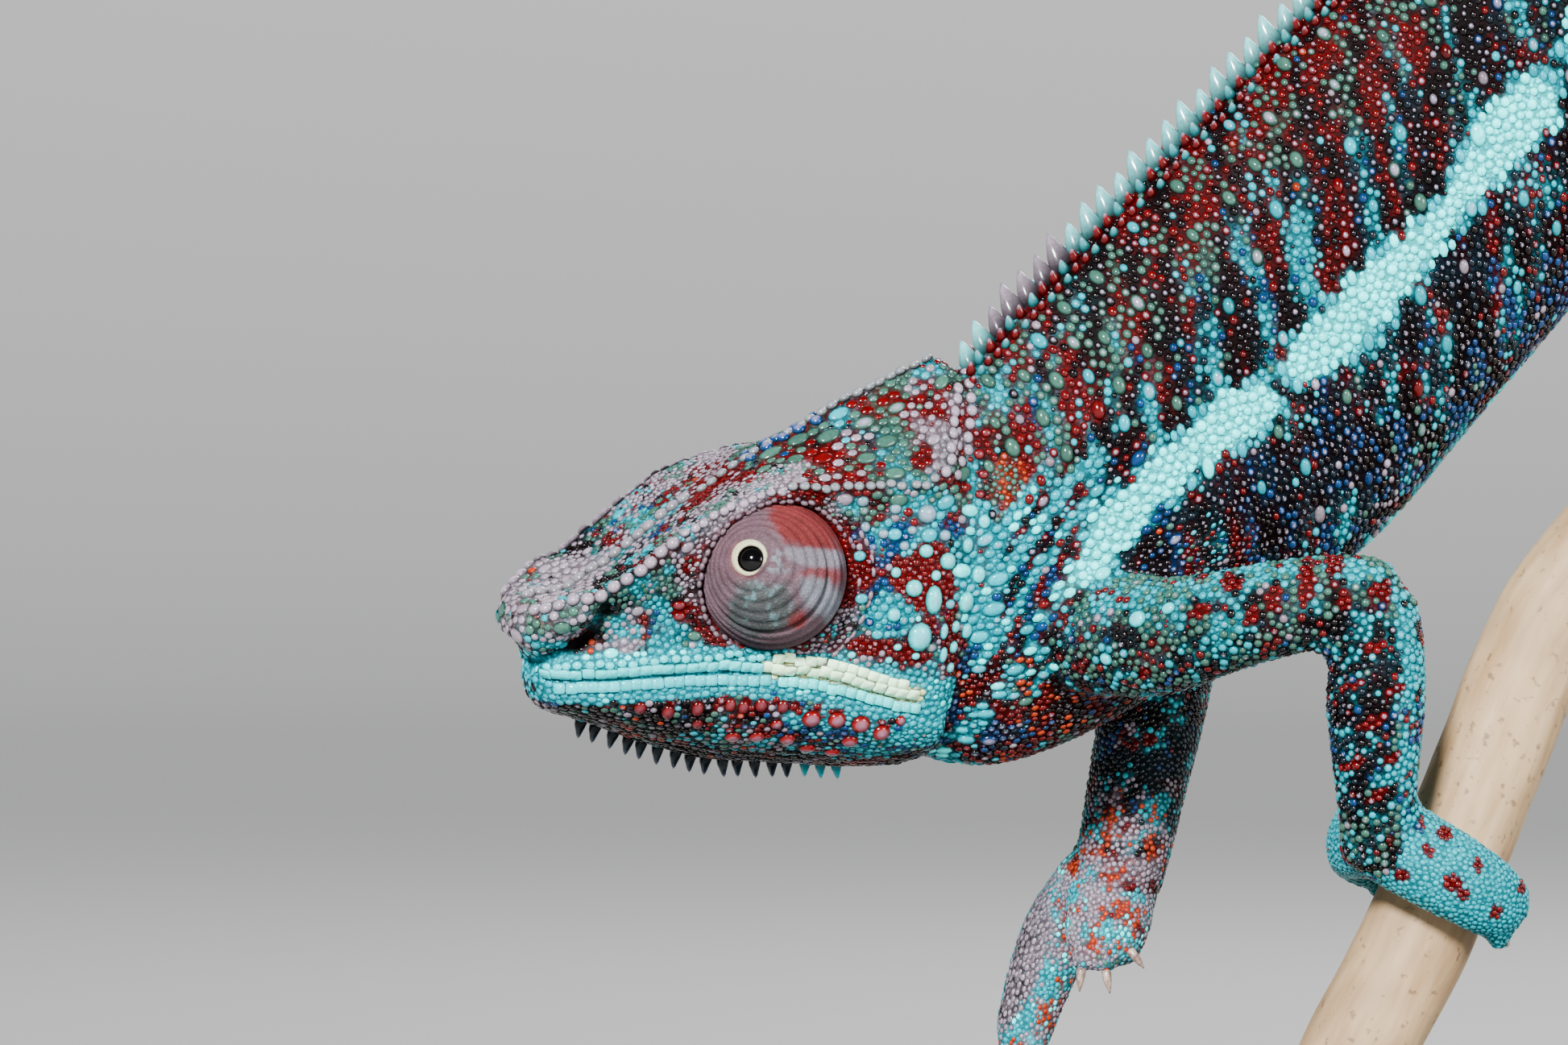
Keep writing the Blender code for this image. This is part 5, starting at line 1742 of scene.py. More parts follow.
class Markings:
    """Works out the pigments anywhere on the animal."""

    patch = (2.3, 2.3)  # millimetres between the centres of patches, and how much they count
    speck = (0.85, 1.5)  # the same for specks
    scatter = 0.6  # how far a scale's colour strays from its patch
    contrast = 2.2  # how clearly one pigment wins over the others in the skin

    def __init__(self, flesh: Flesh) -> None:
        """Keeps the forms, and seeds one noise for each pigment."""
        self.flesh = flesh
        self.patches = [Noise(SEED + 20 + k) for k in range(len(PIGMENT_NAMES))]
        self.specks = [Noise(SEED + 60 + k) for k in range(len(PIGMENT_NAMES))]

    def traits(self, places: Places) -> Traits:
        """Lays the regions over one another.

        Args:
            places: where the points are.

        Returns:
            What grows there.
        """
        count = len(places.x)
        table = np.zeros((count, len(PIGMENT_NAMES) + 7))
        for region in REGIONS:
            mask = np.clip(places.on(*region.parts) * region.where(places), 0, 1)
            rows = np.flatnonzero(mask > 0.01)
            sizes = (region.radius, region.stretch, region.height, region.knobs)
            shares = [share / 100 for share in region.shares]
            values = np.array((*shares, *sizes, region.tone, region.tips, region.clump))
            table[rows] = mixed(table[rows], values, mask[rows, None])
        end = len(PIGMENT_NAMES)
        low = places.on(Part.LIMB) * places.inner * ramp(places.survey.along, 0.5, 0.85)
        lower = np.array(["lower" in form.name for form in self.flesh.forms])[places.survey.form]
        shares = mixed(table[:, :end], np.array(LOWER_INSIDE) / 100, (low * lower)[:, None])
        return Traits(shares, *table[:, end:].T)

    def at(self, survey: Survey, sorts: Array | None = None) -> tuple[Marks, Traits]:
        """The marks at surveyed places.

        Args:
            survey: the places.
            sorts: for scales, which take one colour each, the number of each one's sort.

        Returns:
            The marks and the traits.
        """
        each = sorts is not None
        places = places_of(survey, self.flesh)
        traits = self.traits(places)
        chance = np.random.default_rng(SEED + 3).uniform(0, 1, (len(places.x), len(PIGMENT_NAMES) + 3))
        scores = np.log(traits.shares + 1e-5)
        for k in range(len(PIGMENT_NAMES)):
            patch = self.patches[k](places.field, self.patch[0]) * self.patch[1]
            patch = patch + self.specks[k](places.field, self.speck[0]) * self.speck[1]
            scores[:, k] += traits.clump * patch
        gap = (sorts == Sort.GRANULE.number)[:, None] if each else 1
        scores += gap * np.array(GAP_BIAS)
        if each:
            scores -= self.scatter * np.log(-np.log(chance[:, :-3] * 0.998 + 0.001))
            scores += (sorts >= Sort.KNOB.number)[:, None] * np.array(KNOB_BIAS)
            shares = np.eye(len(PIGMENT_NAMES))[scores.argmax(1)]
        else:
            weight = np.exp((scores - scores.max(1, keepdims=True)) * self.contrast)
            shares = weight / weight.sum(1, keepdims=True)
        tone = traits.tone + shares @ np.array(PIGMENT_TONES)
        tone = tone + (0.28 * (2 * chance[:, -3] - 1) if each else 0)
        # pale tips on some beads, partly painted highlight
        tip = (chance[:, -2] < traits.tips) * (1 - shares[:, -3]) * (0.35 + 0.65 * chance[:, -1]) * each
        return Marks(shares, np.clip(tone, -1, 1), chance[:, -1], tip), traits

    def turret(self, points: Array, angles: Array, rings: Array, grooves: Array, eye: Eye) -> Marks:
        """The marks on an eye turret: pale patches at the back and low down, on brownish red, with painted
        shade in its folds.

        Args:
            points: the turret's points.
            angles: each point's angle from the gaze, in degrees.
            rings: each point's angle as its fold runs round, in degrees.
            grooves: one in the grooves between folds.
            eye: the eye.

        Returns:
            The marks.
        """
        head = self.flesh.head
        uwh = head.read(points) * (1, eye.side, 1)
        x, z = head.place(uwh)[:, (0, 2)].T / DRAWN
        ragged, cloudy = (Noise(SEED + seed)(uwh, 1.7, 3) for seed in (81, 82))
        fine = Noise(SEED + 85)(uwh, 0.55, 2)

        def patch(a: float, b: float, wide: float, high: float, turn: float = 0.0) -> Array:
            """A soft oval, ragged at its edge."""
            return ramp(oval(x - a, z - b, wide, high, turn) + 0.35 * ragged + 0.2 * fine, 1.25, 0.75)

        gaze = head.read((eye.centre(head) + eye.radius * unit(eye.gaze))[None])[0]
        toward = np.arctan2(uwh[:, 2] - gaze[2], gaze[0] - uwh[:, 0])
        thick = 12.2 + 2.9 * np.cos(toward - 0.7)
        lid = ramp(angles, thick + 0.8, thick - 0.4)
        rosy = ramp(angles, thick + 4.2, thick + 1.4) * ramp(np.cos(toward + 0.5), -0.2, 0.5)
        shares = np.zeros((len(points), len(PIGMENT_NAMES)))
        for share, layer in (
            (1.0, pigment_share(Lilac=42, Blood=32, Ground=22, Moss=4)),
            (patch(-5.6, -1.0, 3.2, 4.5) * 0.8, pigment_share(Lilac=40, Blood=38, Ground=22)),
            (patch(2.2, -0.4, 4.2, 2.4, -35), pigment_share(Lilac=12, Blood=62, Ground=2, Amber=24)),
            (patch(3.9, -5.6, 2.3, 1.0), pigment_share(Lilac=22, Blood=58, Amber=20)),
            (patch(3.2, -3.6, 3.4, 1.0, -8), pigment_share(Lilac=86, Blood=10, Cream=4)),
            (patch(4.0, -8.0, 2.8, 1.7, -45), pigment_share(Lilac=84, Blood=8, Cream=8)),
            (patch(1.2, -10.2, 1.2, 1.1), pigment_share(Lilac=16, Blood=60, Amber=24)),
            (patch(-2.4, -9.0, 3.6, 2.9, 18), pigment_share(Lilac=22, Blood=6, Ground=42, Moss=30)),
            (patch(-2.2, -8.6, 3.4, 2.8, 18) * ramp(fine, 0.1, 0.6) * 0.7,
             pigment_share(Lilac=50, Moss=30, Cream=20)),
            (patch(-0.4, -4.2, 1.5, 1.4) * ramp(fine, -0.1, 0.5), pigment_share(Lilac=75, Moss=15, Cream=10)),
            (rosy * 0.6, pigment_share(Lilac=35, Amber=35, Blood=30)),
            (lid, pigment_share(Lilac=50, Straw=50)),
            # painted shade: black inside the lid's opening, round the eyeball
            (ramp(angles, 10.0, 9.3), pigment_share(Ground=100)),
        ):
            shares = mixed(shares, layer, np.broadcast_to(share, len(points))[:, None])
        zero = np.zeros(len(points))
        # painted shade: darker in the grooves between the folds
        tone = -0.15 + 0.65 * lid + (0.3 * cloudy + 0.15 * fine) * (1 - lid) - 0.3 * grooves
        # painted shade: darker in the two deep folds at 54 and 69 degrees; a lighter ring at 61 degrees
        # between them
        for angle, half, light in ((61, 4, 0.35), (54, 2, -0.4), (69, 3, -0.45)):
            tone = tone + light * bump(rings, angle, half)
        return Marks(shares, np.clip(tone, -1, 1), zero + 0.5, zero)

    def write(self, mesh: bpy.types.Mesh, marks: Marks) -> None:
        """Stores the marks on a mesh's points, each pigment as its share over the ones before it.

        Args:
            mesh: the mesh.
            marks: one row for each of its points.
        """
        over = marks.shares / np.maximum(np.cumsum(marks.shares, axis=1), 1e-6)
        values = dict(zip(PIGMENT_NAMES, over.T))
        values |= {"Tone": marks.tone, "Chance": marks.chance, "Tip": marks.tip}
        for label, names in MARKS.items():
            add_attribute(mesh, label, np.column_stack([values[name] for name in names]))


# ---- finishes ----


def srgb(red: int, green: int, blue: int) -> tuple[float, float, float, float]:
    """A colour as shaders want it, from screen values up to 255."""
    values = [v / 255 for v in (red, green, blue)]
    linear = [v / 12.92 if v <= 0.04045 else ((v + 0.055) / 1.055) ** 2.4 for v in values]
    return (linear[0], linear[1], linear[2], 1.0)


class Graph:
    """A node tree while it is being drawn."""

    def __init__(self, tree: bpy.types.NodeTree) -> None:
        """Keeps the tree."""
        self.tree = tree

    def add(self, kind: str, inputs: dict | None = None, **settings: object) -> bpy.types.Node:
        """Adds a node.

        Args:
            kind: its type.
            inputs: values or sockets for its inputs, by name or number.
            settings: its own properties.

        Returns:
            The node.
        """
        node = self.tree.nodes.new(kind)
        for key, value in settings.items():
            setattr(node, key, value)
        for key, value in (inputs or {}).items():
            if isinstance(value, bpy.types.NodeSocket):
                self.tree.links.new(value, node.inputs[key])
            else:
                node.inputs[key].default_value = value
        return node

    def attribute(self, name: str) -> bpy.types.Node:
        """Reads a mesh attribute."""
        return self.add("ShaderNodeAttribute", attribute_name=name)

    def mix(self, share: object, a: object, b: object, blend: str = "MIX") -> bpy.types.NodeSocket:
        """Mixes two colours by a share."""
        node = self.add("ShaderNodeMix", {0: share, 6: a, 7: b}, data_type="RGBA", blend_type=blend)
        return node.outputs[2]

    def math(self, operation: str, *values: object) -> bpy.types.NodeSocket:
        """Works out one number from others."""
        node = self.add("ShaderNodeMath", dict(enumerate(values)), operation=operation)
        return node.outputs[0]

    def span(self, value: object, *limits: float) -> bpy.types.NodeSocket:
        """Maps a value from two limits to two others, and clamps it."""
        inputs = dict(zip(("Value", "From Min", "From Max", "To Min", "To Max"), (value, *limits)))
        return self.add("ShaderNodeMapRange", inputs).outputs["Result"]

    def noise(self, scale: float, detail: float = 2.0, where: object = None) -> bpy.types.NodeSocket:
        """Smooth noise from 0 to 1, in the object's own space unless where says otherwise."""
        inputs = {"Vector": where or self.space(), "Scale": scale, "Detail": detail}
        return self.add("ShaderNodeTexNoise", inputs).outputs[0]

    def space(self) -> bpy.types.NodeSocket:
        """The object's own coordinates."""
        return self.add("ShaderNodeTexCoord").outputs["Object"]

    def scaled(self, vector: object, scale: object) -> bpy.types.NodeSocket:
        """Multiplies a vector or a colour by one number."""
        return self.add("ShaderNodeVectorMath", {0: vector, "Scale": scale}, operation="SCALE").outputs[0]

    def bumps(self, height: object, strength: float, distance: float) -> bpy.types.NodeSocket:
        """A bumpy surface's normal."""
        inputs = {"Height": height, "Strength": strength, "Distance": distance}
        return self.add("ShaderNodeBump", inputs).outputs[0]

    def feed(self, node: bpy.types.Node, **sources: bpy.types.NodeSocket) -> None:
        """Links sockets to a node's inputs, whose names have underscores for spaces."""
        for key, source in sources.items():
            self.tree.links.new(source, node.inputs[key.replace("_", " ")])


def new_material(name: str, **constants: object) -> tuple[bpy.types.Material, Graph, bpy.types.Node]:
    """A material with one Principled shader.

    Args:
        name: its name.
        constants: values for the shader's inputs, with underscores for spaces.

    Returns:
        The material, its graph and the shader.
    """
    material = bpy.data.materials.new(name)
    material.use_nodes = True
    graph = Graph(material.node_tree)
    shader = material.node_tree.nodes["Principled BSDF"]
    for key, value in constants.items():
        shader.inputs[key.replace("_", " ")].default_value = value
    return material, graph, shader


PIGMENTS = {
    "Ground": srgb(12, 1, 4),
    "Moss": srgb(62, 106, 92),
    "Azure": srgb(2, 58, 112),
    "Aqua": srgb(0, 168, 184),
    "Lilac": srgb(150, 136, 150),
    "Amber": srgb(168, 44, 0),
    "Blood": srgb(104, 0, 4),
    "Cream": srgb(56, 248, 250),
    "Straw": srgb(250, 255, 180),
    "Slate": srgb(13, 30, 42),
}


def pigment_group() -> bpy.types.NodeTree:
    """The node group that turns the marks into a colour: the pigments in their shares, then the tone.

    Returns:
        The node group, which is made once.
    """
    name = "pigment"
    if name in bpy.data.node_groups:
        return bpy.data.node_groups[name]
    tree = bpy.data.node_groups.new(name, "ShaderNodeTree")
    for label in MARKS:
        tree.interface.new_socket(label, in_out="INPUT", socket_type="NodeSocketVector")
    for label, colour in PIGMENTS.items():
        tree.interface.new_socket(label, in_out="INPUT", socket_type="NodeSocketColor").default_value = colour
    tree.interface.new_socket("Color", in_out="OUTPUT", socket_type="NodeSocketColor")
    for label in ("Chance", "Tip"):
        tree.interface.new_socket(label, in_out="OUTPUT", socket_type="NodeSocketFloat")
    graph = Graph(tree)
    given, result = graph.add("NodeGroupInput"), graph.add("NodeGroupOutput")
    colour, shares = given.outputs["Ground"], {}
    for label, names in MARKS.items():
        parts = graph.add("ShaderNodeSeparateXYZ", {0: given.outputs[label]})
        shares |= {key: parts.outputs[k] for k, key in enumerate(names)}
    for label in list(PIGMENTS)[1:]:
        colour = graph.mix(shares[label], colour, given.outputs[label])
    light = graph.span(shares["Tone"], -1.0, 1.0, 0.25, 1.75)
    graph.feed(result, Color=graph.scaled(colour, light), Chance=shares["Chance"], Tip=shares["Tip"])
    return tree


def pigments(graph: Graph) -> bpy.types.Node:
    """Adds the pigment group, fed by the mesh's marks.

    Args:
        graph: the finish's graph.

    Returns:
        The group's node.
    """
    node = graph.add("ShaderNodeGroup", node_tree=pigment_group())
    for label in MARKS:
        graph.tree.links.new(graph.attribute(label).outputs["Vector"], node.inputs[label])
    return node


@dataclass(frozen=True)
class SkinFinish:
    """Bare skin: the marks on the fine grain's crowns, and painted shade in the hollows between them."""

    grain: float = 2200.0  # per metre
    depth: float = 0.09  # how light the painted shade leaves the grain's hollows
    label: str = "skin_finish"
    bump: tuple = (0.5, 0.0001)  # strength and metres

    def material(self) -> bpy.types.Material:
        """Draws the finish.

        Returns:
            The material.
        """
        material, graph, shader = new_material(self.label, Roughness=0.6, Specular_IOR_Level=0.05)
        colour = pigments(graph).outputs["Color"]
        grain = graph.add("ShaderNodeTexVoronoi", {"Vector": graph.space(), "Scale": self.grain})
        low = graph.span(grain.outputs["Distance"], 0.15, 0.6, 1.0, 0.25)
        # painted shade: the marks darkened in the grain's hollows
        dark = graph.mix(1.0, colour, (self.depth, self.depth, self.depth, 1), "MULTIPLY")
        graph.feed(shader, Base_Color=graph.mix(low, dark, colour), Normal=graph.bumps(low, *self.bump))
        return material


@dataclass(frozen=True)
class ScaleFinish:
    """Glossy scales with painted shade where they meet the skin, and pale crowns that are partly painted
    highlight.
    """

    rim: float = 0.03  # how light the painted shade leaves a scale where it meets the skin
    # the pale tip's colour: partly the scales' own pale tips, partly painted highlight
    tip: tuple = srgb(178, 168, 196)
    grain: float = 2600.0  # per metre
    roughness: tuple = (0.26, 0.42)
    coat_roughness: float = 0.13

    def material(self) -> bpy.types.Material:
        """Draws the finish.

        Returns:
            The material.
        """
        constants = {"Specular_IOR_Level": 0.06, "Coat_Weight": 1.0, "Coat_Roughness": self.coat_roughness}
        material, graph, shader = new_material("scale_finish", **constants)
        marks = pigments(graph)
        crown = graph.attribute("crown").outputs["Fac"]
        # painted shade: darker from the crown down to where the scale meets the skin
        colour = graph.scaled(marks.outputs["Color"], graph.span(crown, 0.0, 0.7, self.rim, 1.0))
        # pale tips on the crowns, partly painted highlight
        tip = graph.math("MULTIPLY", graph.span(crown, 0.7, 1.0, 0.0, 1.0), marks.outputs["Tip"])
        pale = graph.mix(tip, colour, self.tip)
        fine = graph.span(graph.noise(self.grain), 0.3, 0.7, 0.82, 1.15)
        graph.feed(
            shader,
            Base_Color=graph.scaled(pale, fine),
            Coat_Weight=graph.span(crown, 0.1, 0.5, 0.0, 1.0),
            Roughness=graph.span(marks.outputs["Chance"], 0.0, 1.0, *self.roughness),
        )
        return material


@dataclass(frozen=True)
class EyeFinish:
    """The eyeball: a black pupil under a wet front, inside a thin brown ring."""

    pupil: tuple = srgb(4, 3, 4)
    iris: tuple = srgb(74, 34, 18)
    inner: tuple = (44.0, 47.0)  # degrees from the gaze, over which the ring begins
    outer: tuple = (54.0, 58.0)  # and ends

    def material(self) -> bpy.types.Material:
        """Draws the finish.

        Returns:
            The material.
        """
        constants = {"Specular_IOR_Level": 0.3, "Coat_Weight": 0.5, "Coat_Roughness": 0.05}
        material, graph, shader = new_material("eye_finish", Roughness=0.12, **constants)
        angle = graph.attribute("angle").outputs["Fac"]
        begun, ended = graph.span(angle, *self.inner, 0, 1), graph.span(angle, *self.outer, 1, 0)
        ring = graph.math("MULTIPLY", begun, ended)
        graph.feed(shader, Base_Color=graph.mix(ring, self.pupil, self.iris))
        return material


@dataclass(frozen=True)
class HornFinish:
    """The claws: streaked brown horn."""

    dark: tuple = srgb(120, 92, 84)
    pale: tuple = srgb(196, 170, 156)
    streaks: float = 1500.0  # per metre

    def material(self) -> bpy.types.Material:
        """Draws the finish.

        Returns:
            The material.
        """
        material, graph, shader = new_material("horn_finish", Roughness=0.3, Coat_Weight=0.3)
        streak = graph.span(graph.noise(self.streaks), 0.35, 0.65, 0, 1)
        graph.feed(shader, Base_Color=graph.mix(streak, self.dark, self.pale))
        return material


@dataclass(frozen=True)
class WoodFinish:
    """The bough: barkless pale wood with long grain, stains and dark flecks."""

    grain: tuple = (srgb(178, 142, 100), srgb(214, 184, 144))
    # how many there are to a metre, where the noise begins and ends to show them, and their colour
    stains: tuple = (60.0, 0.48, 0.75, srgb(120, 92, 62))
    flecks: tuple = (900.0, 0.62, 0.70, srgb(72, 50, 34))
    cover: float = 0.55  # how strongly stains and flecks show
    bump: tuple = (0.35, 0.0003)  # strength and metres

    def material(self) -> bpy.types.Material:
        """Draws the finish.

        Returns:
            The material.
        """
        material, graph, shader = new_material("wood_finish", Roughness=0.62)
        long = graph.noise(1.0, 5.0, graph.attribute("grain").outputs["Vector"])
        colour = graph.mix(graph.span(long, 0.3, 0.7, 0, 1), *self.grain)
        for number, low, high, dark in (self.stains, self.flecks):
            share = graph.span(graph.noise(number, 3.0), low, high, 0.0, self.cover)
            colour = graph.mix(share, colour, dark)
        graph.feed(shader, Base_Color=colour, Normal=graph.bumps(long, *self.bump))
        return material


@dataclass(frozen=True)
class MetalFinish:
    """Satin black or brushed steel for the stand."""

    name: str
    colour: tuple
    metallic: float
    roughness: float
    scratch: float  # how much the brushing shows

    def material(self) -> bpy.types.Material:
        """Draws the finish.

        Returns:
            The material.
        """
        material, graph, shader = new_material(self.name, Base_Color=self.colour, Metallic=self.metallic)
        across = graph.add("ShaderNodeMapping", {"Vector": graph.space(), "Scale": (1.0, 1.0, 0.03)})
        brushed = graph.noise(3000.0, 3.0, across.outputs[0])
        rough = graph.span(brushed, 0.3, 0.7, self.roughness - self.scratch, self.roughness + self.scratch)
        graph.feed(shader, Roughness=rough)
        return material


@dataclass(frozen=True)
class PaperFinish:
    """The plain backdrop."""

    colour: tuple = srgb(149, 151, 149)

    def material(self) -> bpy.types.Material:
        """Draws the finish.

        Returns:
            The material.
        """
        return new_material("paper_finish", Base_Color=self.colour, Roughness=0.9)[0]


# ---- eyes, claws, bough and stand ----


def lathe(centre: Array, axis: Array, profile: Array, around: int) -> Array:
    """Rings round an axis.

    Args:
        centre: where the axis starts.
        axis: its direction.
        profile: rows of distance along it and radius.
        around: points in each ring.

    Returns:
        The rings.
    """
    axis = unit(axis)
    side = unit(np.cross(axis, (0, 0, 1)))
    up = np.cross(side, axis)
    turns = steps_round(around)
    spokes = np.outer(np.cos(turns), side) + np.outer(np.sin(turns), up)
    return np.array([centre + far * axis + radius * spokes for far, radius in profile])


@dataclass
class Eyes:
    """Both eyes: folded turrets that stay in their sockets, with a lid ring round each eyeball."""

    head: HeadShape
    fold: float = 1.05  # millimetres between two folds
    fold_depth: float = 0.14
    lid_angle: float = 10.0  # half the opening, seen from the turret's centre
    shift: tuple = (8, 135)  # angles between which the rings' centre moves from the gaze to the socket's axis
    deep: tuple = ((54, 1.7, 0.3), (69, 1.8, 0.4))  # the deeper folds: angle, half-width and depth
    settle: int = 40  # rounds in which the rings' centres are worked out
    around: int = 120
    ball_around: int = 64

    def turret(self, eye: Eye) -> tuple[bpy.types.Object, Array, Array, Array, Array]:
        """Makes one turret.

        Args:
            eye: the eye.

        Returns:
            The object, its points, each point's angle from the gaze, its angle as the folds run round, in
            degrees, and its share of a groove.
        """
        centre, gaze, out = eye.centre(self.head), unit(eye.gaze), eye.out(self.head)
        angles = np.concatenate([np.linspace(self.lid_angle - 1.0, 26, 20), np.linspace(27.0, 120, 84)])
        angles = np.concatenate([angles, np.linspace(124, 176, 14)])
        radii = eye.radius * (1 + 0.07 * np.exp(-((angles / 30) ** 2)))
        radii = radii + 0.3 * bump(angles, self.lid_angle + 0.8, 1.8)
        turn = np.radians(angles)
        outer = np.column_stack([radii * np.cos(turn), radii * np.sin(turn)])
        inner = outer[0] - np.array([(0.4, 0.1), (0.9, 0.4), (1.2, 1.2)])
        points, faces = loft(lathe(centre, gaze, np.vstack([inner[::-1], outer]), self.around))
        ring = np.concatenate([np.zeros(3), angles])
        shown = np.concatenate([np.repeat(ring, self.around), (0, 180)])
        spokes = unit(points - centre)
        rings = shown.astype(float)
        for _ in range(self.settle):
            middle = unit(gaze + (out - gaze) * ramp(rings, *self.shift)[:, None])
            rings = np.degrees(np.arccos(np.clip((spokes * middle).sum(1), -1, 1)))
        wave = np.radians(rings) * eye.radius / self.fold
        groove = (0.5 + 0.5 * np.cos(2 * math.pi * wave)) ** 2.2 * ramp(shown, 17, 25) * ramp(shown, 125, 110)
        deep = sum(depth * bump(rings, angle, half) for angle, half, depth in self.deep)
        points = points - spokes * (self.fold_depth * groove + deep * ramp(shown, 22, 30))[:, None]
        depth = eye.split(points, self.head)[0]
        points = points + np.outer(np.maximum(-eye.back - depth, 0), out)
        return new_object(f"eye_turret_{eye.name}_folds", points, faces), points, shown, rings, groove

    def ball(self, eye: Eye) -> bpy.types.Object:
        """Makes one eyeball.

        Args:
            eye: the eye.

        Returns:
            The object.
        """
        gaze = unit(eye.gaze)
        angles = np.concatenate([np.linspace(1, 60, 40), np.linspace(64, 178, 24)])
        turn = np.radians(angles)
        radii = eye.ball * (1 + 0.05 * np.exp(-((angles / 24) ** 2)))
        profile = np.column_stack([radii * np.cos(turn), radii * np.sin(turn)])
        centre = eye.centre(self.head) + (eye.ball_out - 0.35) * gaze
        points, faces = loft(lathe(centre, gaze, profile, self.ball_around))
        piece = new_object(f"eyeball_{eye.name}_wet", points, faces)
        add_attribute(piece.data, "angle", np.concatenate([np.repeat(angles, self.ball_around), (0, 180)]))
        piece.data.materials.append(EyeFinish().material())
        dress(piece, "eye", f"eyeball_{eye.name}")
        return piece

    def build(self, marks: "Markings", finish: bpy.types.Material) -> None:
        """Makes and dresses both eyes.

        Args:
            marks: the animal's markings.
            finish: the finish of skin that shows its marks.
        """
        for eye in EYES:
            turret, *places = self.turret(eye)
            marks.write(turret.data, marks.turret(*places, eye))
            turret.data.materials.append(finish)
            dress(turret, "eyelid", f"eye_turret_{eye.name}")
            self.ball(eye)


@dataclass
class ClawSet:
    """Curved claws at the toes' tips."""

    length: float = 2.3
    radius: float = 0.62

    def horn(self, tip: Array, way: Array, curl: Array) -> tuple[Array, list]:
        """Draws one claw.

        Args:
            tip: the toe's tip.
            way: the direction out of it.
            curl: the way that the claw bends.

        Returns:
            Its points and faces.
        """
        t = np.linspace(0, 1, 9)[:, None]
        line = tip + way * (-0.5 + self.length * t) + curl * (1.3 * t**2.2)
        radii = self.radius * curve(((0, 1.0), (0.3, 0.95), (0.7, 0.6), (1, 0.12)), t[:, 0])
        return loft(tube(line, np.column_stack([radii * 1.1, radii * 0.85]), curl + 1e-3, 10))

    def build(self, claws: dict[str, Claws], nodes: Iterable[str]) -> None:
        """Makes one piece of claws for each foot.

        Args:
            claws: the claws of each foot.
            nodes: the names of all the frame's nodes.
        """
        finish = HornFinish().material()
        for foot, held in claws.items():
            piece = new_object(f"claws_{foot}", *joined(self.horn(*tip) for tip in held.tips))
            piece.data.materials.append(finish)
            dress(piece, "claw", *sorted(name for name in nodes if name.startswith(f"claw_{foot}_")))


@dataclass
class Bough:
    """The bough, with dents, knots and cut ends."""

    shape: BoughShape
    stations: int = 320
    around: int = 56
    dents: float = 0.22
    lump: tuple = (7.0, 7.0, 12.0)  # how far apart the dents are
    # length along, angle round and size of each knot
    knots: tuple = ((38, 2.0, 1.0), (96, 4.4, 0.8), (128, 0.6, 1.1), (170, 3.1, 0.9), (205, 5.3, 0.7))
    grain: tuple = (0.09, 3.2)  # how fine the wood's grain is, along and across

    def build(self) -> bpy.types.Object:
        """Makes and dresses it.

        Returns:
            The object.
        """
        s = np.linspace(0, len(self.shape.knots) - 1, self.stations)
        radii = self.shape.radius(s)
        line = path(self.shape.knots, s)
        rings = tube(line, np.column_stack([radii, radii]), (0, 1, 0), self.around)
        rough = Noise(SEED + 5)
        out = unit(rings - line[:, None])
        run, turn = lengths(line), steps_round(self.around)
        lift = rough(rings.reshape(-1, 3), self.lump, 3).reshape(rings.shape[:2]) * self.dents
        for at, angle, size in self.knots:
            gap = np.abs((turn - angle + math.pi) % (2 * math.pi) - math.pi) * 5.8
            away = np.hypot((run[:, None] - at) / 1.4, gap[None])
            lift = lift + size * (0.35 * np.exp(-((away / 2.6) ** 2)) - 0.45 * np.exp(-((away / 0.8) ** 2)))
        rings = rings + out * (lift - self.dents)[..., None]
        caps = []
        for end, way in ((0, -1), (-1, 1)):
            middle, heading = line[end], unit(line[end] - line[end - way])
            spokes = rings[end] - middle
            caps.append([middle + spokes * k + heading * 0.3 * (1 - k) for k in (0.97, 0.6, 0.3)])
        rings = np.concatenate([np.array(caps[0])[::-1], rings, np.array(caps[1])])
        points, faces = loft(rings)
        piece = new_object("bough_wood", points, faces)
        fine, coarse = self.grain
        length = np.concatenate([np.full(3, run[0]), run, np.full(3, run[-1])])
        grain = np.column_stack([
            np.repeat(length * fine, self.around),
            np.tile(np.cos(turn) * coarse, len(length)),
            np.tile(np.sin(turn) * coarse, len(length)),
        ])
        ends = [(length[0] * fine, 0, 0), (length[-1] * fine, 0, 0)]
        add_attribute(piece.data, "grain", np.vstack([grain, ends]))
        piece.data.materials.append(WoodFinish().material())
        dress(piece, "bough", "perch_branch")
        return piece


class StandPart(Enum):
    """The stand's nodes, with the finish of each."""

    BASE = ("stand_base", MetalFinish("base_finish", srgb(26, 26, 28), 0.0, 0.42, 0.04))
    FRONT = ("stand_rod_front", MetalFinish("front_rod_finish", srgb(150, 150, 154), 1.0, 0.3, 0.08))
    REAR = ("stand_rod_rear", MetalFinish("rear_rod_finish", srgb(150, 150, 154), 1.0, 0.3, 0.08))

    def dress(self, nodes: dict) -> None:
        """Gives the node its finish.

        Args:
            nodes: the frame's objects by name.
        """
        name, finish = self.value
        material = finish.material()
        for slot in nodes[name].material_slots:
            slot.material = material
        LOG.info("%s: %s", name, material.name)


# ---- the coat: bead scales that grow from the skin ----


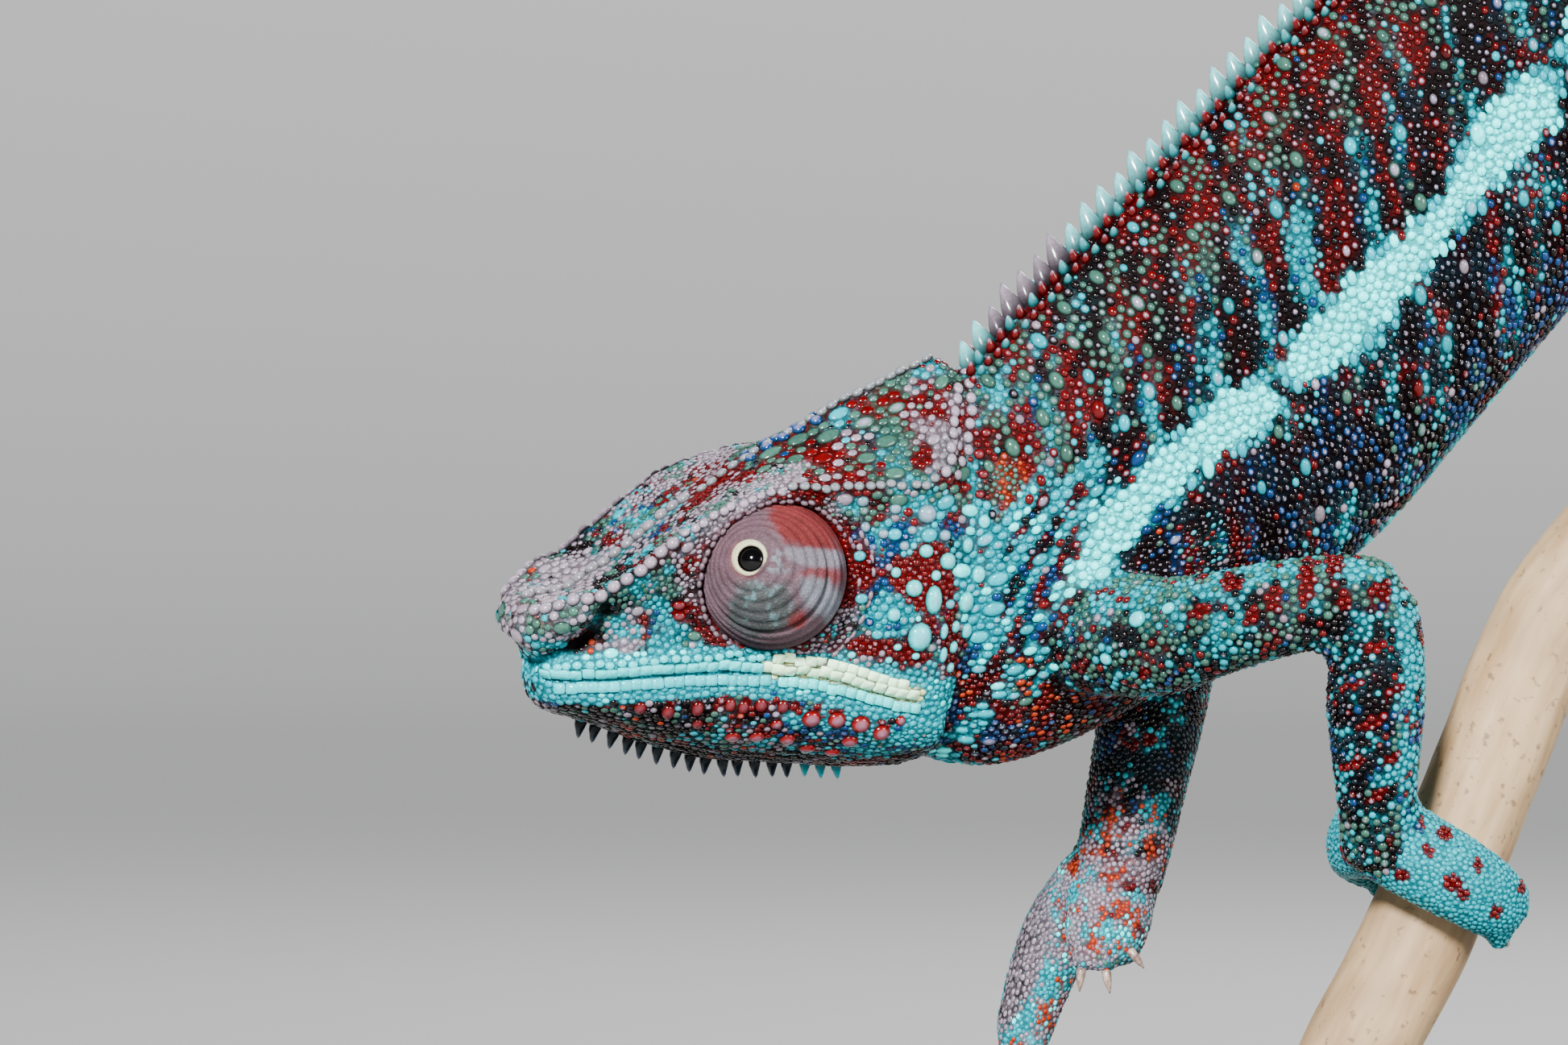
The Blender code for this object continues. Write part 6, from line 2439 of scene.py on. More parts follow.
class Sort(Enum):
    """The sorts of scale: number, sides, how far the tip leans back, and rings.

    Each ring is a radius and a height, as shares, from the skin up.
    """

    GRANULE = (0, 6, 0.0, ((1.0, -0.35), (0.8, 0.55)))
    BEAD = (1, 7, 0.0, ((1.0, -0.35), (0.8, 0.58)))
    KNOB = (2, 11, 0.0, ((1.0, -0.35), (0.96, 0.3), (0.62, 0.8)))
    CONE = (3, 9, 0.5, ((1.0, -0.3), (0.72, 0.35), (0.3, 0.85)))
    SPINE = (4, 10, 0.9, ((1.0, -0.2), (0.95, 0.12), (0.7, 0.46), (0.34, 0.8)))
    PLATE = (5, 16, 0.0, ((1.0, -0.8), (1.0, 0.2), (0.92, 0.8)))

    def __init__(self, number: int, sides: int, lean: float, rings: tuple) -> None:
        """Keeps the values."""
        self.number, self.sides, self.lean, self.rings = number, sides, lean, rings

    def shape(self) -> bpy.types.Object:
        """Makes one closed scale with a radius and a height of one millimetre.

        Returns:
            The object.
        """
        turns = steps_round(self.sides)
        circle = np.column_stack([np.cos(turns), np.sin(turns), 0 * turns])
        if self is Sort.PLATE:
            circle = circle / (np.abs(circle) ** 7).sum(1)[:, None] ** (1 / 7)
        points = [circle * (r, r, 1) + (0, 0, h) for r, h in self.rings]
        points = np.vstack([*points, [(0, 0, 1.0)]])
        points[:, 0] += self.lean * np.clip(points[:, 2], 0, 1) ** 1.3
        n, levels = self.sides, len(self.rings)
        faces = [tuple(reversed(range(n))), *quads(levels, n)]
        top = (levels - 1) * n
        faces += [(top + j, top + (j + 1) % n, levels * n) for j in range(n)]
        made = new_object(f"scale_{self.name.lower()}", points + ORIGIN, faces)
        add_attribute(made.data, "crown", np.clip(points[:, 2], 0, 1))
        add_attribute(made.data, "local", np.clip(points, -1, 1) * (1, 1, 0))
        return made


# ---- the named scales: rows and single ones that stand out from the beads ----


@dataclass(frozen=True)
class Spots:
    """Bigger scales of one pigment at places on the flank, the same on both sides.

    Each is x, z, half its length from fore to aft and half its height, on the flank as it is drawn.
    """

    pigment: str
    tone: float
    tip: float
    each: tuple
    sort: Sort = Sort.KNOB
    lift: float = 0.5  # how far it stands out, as a share of its smaller half


SPOTS = (
    # behind the eye and on the cheek
    Spots("Lilac+Aqua", 0.0, 0.5, (
        (8.6, -0.5, 0.6, 0.6), (10.6, -1.3, 0.65, 0.55), (12.7, -2.5, 0.6, 0.55), (13.6, -0.8, 0.6, 0.5),
        (16.9, -1.3, 0.75, 0.65), (15.1, 1.0, 1.15, 1.05), (11.6, 1.4, 0.7, 0.6), (8.2, 2.0, 0.7, 0.6),
    ), lift=0.4),
    Spots("Cream", -0.2, 0.4, (
        (15.0, -3.0, 0.85, 0.75), (17.3, -4.2, 1.0, 0.95), (13.8, -7.0, 1.0, 0.95), (15.9, -8.2, 1.0, 1.6),
        (19.1, -8.4, 1.1, 1.2), (11.9, -5.2, 0.6, 0.6), (16.0, -5.6, 0.6, 0.6),
        (18.1, -11.0, 0.6, 0.7), (18.0, -13.2, 0.6, 0.7), (17.7, -15.4, 0.55, 0.6),
    )),
    Spots("Aqua+Cream", 0.2, 0.3, (
        (14.4, -12.2, 1.4, 1.6), (11.5, -9.8, 0.8, 0.8), (7.3, -14.0, 0.5, 0.4), (12.0, -13.2, 0.5, 0.4),
        (11.0, -14.5, 0.45, 0.4), (13.8, -14.2, 0.5, 0.4), (37.3, -10.3, 1.1, 0.95), (34.2, -14.5, 0.8, 0.7),
        (40.5, -9.2, 0.85, 0.7), (19.4, -2.6, 0.7, 0.9), (20.4, -5.6, 0.8, 1.0), (19.2, -11.6, 0.7, 0.9),
        (21.3, 0.2, 0.7, 0.8), (16.9, -11.6, 0.5, 0.9), (17.0, -14.0, 0.5, 0.9),
    )),
    Spots("Azure", 0.2, 0.5, (
        (-1.9, 7.9, 0.75, 0.7), (-0.2, 8.9, 0.8, 0.7), (1.6, 9.9, 0.8, 0.7), (3.3, 10.9, 0.75, 0.7),
        (-3.6, 6.8, 0.7, 0.6), (9.4, -2.6, 0.6, 0.5), (11.3, -3.4, 0.55, 0.4),
    )),
    Spots("Blood", 0.1, 0.1, (
        (20.6, 3.0, 0.6, 0.5), (21.3, 5.2, 0.6, 0.5), (20.7, 7.4, 0.65, 0.6), (21.4, 9.6, 0.6, 0.5),
        (-12.0, 5.0, 0.85, 0.3), (-16.5, -0.5, 0.85, 0.3), (-19.0, -2.0, 0.7, 0.3), (-8.2, 6.2, 0.7, 0.3),
        (-11.0, -8.8, 0.75, 0.5), (-11.0, -9.9, 0.75, 0.5),
        (-15.0, -19.4, 0.7, 0.8), (-12.3, -19.6, 0.7, 0.9), (-9.0, -19.6, 0.7, 0.9), (-9.1, -21.3, 0.6, 0.7),
        (-5.6, -19.4, 0.65, 0.8), (-4.3, -19.4, 0.65, 0.8), (-2.4, -19.3, 0.7, 0.8), (0.0, -19.4, 0.7, 0.8),
    ), lift=0.35),
    Spots("Blood", 0.9, 0.4, (
        (3.0, -20.8, 1.1, 1.0), (5.6, -20.8, 1.05, 0.95), (8.1, -21.3, 1.1, 1.0), (10.4, -22.3, 1.0, 0.95),
        (7.0, -23.1, 0.95, 0.85), (5.2, -24.4, 0.9, 0.75), (2.5, -24.0, 0.95, 0.8), (0.4, -22.9, 0.9, 0.85),
        (-3.0, -22.6, 0.9, 0.8), (-5.5, -22.6, 0.9, 0.8), (-0.8, -21.2, 0.7, 0.6), (12.4, -20.9, 0.6, 0.6),
    ), lift=0.45),
    # the casque's rear edge
    Spots("Lilac", 0.15, 0.3, (
        (19.2, 16.2, 0.62, 0.6), (19.5, 14.8, 0.6, 0.66), (19.7, 13.4, 0.62, 0.66), (19.8, 12.0, 0.66, 0.66),
        (19.8, 10.6, 0.62, 0.66), (19.6, 9.2, 0.62, 0.66), (19.4, 7.8, 0.6, 0.66), (19.0, 6.4, 0.6, 0.62),
        (18.5, 5.0, 0.6, 0.6),
    ), lift=0.4),
)


@dataclass
class Laid:
    """Scales with a place, a size, a sort and a colour of their own."""

    points: list = field(default_factory=list)  # targets in space, that the nearest place on the skin answers
    rows: list = field(default_factory=list)  # or the number of the place on the skin
    sizes: list = field(default_factory=list)
    sorts: list = field(default_factory=list)
    paint: list = field(default_factory=list)  # pigment, tone and tip
    ways: list = field(default_factory=list)
    ups: list = field(default_factory=list)  # the way each points, or None for the skin's own

    def add(
        self,
        place: Array | int,
        size: tuple,
        sort: Sort,
        paint: tuple,
        way: Sequence[float],
        up: Array | None = None,
    ) -> None:
        """Adds one scale.

        Args:
            place: where it is aimed, or the number of its place on the skin.
            size: half-length, half-width and height.
            sort: its sort.
            paint: its pigment, tone and tip.
            way: the direction of its length.
            up: the way it points, where that isn't the skin's.
        """
        number = int(place) if np.ndim(place) == 0 else -1
        self.points.append((0, 0, 0) if number >= 0 else tuple(place))
        self.rows.append(number)
        self.sizes.append(size)
        self.sorts.append(sort.number)
        self.paint.append(paint)
        self.ways.append(tuple(way))
        self.ups.append(up)


def along_line(points: Array, pitch: float) -> tuple[Array, Array]:
    """Even steps along a line.

    Args:
        points: rows of x, y, z.
        pitch: how far apart the steps are.

    Returns:
        The points there, and the line's directions.
    """
    made = read_line(points, np.arange(pitch / 2, lengths(points)[-1], pitch))
    return made, unit(np.gradient(made, axis=0))


@dataclass(frozen=True)
class HeadRow:
    """A row of bigger scales along one of the head's lines, on both sides."""

    line: str
    start: float  # u
    end: float
    pitch: float
    size: tuple  # half-length, half-width, height
    sort: Sort
    paint: tuple

    def points(self, head: HeadShape, side: int) -> Array:
        """Draws the line on one side.

        Args:
            head: the head's shape.
            side: 1 for the left, -1 for the right.

        Returns:
            Rows of x, y, z.
        """
        u = np.linspace(self.start, self.end, 200)
        lip = head.value(LIP, u)
        w, h = {
            "crest": (head.value(2, u), head.value(3, u)),
            "crown": (0 * u, head.value(1, u)),
            "upper lip": (head.value(8, u) + 0.1, lip + 0.68),
            "lower lip": (head.value(8, u), lip - 0.68),
            "second row": (head.value(8, u) + 0.3, lip + 1.85),
            "keel": (0 * u, head.keel(u)),
        }[self.line]
        return head.place(np.column_stack([u, side * w, h]))


HEAD_ROWS = (
    HeadRow("crest", 1.5, 16.0, 1.5, (0.78, 0.7, 0.6), Sort.KNOB, ("Lilac", 0.15, 0.2)),
    HeadRow("crest", 16.0, 27.0, 1.15, (0.58, 0.5, 0.34), Sort.KNOB, ("Lilac", 0.25, 0.1)),
    HeadRow("crest", 27.5, 45.0, 1.25, (0.62, 0.5, 0.32), Sort.KNOB, ("Moss+Lilac", 0.3, 0.2)),
    HeadRow("crest", 45.3, 48.8, 1.4, (0.7, 0.62, 0.4), Sort.KNOB, ("Lilac", 0.2, 0.3)),
    HeadRow("crown", 2.0, 20.0, 1.55, (0.84, 0.76, 0.72), Sort.KNOB, ("Lilac+Lilac+Moss", 0.25, 0.1)),
    HeadRow("crown", 20.6, 46.0, 1.4, (0.68, 0.54, 0.48), Sort.KNOB, ("Moss+Lilac", 0.3, 0.4)),
    HeadRow("upper lip", 3.5, 26.0, 1.2, (0.66, 0.6, 0.24), Sort.PLATE, ("Cream+Cream+Aqua", 0.3, 0.0)),
    HeadRow("second row", 3.5, 27.2, 1.15, (0.6, 0.52, 0.3), Sort.BEAD, ("Cream+Aqua", 0.25, 0.0)),
    HeadRow("upper lip", 26.2, 45.0, 1.3, (0.72, 0.64, 0.22), Sort.PLATE, ("Straw+Straw+Cream", 0.7, 0.0)),
    HeadRow("second row", 27.5, 43.0, 1.2, (0.66, 0.52, 0.22), Sort.PLATE, ("Straw+Straw+Cream", 0.5, 0.0)),
    HeadRow("lower lip", 5.0, 28.0, 1.15, (0.64, 0.58, 0.22), Sort.PLATE, ("Aqua+Aqua+Cream", 0.1, 0.0)),
    HeadRow("lower lip", 28.5, 45.0, 1.1, (0.62, 0.56, 0.22), Sort.PLATE, ("Cream", -0.1, 0.0)),
    HeadRow("keel", 9.6, 35.6, 1.9, (0.84, 0.68, 2.0), Sort.CONE, ("Slate", 0.2, 0.2)),
    HeadRow("keel", 36.4, 41.6, 1.8, (0.78, 0.64, 1.7), Sort.CONE, ("Aqua", 0.3, 0.3)),
)


@dataclass(frozen=True)
class BackRow:
    """The crest of the back: flat spines on the ridge, cones beside them, and smaller spines on the tail."""

    pitch: float = 2.5
    size: tuple = (1.5, 0.9, 3.1)
    heights: tuple = ((0, 0.8), (0.06, 1.0), (0.5, 0.95), (0.8, 0.75), (1, 0.55))

    def lay(self, flesh: Flesh, laid: Laid) -> None:
        """Adds the rows.

        Args:
            flesh: the forms.
            laid: the scales so far.
        """
        share = np.linspace(0.01, 0.985, 300)
        line, ways = along_line(flesh.axis.place(share, np.zeros(300)), self.pitch)
        up = unit(np.cross(ways, (0, 1.0, 0)))
        up = up * np.sign(up[:, 2:])
        for n, (point, way) in enumerate(zip(line, ways)):
            part = n / len(line)
            scale = float(curve(self.heights, part)) * (1 + 0.12 * math.sin(n * 2.4))
            length, width, height = self.size
            paint = ("Lilac", -0.5, 0.4) if 0.03 < part < 0.12 else ("Moss+Cream+Lilac", 0.4, 0.3)
            laid.add(point, (length * scale**0.5, width, height * scale), Sort.SPINE, paint, way, up[n])
        for turn, lift, pitch in ((0.17, 1.35, 1.7), (0.32, 0.8, 1.4)):
            for side in (1, -1):
                line, ways = along_line(flesh.axis.place(share, np.full(300, side * turn)), pitch)
                for n, (point, way) in enumerate(zip(line, ways)):
                    paint = ("Blood", 0.1, 0.5) if (n * 7 + side) % 5 < 3 else ("Moss+Aqua", 0.2, 0.5)
                    laid.add(point, (0.5 + 0.2 * lift, 0.45 + 0.15 * lift, lift), Sort.CONE, paint, way)
        rings = flesh.tail.form().rings
        line, ways = along_line(rings[:150, 0], 1.9)
        middle = along_line(rings[:150].mean(1), 1.9)[0]
        for n, (point, way) in enumerate(zip(line, ways)):
            away = unit(point - middle[min(n, len(middle) - 1)])
            laid.add(point, (0.8, 0.4, 1.4 - 0.8 * n / len(line)), Sort.SPINE, ("Moss", 0.5, 0.5), way, away)


def lay_rims(flesh: Flesh, laid: Laid) -> None:
    """Adds the small scales that ring each socket, and those on the fold behind it.

    Args:
        flesh: the forms.
        laid: the scales so far.
    """
    fore, _, over = flesh.head.axes()
    for eye in EYES:
        centre, out = eye.centre(flesh.head), eye.out(flesh.head)
        for gap, start, end, half, paint in (
            (0.5, -180, 180, 0.5, ("Lilac+Lilac+Blood+Ground", 0.0, 0.0)),
            (2.2, -62, 28, 0.62, ("Lilac+Lilac+Blood", 0.2, 0.1)),
        ):
            radius = eye.mouth(1.0) + gap
            turns = np.radians(np.arange(start, end, math.degrees(1.7 * half / radius)))
            for turn in turns:
                spoke = math.cos(turn) * fore + math.sin(turn) * over
                way = math.cos(turn) * over - math.sin(turn) * fore
                laid.add(centre + radius * spoke + 1.2 * out, (half, 0.32, 0.34), Sort.BEAD, paint, way)


def lay_named(flesh: Flesh, tried: Survey, places: Places) -> Laid:
    """Gathers every named scale.

    Args:
        flesh: the forms.
        tried: the places that scales may take.
        places: where these are on the body.

    Returns:
        The named scales.
    """
    laid = Laid()
    BackRow().lay(flesh, laid)
    lay_rims(flesh, laid)
    for row in HEAD_ROWS:
        for side in (1, -1) if row.line not in ("crown", "keel") else (1,):
            line, ways = along_line(row.points(flesh.head, side), row.pitch)
            for point, way in zip(line, ways):
                laid.add(point, row.size, row.sort, row.paint, way)
    on_head = places.on(Part.HEAD, Part.JAW) > 0
    on_trunk = places.on(Part.AXIS) > 0
    axes, same = flesh.head.axes(), np.ones(len(places.side))
    turned = (tried.normals @ axes.T * np.column_stack([same, places.side, same])) @ axes
    facing = np.where(on_head, -turned[:, 1], -tried.normals[:, 1] * np.where(on_trunk, places.side, 1))
    flank = np.where(on_head | on_trunk, places.side, 1)
    random = np.random.default_rng(SEED + 9)
    for side in (1, -1):
        rows = np.flatnonzero((flank == side) & (facing > 0.12))
        x, z = places.x[rows] / DRAWN, places.z[rows] / DRAWN
        for spots in SPOTS:
            for a, b, wide, high in spots.each:
                away = np.hypot(x - a, z - b) if side > 0 else np.hypot(x - a - random.normal(0, 0.3), z - b)
                near = int(away.argmin())
                if away[near] > 0.8:
                    continue
                way, half = ((1, 0, 0), (wide, high)) if wide >= high else ((0, 0, 1), (high, wide))
                size = (*half, spots.lift * min(wide, high) + 0.12)
                laid.add(rows[near], size, spots.sort, (spots.pigment, spots.tone, spots.tip), way)
    return laid


@dataclass
class Scales(Rows):
    """Scales before they are made: places, directions, sizes, sorts and marks."""

    survey: Survey
    size: Array  # half-length, half-width, height
    sort: Array
    marks: Marks


def candidates(mesh: bpy.types.Mesh, survey: Survey, number: int) -> Survey:
    """Places spread evenly over the skin.

    Args:
        mesh: the skin.
        survey: where its points lie.
        number: how many places.

    Returns:
        Their survey.
    """
    random = np.random.default_rng(SEED)
    triangles = mesh_triangles(mesh)
    corners = survey.points[triangles]
    area = np.linalg.norm(np.cross(corners[:, 1] - corners[:, 0], corners[:, 2] - corners[:, 0]), axis=1)
    chosen = np.searchsorted(np.cumsum(area) / area.sum(), random.uniform(0, 1, number))
    chosen = chosen.clip(0, len(area) - 1)
    a, b = random.uniform(0, 1, (2, number))
    root = np.sqrt(a)
    weight = np.column_stack([1 - root, root * (1 - b), root * b])
    rows = triangles[chosen]
    main = rows[np.arange(number), weight.argmax(1)]
    points = np.einsum("nk,nkd->nd", weight, survey.points[rows])
    normals = unit(np.einsum("nk,nkd->nd", weight, survey.normals[rows]))
    same = (survey.form[rows] == survey.form[main][:, None]).all(1)
    same &= np.ptp(survey.around[rows], axis=1) < 0.3
    along = np.where(same, (weight * survey.along[rows]).sum(1), survey.along[main])
    around = np.where(same, (weight * survey.around[rows]).sum(1), survey.around[main])
    return Survey(points, normals, survey.form[main], along, around, survey.lie[main])


@dataclass(frozen=True)
class Packing:
    """How closely the scales sit."""

    number: int = 620000  # places tried
    tight: float = 0.86  # beads: distance as a share of the two radii
    knob_gap: float = 2.9  # between the middles of two knobs, at least
    fine: float = 0.55  # granules as a share of the beads' radius

    def pick(
        self, survey: Survey, traits: Traits, keys: Array, blocked: Array, laid: Laid
    ) -> tuple[Array, Array, Array]:
        """Lays the named scales, then knobs, then beads, then granules in what is left.

        Args:
            survey: the places tried.
            traits: what grows there.
            keys: the order in which beads are laid.
            blocked: places where nothing grows.
            laid: the named scales, whose places on the skin are filled in.

        Returns:
            The chosen rows, their half-lengths, half-widths and heights, and their sorts.
        """
        random = np.random.default_rng(SEED + 1)
        count = len(survey.points)
        tree = KDTree(count)
        for n, point in enumerate(survey.points.tolist()):
            tree.insert(point, n)
        tree.balance()
        radius = traits.radius * random.uniform(0.82, 1.2, count)
        lies = unit(survey.lie - (survey.lie * survey.normals).sum(1)[:, None] * survey.normals)
        points = survey.points.tolist()
        bead_free, fine_free = ~blocked, ~blocked
        fine_radius = radius * self.fine
        rows, sizes, sorts = [], [], []

        def lay(n: int, size: tuple, sort: int, way: Array) -> None:
            """Lays one scale, and keeps its ground free of others.

            Args:
                n: the number of its place.
                size: half-length, half-width and height.
                sort: its sort's number.
                way: the direction of its length.
            """
            far, own = size[0] / size[1], float(size[1])
            rows.append(n)
            sizes.append(size)
            sorts.append(sort)
            found = tree.find_range(points[n], (own * max(far, 1) + reach) * self.tight)
            near = np.array([f[1] for f in found])
            away = np.array([f[2] for f in found])
            if far > 1.05:
                share = ((survey.points[near] - survey.points[n]) @ way) / np.maximum(away, 1e-6)
                away = away / (1 + (far - 1) * share**2)
            bead_free[near[away < (own + radius[near]) * self.tight]] = False
            fine_free[near[away < (own + fine_radius[near]) * (self.tight + 0.02)]] = False

        def lay_all(order: Iterable[int], radii: Array, stretch: Array, sort: Sort, free: Array) -> None:
            """Lays one sort of scale in the given order, where the ground is free.

            Args:
                order: the numbers of the places.
                radii: the radius at each place.
                stretch: the length at each place, in radii.
                sort: the sort.
                free: where the ground is free.
            """
            for n in order:
                if free[n]:
                    own = float(radii[n])
                    lay(n, (own * stretch[n], own, own * traits.height[n]), sort.number, lies[n])

        reach = float(traits.radius.max()) * 1.25
        for k, number in enumerate(laid.rows):
            number = tree.find(laid.points[k])[1] if number < 0 else number
            laid.rows[k] = number
            lay(number, laid.sizes[k], laid.sorts[k], np.array(laid.ways[k]))
        knobs = np.flatnonzero((random.uniform(0, 1, count) < traits.knobs) & bead_free)
        taken = np.zeros(count, bool)
        kept = []
        for n in knobs[random.permutation(len(knobs))].tolist():
            if not taken[n]:
                kept.append(n)
                gap = self.knob_gap / math.sqrt(8 * float(traits.knobs[n]) + 0.2)
                taken[[found[1] for found in tree.find_range(points[n], gap)]] = True
        order = np.argsort(keys).tolist()
        knob_radius = traits.radius * random.uniform(1.2, 1.6, count)
        lay_all(kept, knob_radius, traits.stretch * 1.25, Sort.KNOB, bead_free)
        lay_all(order, radius, traits.stretch, Sort.BEAD, bead_free)
        lay_all(order, fine_radius, traits.stretch, Sort.GRANULE, fine_free)
        return np.array(rows), np.array(sizes), np.array(sorts)


@dataclass(frozen=True)
class CoatTree:
    """The node tree that sets one scale on each point and joins them into a mesh."""

    patch: float = 0.0015  # half of a scale's patch on the unwrap

    def build(self, finish: bpy.types.Material, shapes: dict[Sort, bpy.types.Object]) -> bpy.types.NodeTree:
        """Draws the tree.

        Args:
            finish: the scales' finish.
            shapes: one closed scale of each sort.

        Returns:
            The tree.
        """
        tree = bpy.data.node_groups.new("coat", "GeometryNodeTree")
        tree.is_modifier = True
        tree.interface.new_socket("Geometry", in_out="INPUT", socket_type="NodeSocketGeometry")
        for sort in shapes:
            tree.interface.new_socket(sort.name, in_out="INPUT", socket_type="NodeSocketObject")
        patch = tree.interface.new_socket("Patch", in_out="INPUT", socket_type="NodeSocketFloat")
        patch.default_value = self.patch
        tree.interface.new_socket("Geometry", in_out="OUTPUT", socket_type="NodeSocketGeometry")
        graph = Graph(tree)
        given, result = graph.add("NodeGroupInput"), graph.add("NodeGroupOutput")

        def read(name: str, kind: str) -> bpy.types.NodeSocket:
            """Reads a named attribute."""
            node = graph.add("GeometryNodeInputNamedAttribute", {"Name": name}, data_type=kind)
            return node.outputs["Attribute"]

        turn = graph.add("FunctionNodeEulerToRotation", {0: read("turn", "FLOAT_VECTOR")}).outputs[0]
        both = graph.add("GeometryNodeJoinGeometry")
        for sort in shapes:
            shape = graph.add("GeometryNodeObjectInfo", {"Object": given.outputs[sort.name]})
            test = graph.add("FunctionNodeCompare", data_type="INT", operation="EQUAL")
            tree.links.new(read("sort", "INT"), test.inputs[2])
            test.inputs[3].default_value = sort.number
            inputs = {
                "Points": given.outputs["Geometry"],
                "Selection": test.outputs[0],
                "Instance": shape.outputs["Geometry"],
                "Rotation": turn,
                "Scale": read("size", "FLOAT_VECTOR"),
            }
            placed = graph.add("GeometryNodeInstanceOnPoints", inputs)
            tree.links.new(placed.outputs[0], both.inputs[0])
        real = graph.add("GeometryNodeRealizeInstances", {0: both.outputs[0]}).outputs[0]
        grown = graph.scaled(read("local", "FLOAT_VECTOR"), given.outputs["Patch"])
        terms = {0: read("root", "FLOAT_VECTOR"), 1: grown}
        place = graph.add("ShaderNodeVectorMath", terms, operation="ADD").outputs[0]
        inputs = {"Geometry": real, "Name": "OFBake", "Value": place}
        kinds = {"data_type": "FLOAT2", "domain": "CORNER"}
        mapped = graph.add("GeometryNodeStoreNamedAttribute", inputs, **kinds).outputs[0]
        smooth = graph.add("GeometryNodeSetShadeSmooth", {0: mapped}).outputs[0]
        painted = graph.add("GeometryNodeSetMaterial", {"Geometry": smooth, "Material": finish}).outputs[0]
        tree.links.new(painted, result.inputs["Geometry"])
        return tree


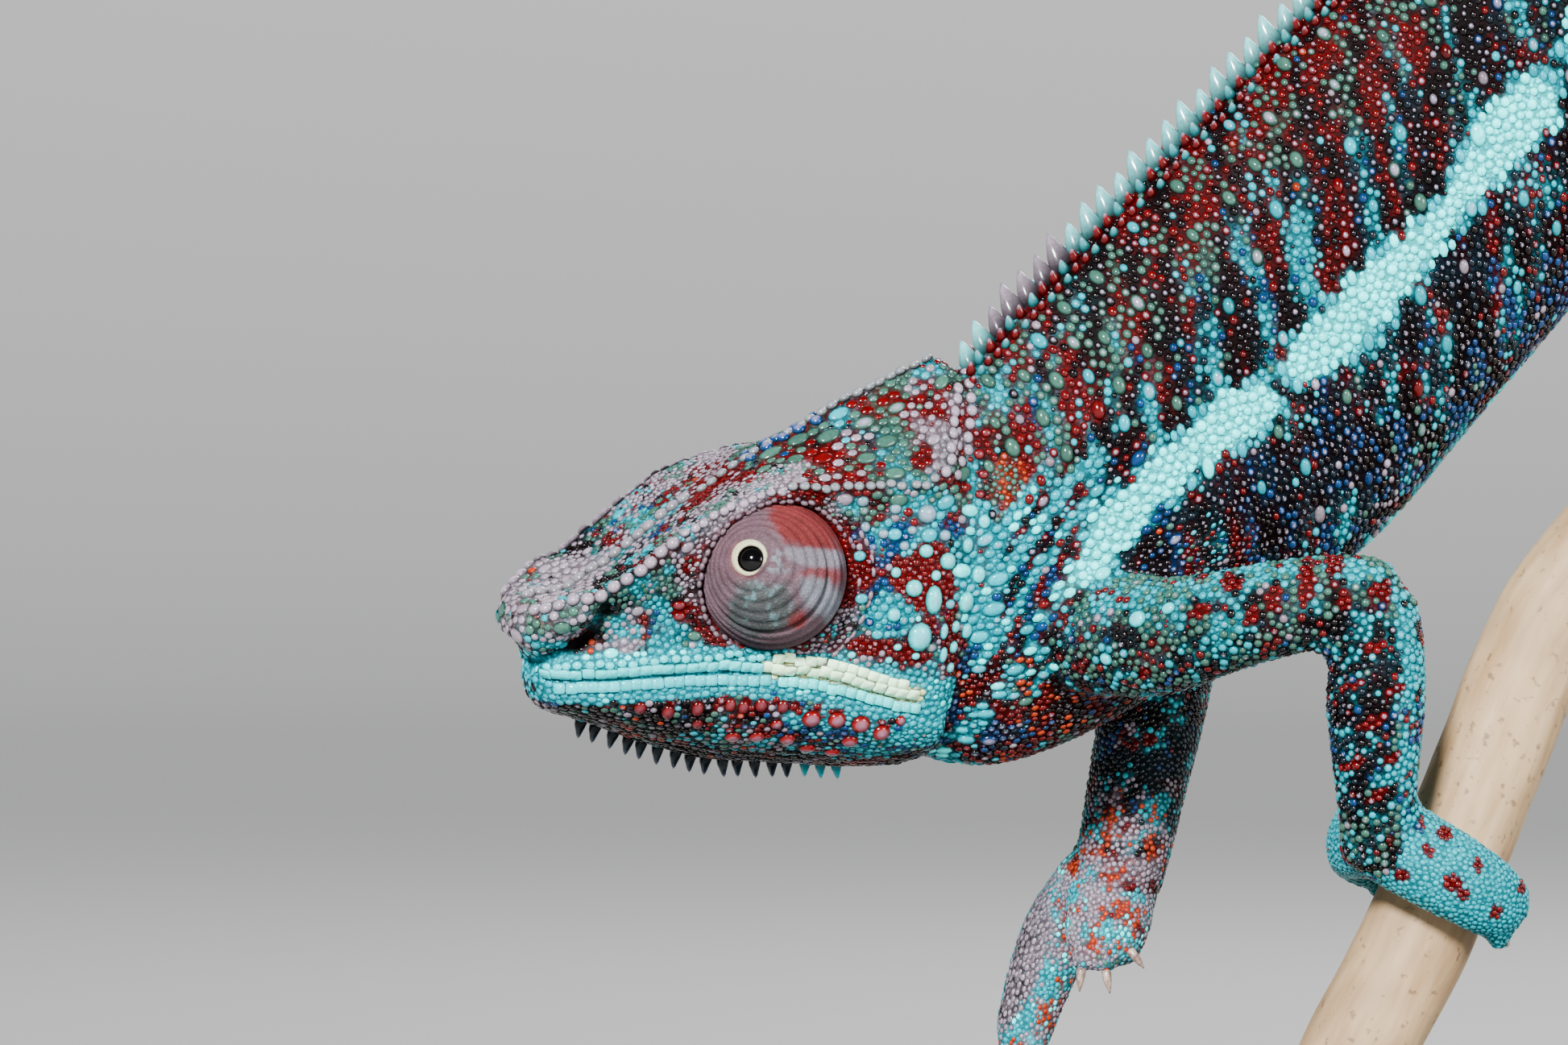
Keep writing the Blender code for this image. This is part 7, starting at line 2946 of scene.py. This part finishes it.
@dataclass
class Coat:
    """All the scales, in pieces by part of the body and side."""

    flesh: Flesh
    markings: Markings
    packing: Packing = field(default_factory=Packing)
    most: int = 6900  # scales in one piece

    def keys(self, survey: Survey, places: Places) -> Array:
        """Orders the beads in rows across the body, a little loosely.

        Args:
            survey: where they may grow.
            places: where these are on the body.

        Returns:
            A number for each, by which they are sorted.
        """
        random = np.random.default_rng(SEED + 2).uniform(0, 1, len(survey.points))
        c, s = math.cos(STREAK), math.sin(STREAK)
        rows = np.where(places.on(Part.AXIS) > 0, places.x * s - places.z * c, survey.along * 60)
        rows = np.where(places.on(Part.HEAD, Part.JAW) > 0, places.u, rows)
        return np.floor(rows / 0.45) + random * 0.9 + 4000.0 * survey.form

    def grow(self, skin: bpy.types.Object, survey: Survey) -> Scales:
        """Chooses every scale.

        Args:
            skin: the skin.
            survey: where its points lie.

        Returns:
            The scales.
        """
        tried = candidates(skin.data, survey, self.packing.number)
        places = places_of(tried, self.flesh)
        tried.lie = self.lies(tried, places)
        traits = self.markings.traits(places)
        laid = lay_named(self.flesh, tried, places)
        keys, blocked = self.keys(tried, places), self.blocked(tried, places)
        rows, size, sorts = self.packing.pick(tried, traits, keys, blocked, laid)
        survey = tried[rows]
        named = len(laid.rows)
        survey.lie[:named] = np.array(laid.ways)
        for k, up in enumerate(laid.ups):
            if up is not None:
                survey.points[k] += (np.array(laid.points[k]) - survey.points[k] - 0.35 * up) * 0.8
                survey.normals[k] = up
        marks = self.markings.at(survey, sorts)[0]
        pigments_of, tones, tips = zip(*laid.paint)
        counts = [[text.split("+").count(name) for name in PIGMENT_NAMES] for text in pigments_of]
        marks.shares[:named] = counts
        marks.shares[:named] /= marks.shares[:named].sum(1, keepdims=True)
        marks.tone[:named] = np.array(tones) + 0.3 * (marks.chance[:named] - 0.5)
        marks.tip[:named] = tips
        return Scales(survey, size, sorts, marks)

    def lies(self, survey: Survey, places: Places) -> Array:
        """The directions of the beads' length, which on the trunk turn from its line to the flank's streaks.

        Args:
            survey: where the beads may grow.
            places: where these are on the body.

        Returns:
            One direction for each place.
        """
        streak = np.array((math.cos(STREAK), 0, math.sin(STREAK)))
        square = np.cross(survey.normals, survey.lie)
        square = square * np.where(square[:, 2:] < 0, -1, 1)
        trunk = places.on(Part.AXIS)[:, None]
        share = trunk * (ramp(places.down, 0.1, 0.3) * ramp(places.run, 16, 26))[:, None]
        flank = unit(mixed(square, streak, share))
        fore = trunk * (ramp(places.run, 34, 26) * ramp(places.down, 0.3, 0.42))[:, None]
        return np.where(trunk > 0, unit(mixed(flank, survey.lie, fore)), survey.lie)

    def blocked(self, survey: Survey, places: Places) -> Array:
        """Keeps scales out of the sockets, the mouth's line and the crease under the nose.

        Args:
            survey: where scales may grow.
            places: where these are on the body.

        Returns:
            True where nothing grows.
        """
        shut = np.zeros(len(survey.points), bool)
        for eye in EYES:
            depth, flat = eye.split(survey.points, self.flesh.head)
            shut |= (np.linalg.norm(flat, axis=1) < eye.mouth(depth) + 0.15) & (depth > -eye.back - 1)
        head = places.on(Part.HEAD, Part.JAW) > 0
        shut |= head & (abs(places.lip) < 0.25) & (places.u > 3) & (places.u < 45.5)
        shut |= under_nose(places) > 0.9
        return shut

    def turns(self, scales: Scales) -> Array:
        """Turns each scale's length along the lie and its top outwards.

        Args:
            scales: the scales.

        Returns:
            Rows of Euler angles.
        """
        up = scales.survey.normals
        along = unit(scales.survey.lie - (scales.survey.lie * up).sum(1)[:, None] * up)
        across = np.cross(up, along)
        return np.column_stack([
            np.arctan2(across[:, 2], up[:, 2]),
            np.arcsin(np.clip(-along[:, 2], -1, 1)),
            np.arctan2(along[:, 1], along[:, 0]),
        ])

    def groups(self, scales: Scales) -> dict[str, Array]:
        """Shares the scales out among the pieces.

        Args:
            scales: the scales.

        Returns:
            The rows of each piece, by its name.
        """
        part = self.flesh.parts[scales.survey.form]
        left = places_of(scales.survey, self.flesh).side > 0
        sides = {"left": left, "right": ~left}
        found = {}
        for kind, name in zip(Part, ("head", "jaw", "trunk", "tail", "limbs", "feet")):
            apart = kind in (Part.LIMB, Part.FOOT)
            for label, chosen in ({"rings": left | ~left} if kind is Part.TAIL else sides).items():
                rows = np.flatnonzero((part == kind.value) & chosen)
                key = scales.survey.along[rows] + 10 * (scales.survey.form[rows] if apart else 0)
                rows = rows[np.argsort(key, kind="stable")]
                for k, share in enumerate(np.array_split(rows, math.ceil(len(rows) / self.most))):
                    found[f"scales_{name}_{label}_{k + 1}"] = share
        return found

    def build(self, skin: bpy.types.Object, survey: Survey) -> None:
        """Makes and dresses every piece of the coat.

        Args:
            skin: the skin.
            survey: where its points lie.
        """
        scales = self.grow(skin, survey)
        shapes = {sort: sort.shape() for sort in Sort}
        tree = CoatTree().build(ScaleFinish().material(), shapes)
        sockets = {item.name: item.identifier for item in tree.interface.items_tree if item.in_out == "INPUT"}
        unwrap = self.flesh.unwrap(scales.survey)
        turns = self.turns(scales)
        for name, rows in self.groups(scales).items():
            part = scales[rows]
            piece = new_object(name, part.survey.points, [])
            add_attribute(piece.data, "turn", turns[rows])
            add_attribute(piece.data, "size", part.size)
            add_attribute(piece.data, "root", np.column_stack([unwrap[rows], 0 * unwrap[rows, 0]]))
            sorts = piece.data.attributes.new("sort", "INT", "POINT").data
            sorts.foreach_set("value", part.sort.astype(np.int32))
            self.markings.write(piece.data, part.marks)
            modifier = piece.modifiers.new("grow", "NODES")
            modifier.node_group = tree
            for sort, shape in shapes.items():
                modifier[sockets[sort.name]] = shape
            mesh = evaluated_mesh(piece)
            piece.modifiers.clear()
            piece.data = mesh
            for label in ("turn", "size", "root", "local", "sort"):
                if label in mesh.attributes:
                    mesh.attributes.remove(mesh.attributes[label])
            dress(piece, "skin")
        for shape in shapes.values():
            bpy.data.objects.remove(shape)


# ---- stage, light and camera ----


@dataclass
class Stage:
    """The floor that rises into a backdrop, the soft lights and the camera."""

    lens: float = 152.17
    sensor: float = 36.0
    near: float = 0.01  # how close to the camera things show
    camera_at: tuple = (-0.08694, -0.705, 0.092)
    reach: float = 2.2  # how far the floor runs before it bends up
    bend: float = 4.0  # the bend's radius
    rise: float = 1.1  # how high the rim stands
    around: int = 96
    sun: float = 8.6
    sun_width: float = 10.0  # degrees
    sun_from: tuple = (-0.28, -0.92, 0.5)
    # name, place, width and watts
    lamps: tuple = (("fill", (0.75, -0.7, 0.35), 0.5, 9.0), ("rim", (0.25, 0.55, 0.7), 0.5, 10.0))
    lamps_aim: tuple = (0, 0, 0.11)
    sky: tuple = srgb(200, 206, 212)
    sky_strength: float = 0.11

    def floor(self) -> None:
        """Makes the round floor, whose rim bends up into the backdrop."""
        bent = np.linspace(0, math.acos(1 - self.rise / self.bend), 24)
        profile = [(self.reach + self.bend * math.sin(a), self.bend * (1 - math.cos(a))) for a in bent]
        points = [(r * math.cos(t), r * math.sin(t), z) for r, z in profile for t in steps_round(self.around)]
        faces = [tuple(range(self.around)), *(face[::-1] for face in quads(len(profile), self.around))]
        floor = new_object("backdrop", np.array(points) / MM + ORIGIN, faces)
        floor.data.materials.append(PaperFinish().material())

    def light(self, name: str, at: tuple, size: float, power: float) -> None:
        """Hangs one soft light.

        Args:
            name: its name.
            at: where it hangs.
            size: how wide it is.
            power: its watts.
        """
        data = bpy.data.lights.new(name, "AREA")
        data.shape, data.size, data.energy = "DISK", size, power
        lamp = linked(name, data)
        lamp.location = at
        lamp.rotation_euler = (Vector(self.lamps_aim) - lamp.location).to_track_quat("-Z", "Y").to_euler()

    def build(self) -> None:
        """Sets the stage."""
        self.floor()
        sun = bpy.data.lights.new("key", "SUN")
        sun.energy, sun.angle = self.sun, math.radians(self.sun_width)
        linked("key", sun).rotation_euler = Vector(self.sun_from).to_track_quat("Z", "Y").to_euler()
        for lamp in self.lamps:
            self.light(*lamp)
        world = bpy.data.worlds.new("studio")
        world.use_nodes = True
        background = world.node_tree.nodes["Background"].inputs
        background[0].default_value, background[1].default_value = self.sky, self.sky_strength
        bpy.context.scene.world = world
        data = bpy.data.cameras.new("camera")
        data.lens, data.sensor_width, data.clip_start = self.lens, self.sensor, self.near
        camera = linked("camera", data)
        camera.location, camera.rotation_euler = self.camera_at, (math.pi / 2, 0, 0)
        bpy.context.scene.camera = camera


def main() -> None:
    """Builds the pieces in order."""
    logging.basicConfig(level=logging.INFO, format="%(name)s: %(message)s")
    flesh = Flesh()
    marks = Markings(flesh)
    skin, survey = SkinShape().build(flesh)
    marks.write(skin.data, marks.at(survey)[0])
    finish = SkinFinish().material()
    skin.data.materials.append(finish)
    hard = ("eye", "claw", "perch", "stand")
    dress(skin, "skin", *sorted(name for name in frame["nodes"] if not name.startswith(hard)))
    Coat(flesh, marks).build(skin, survey)
    # the turret's finish: the same skin finish, with weaker painted shade in the grain's hollows
    Eyes(flesh.head).build(marks, SkinFinish(3600.0, 0.62, "turret_finish").material())
    ClawSet().build(flesh.claws, frame["nodes"])
    Bough(flesh.bough).build()
    for part in StandPart:
        part.dress(frame["nodes"])
    Stage().build()
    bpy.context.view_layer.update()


if __name__ == "__main__":
    main()
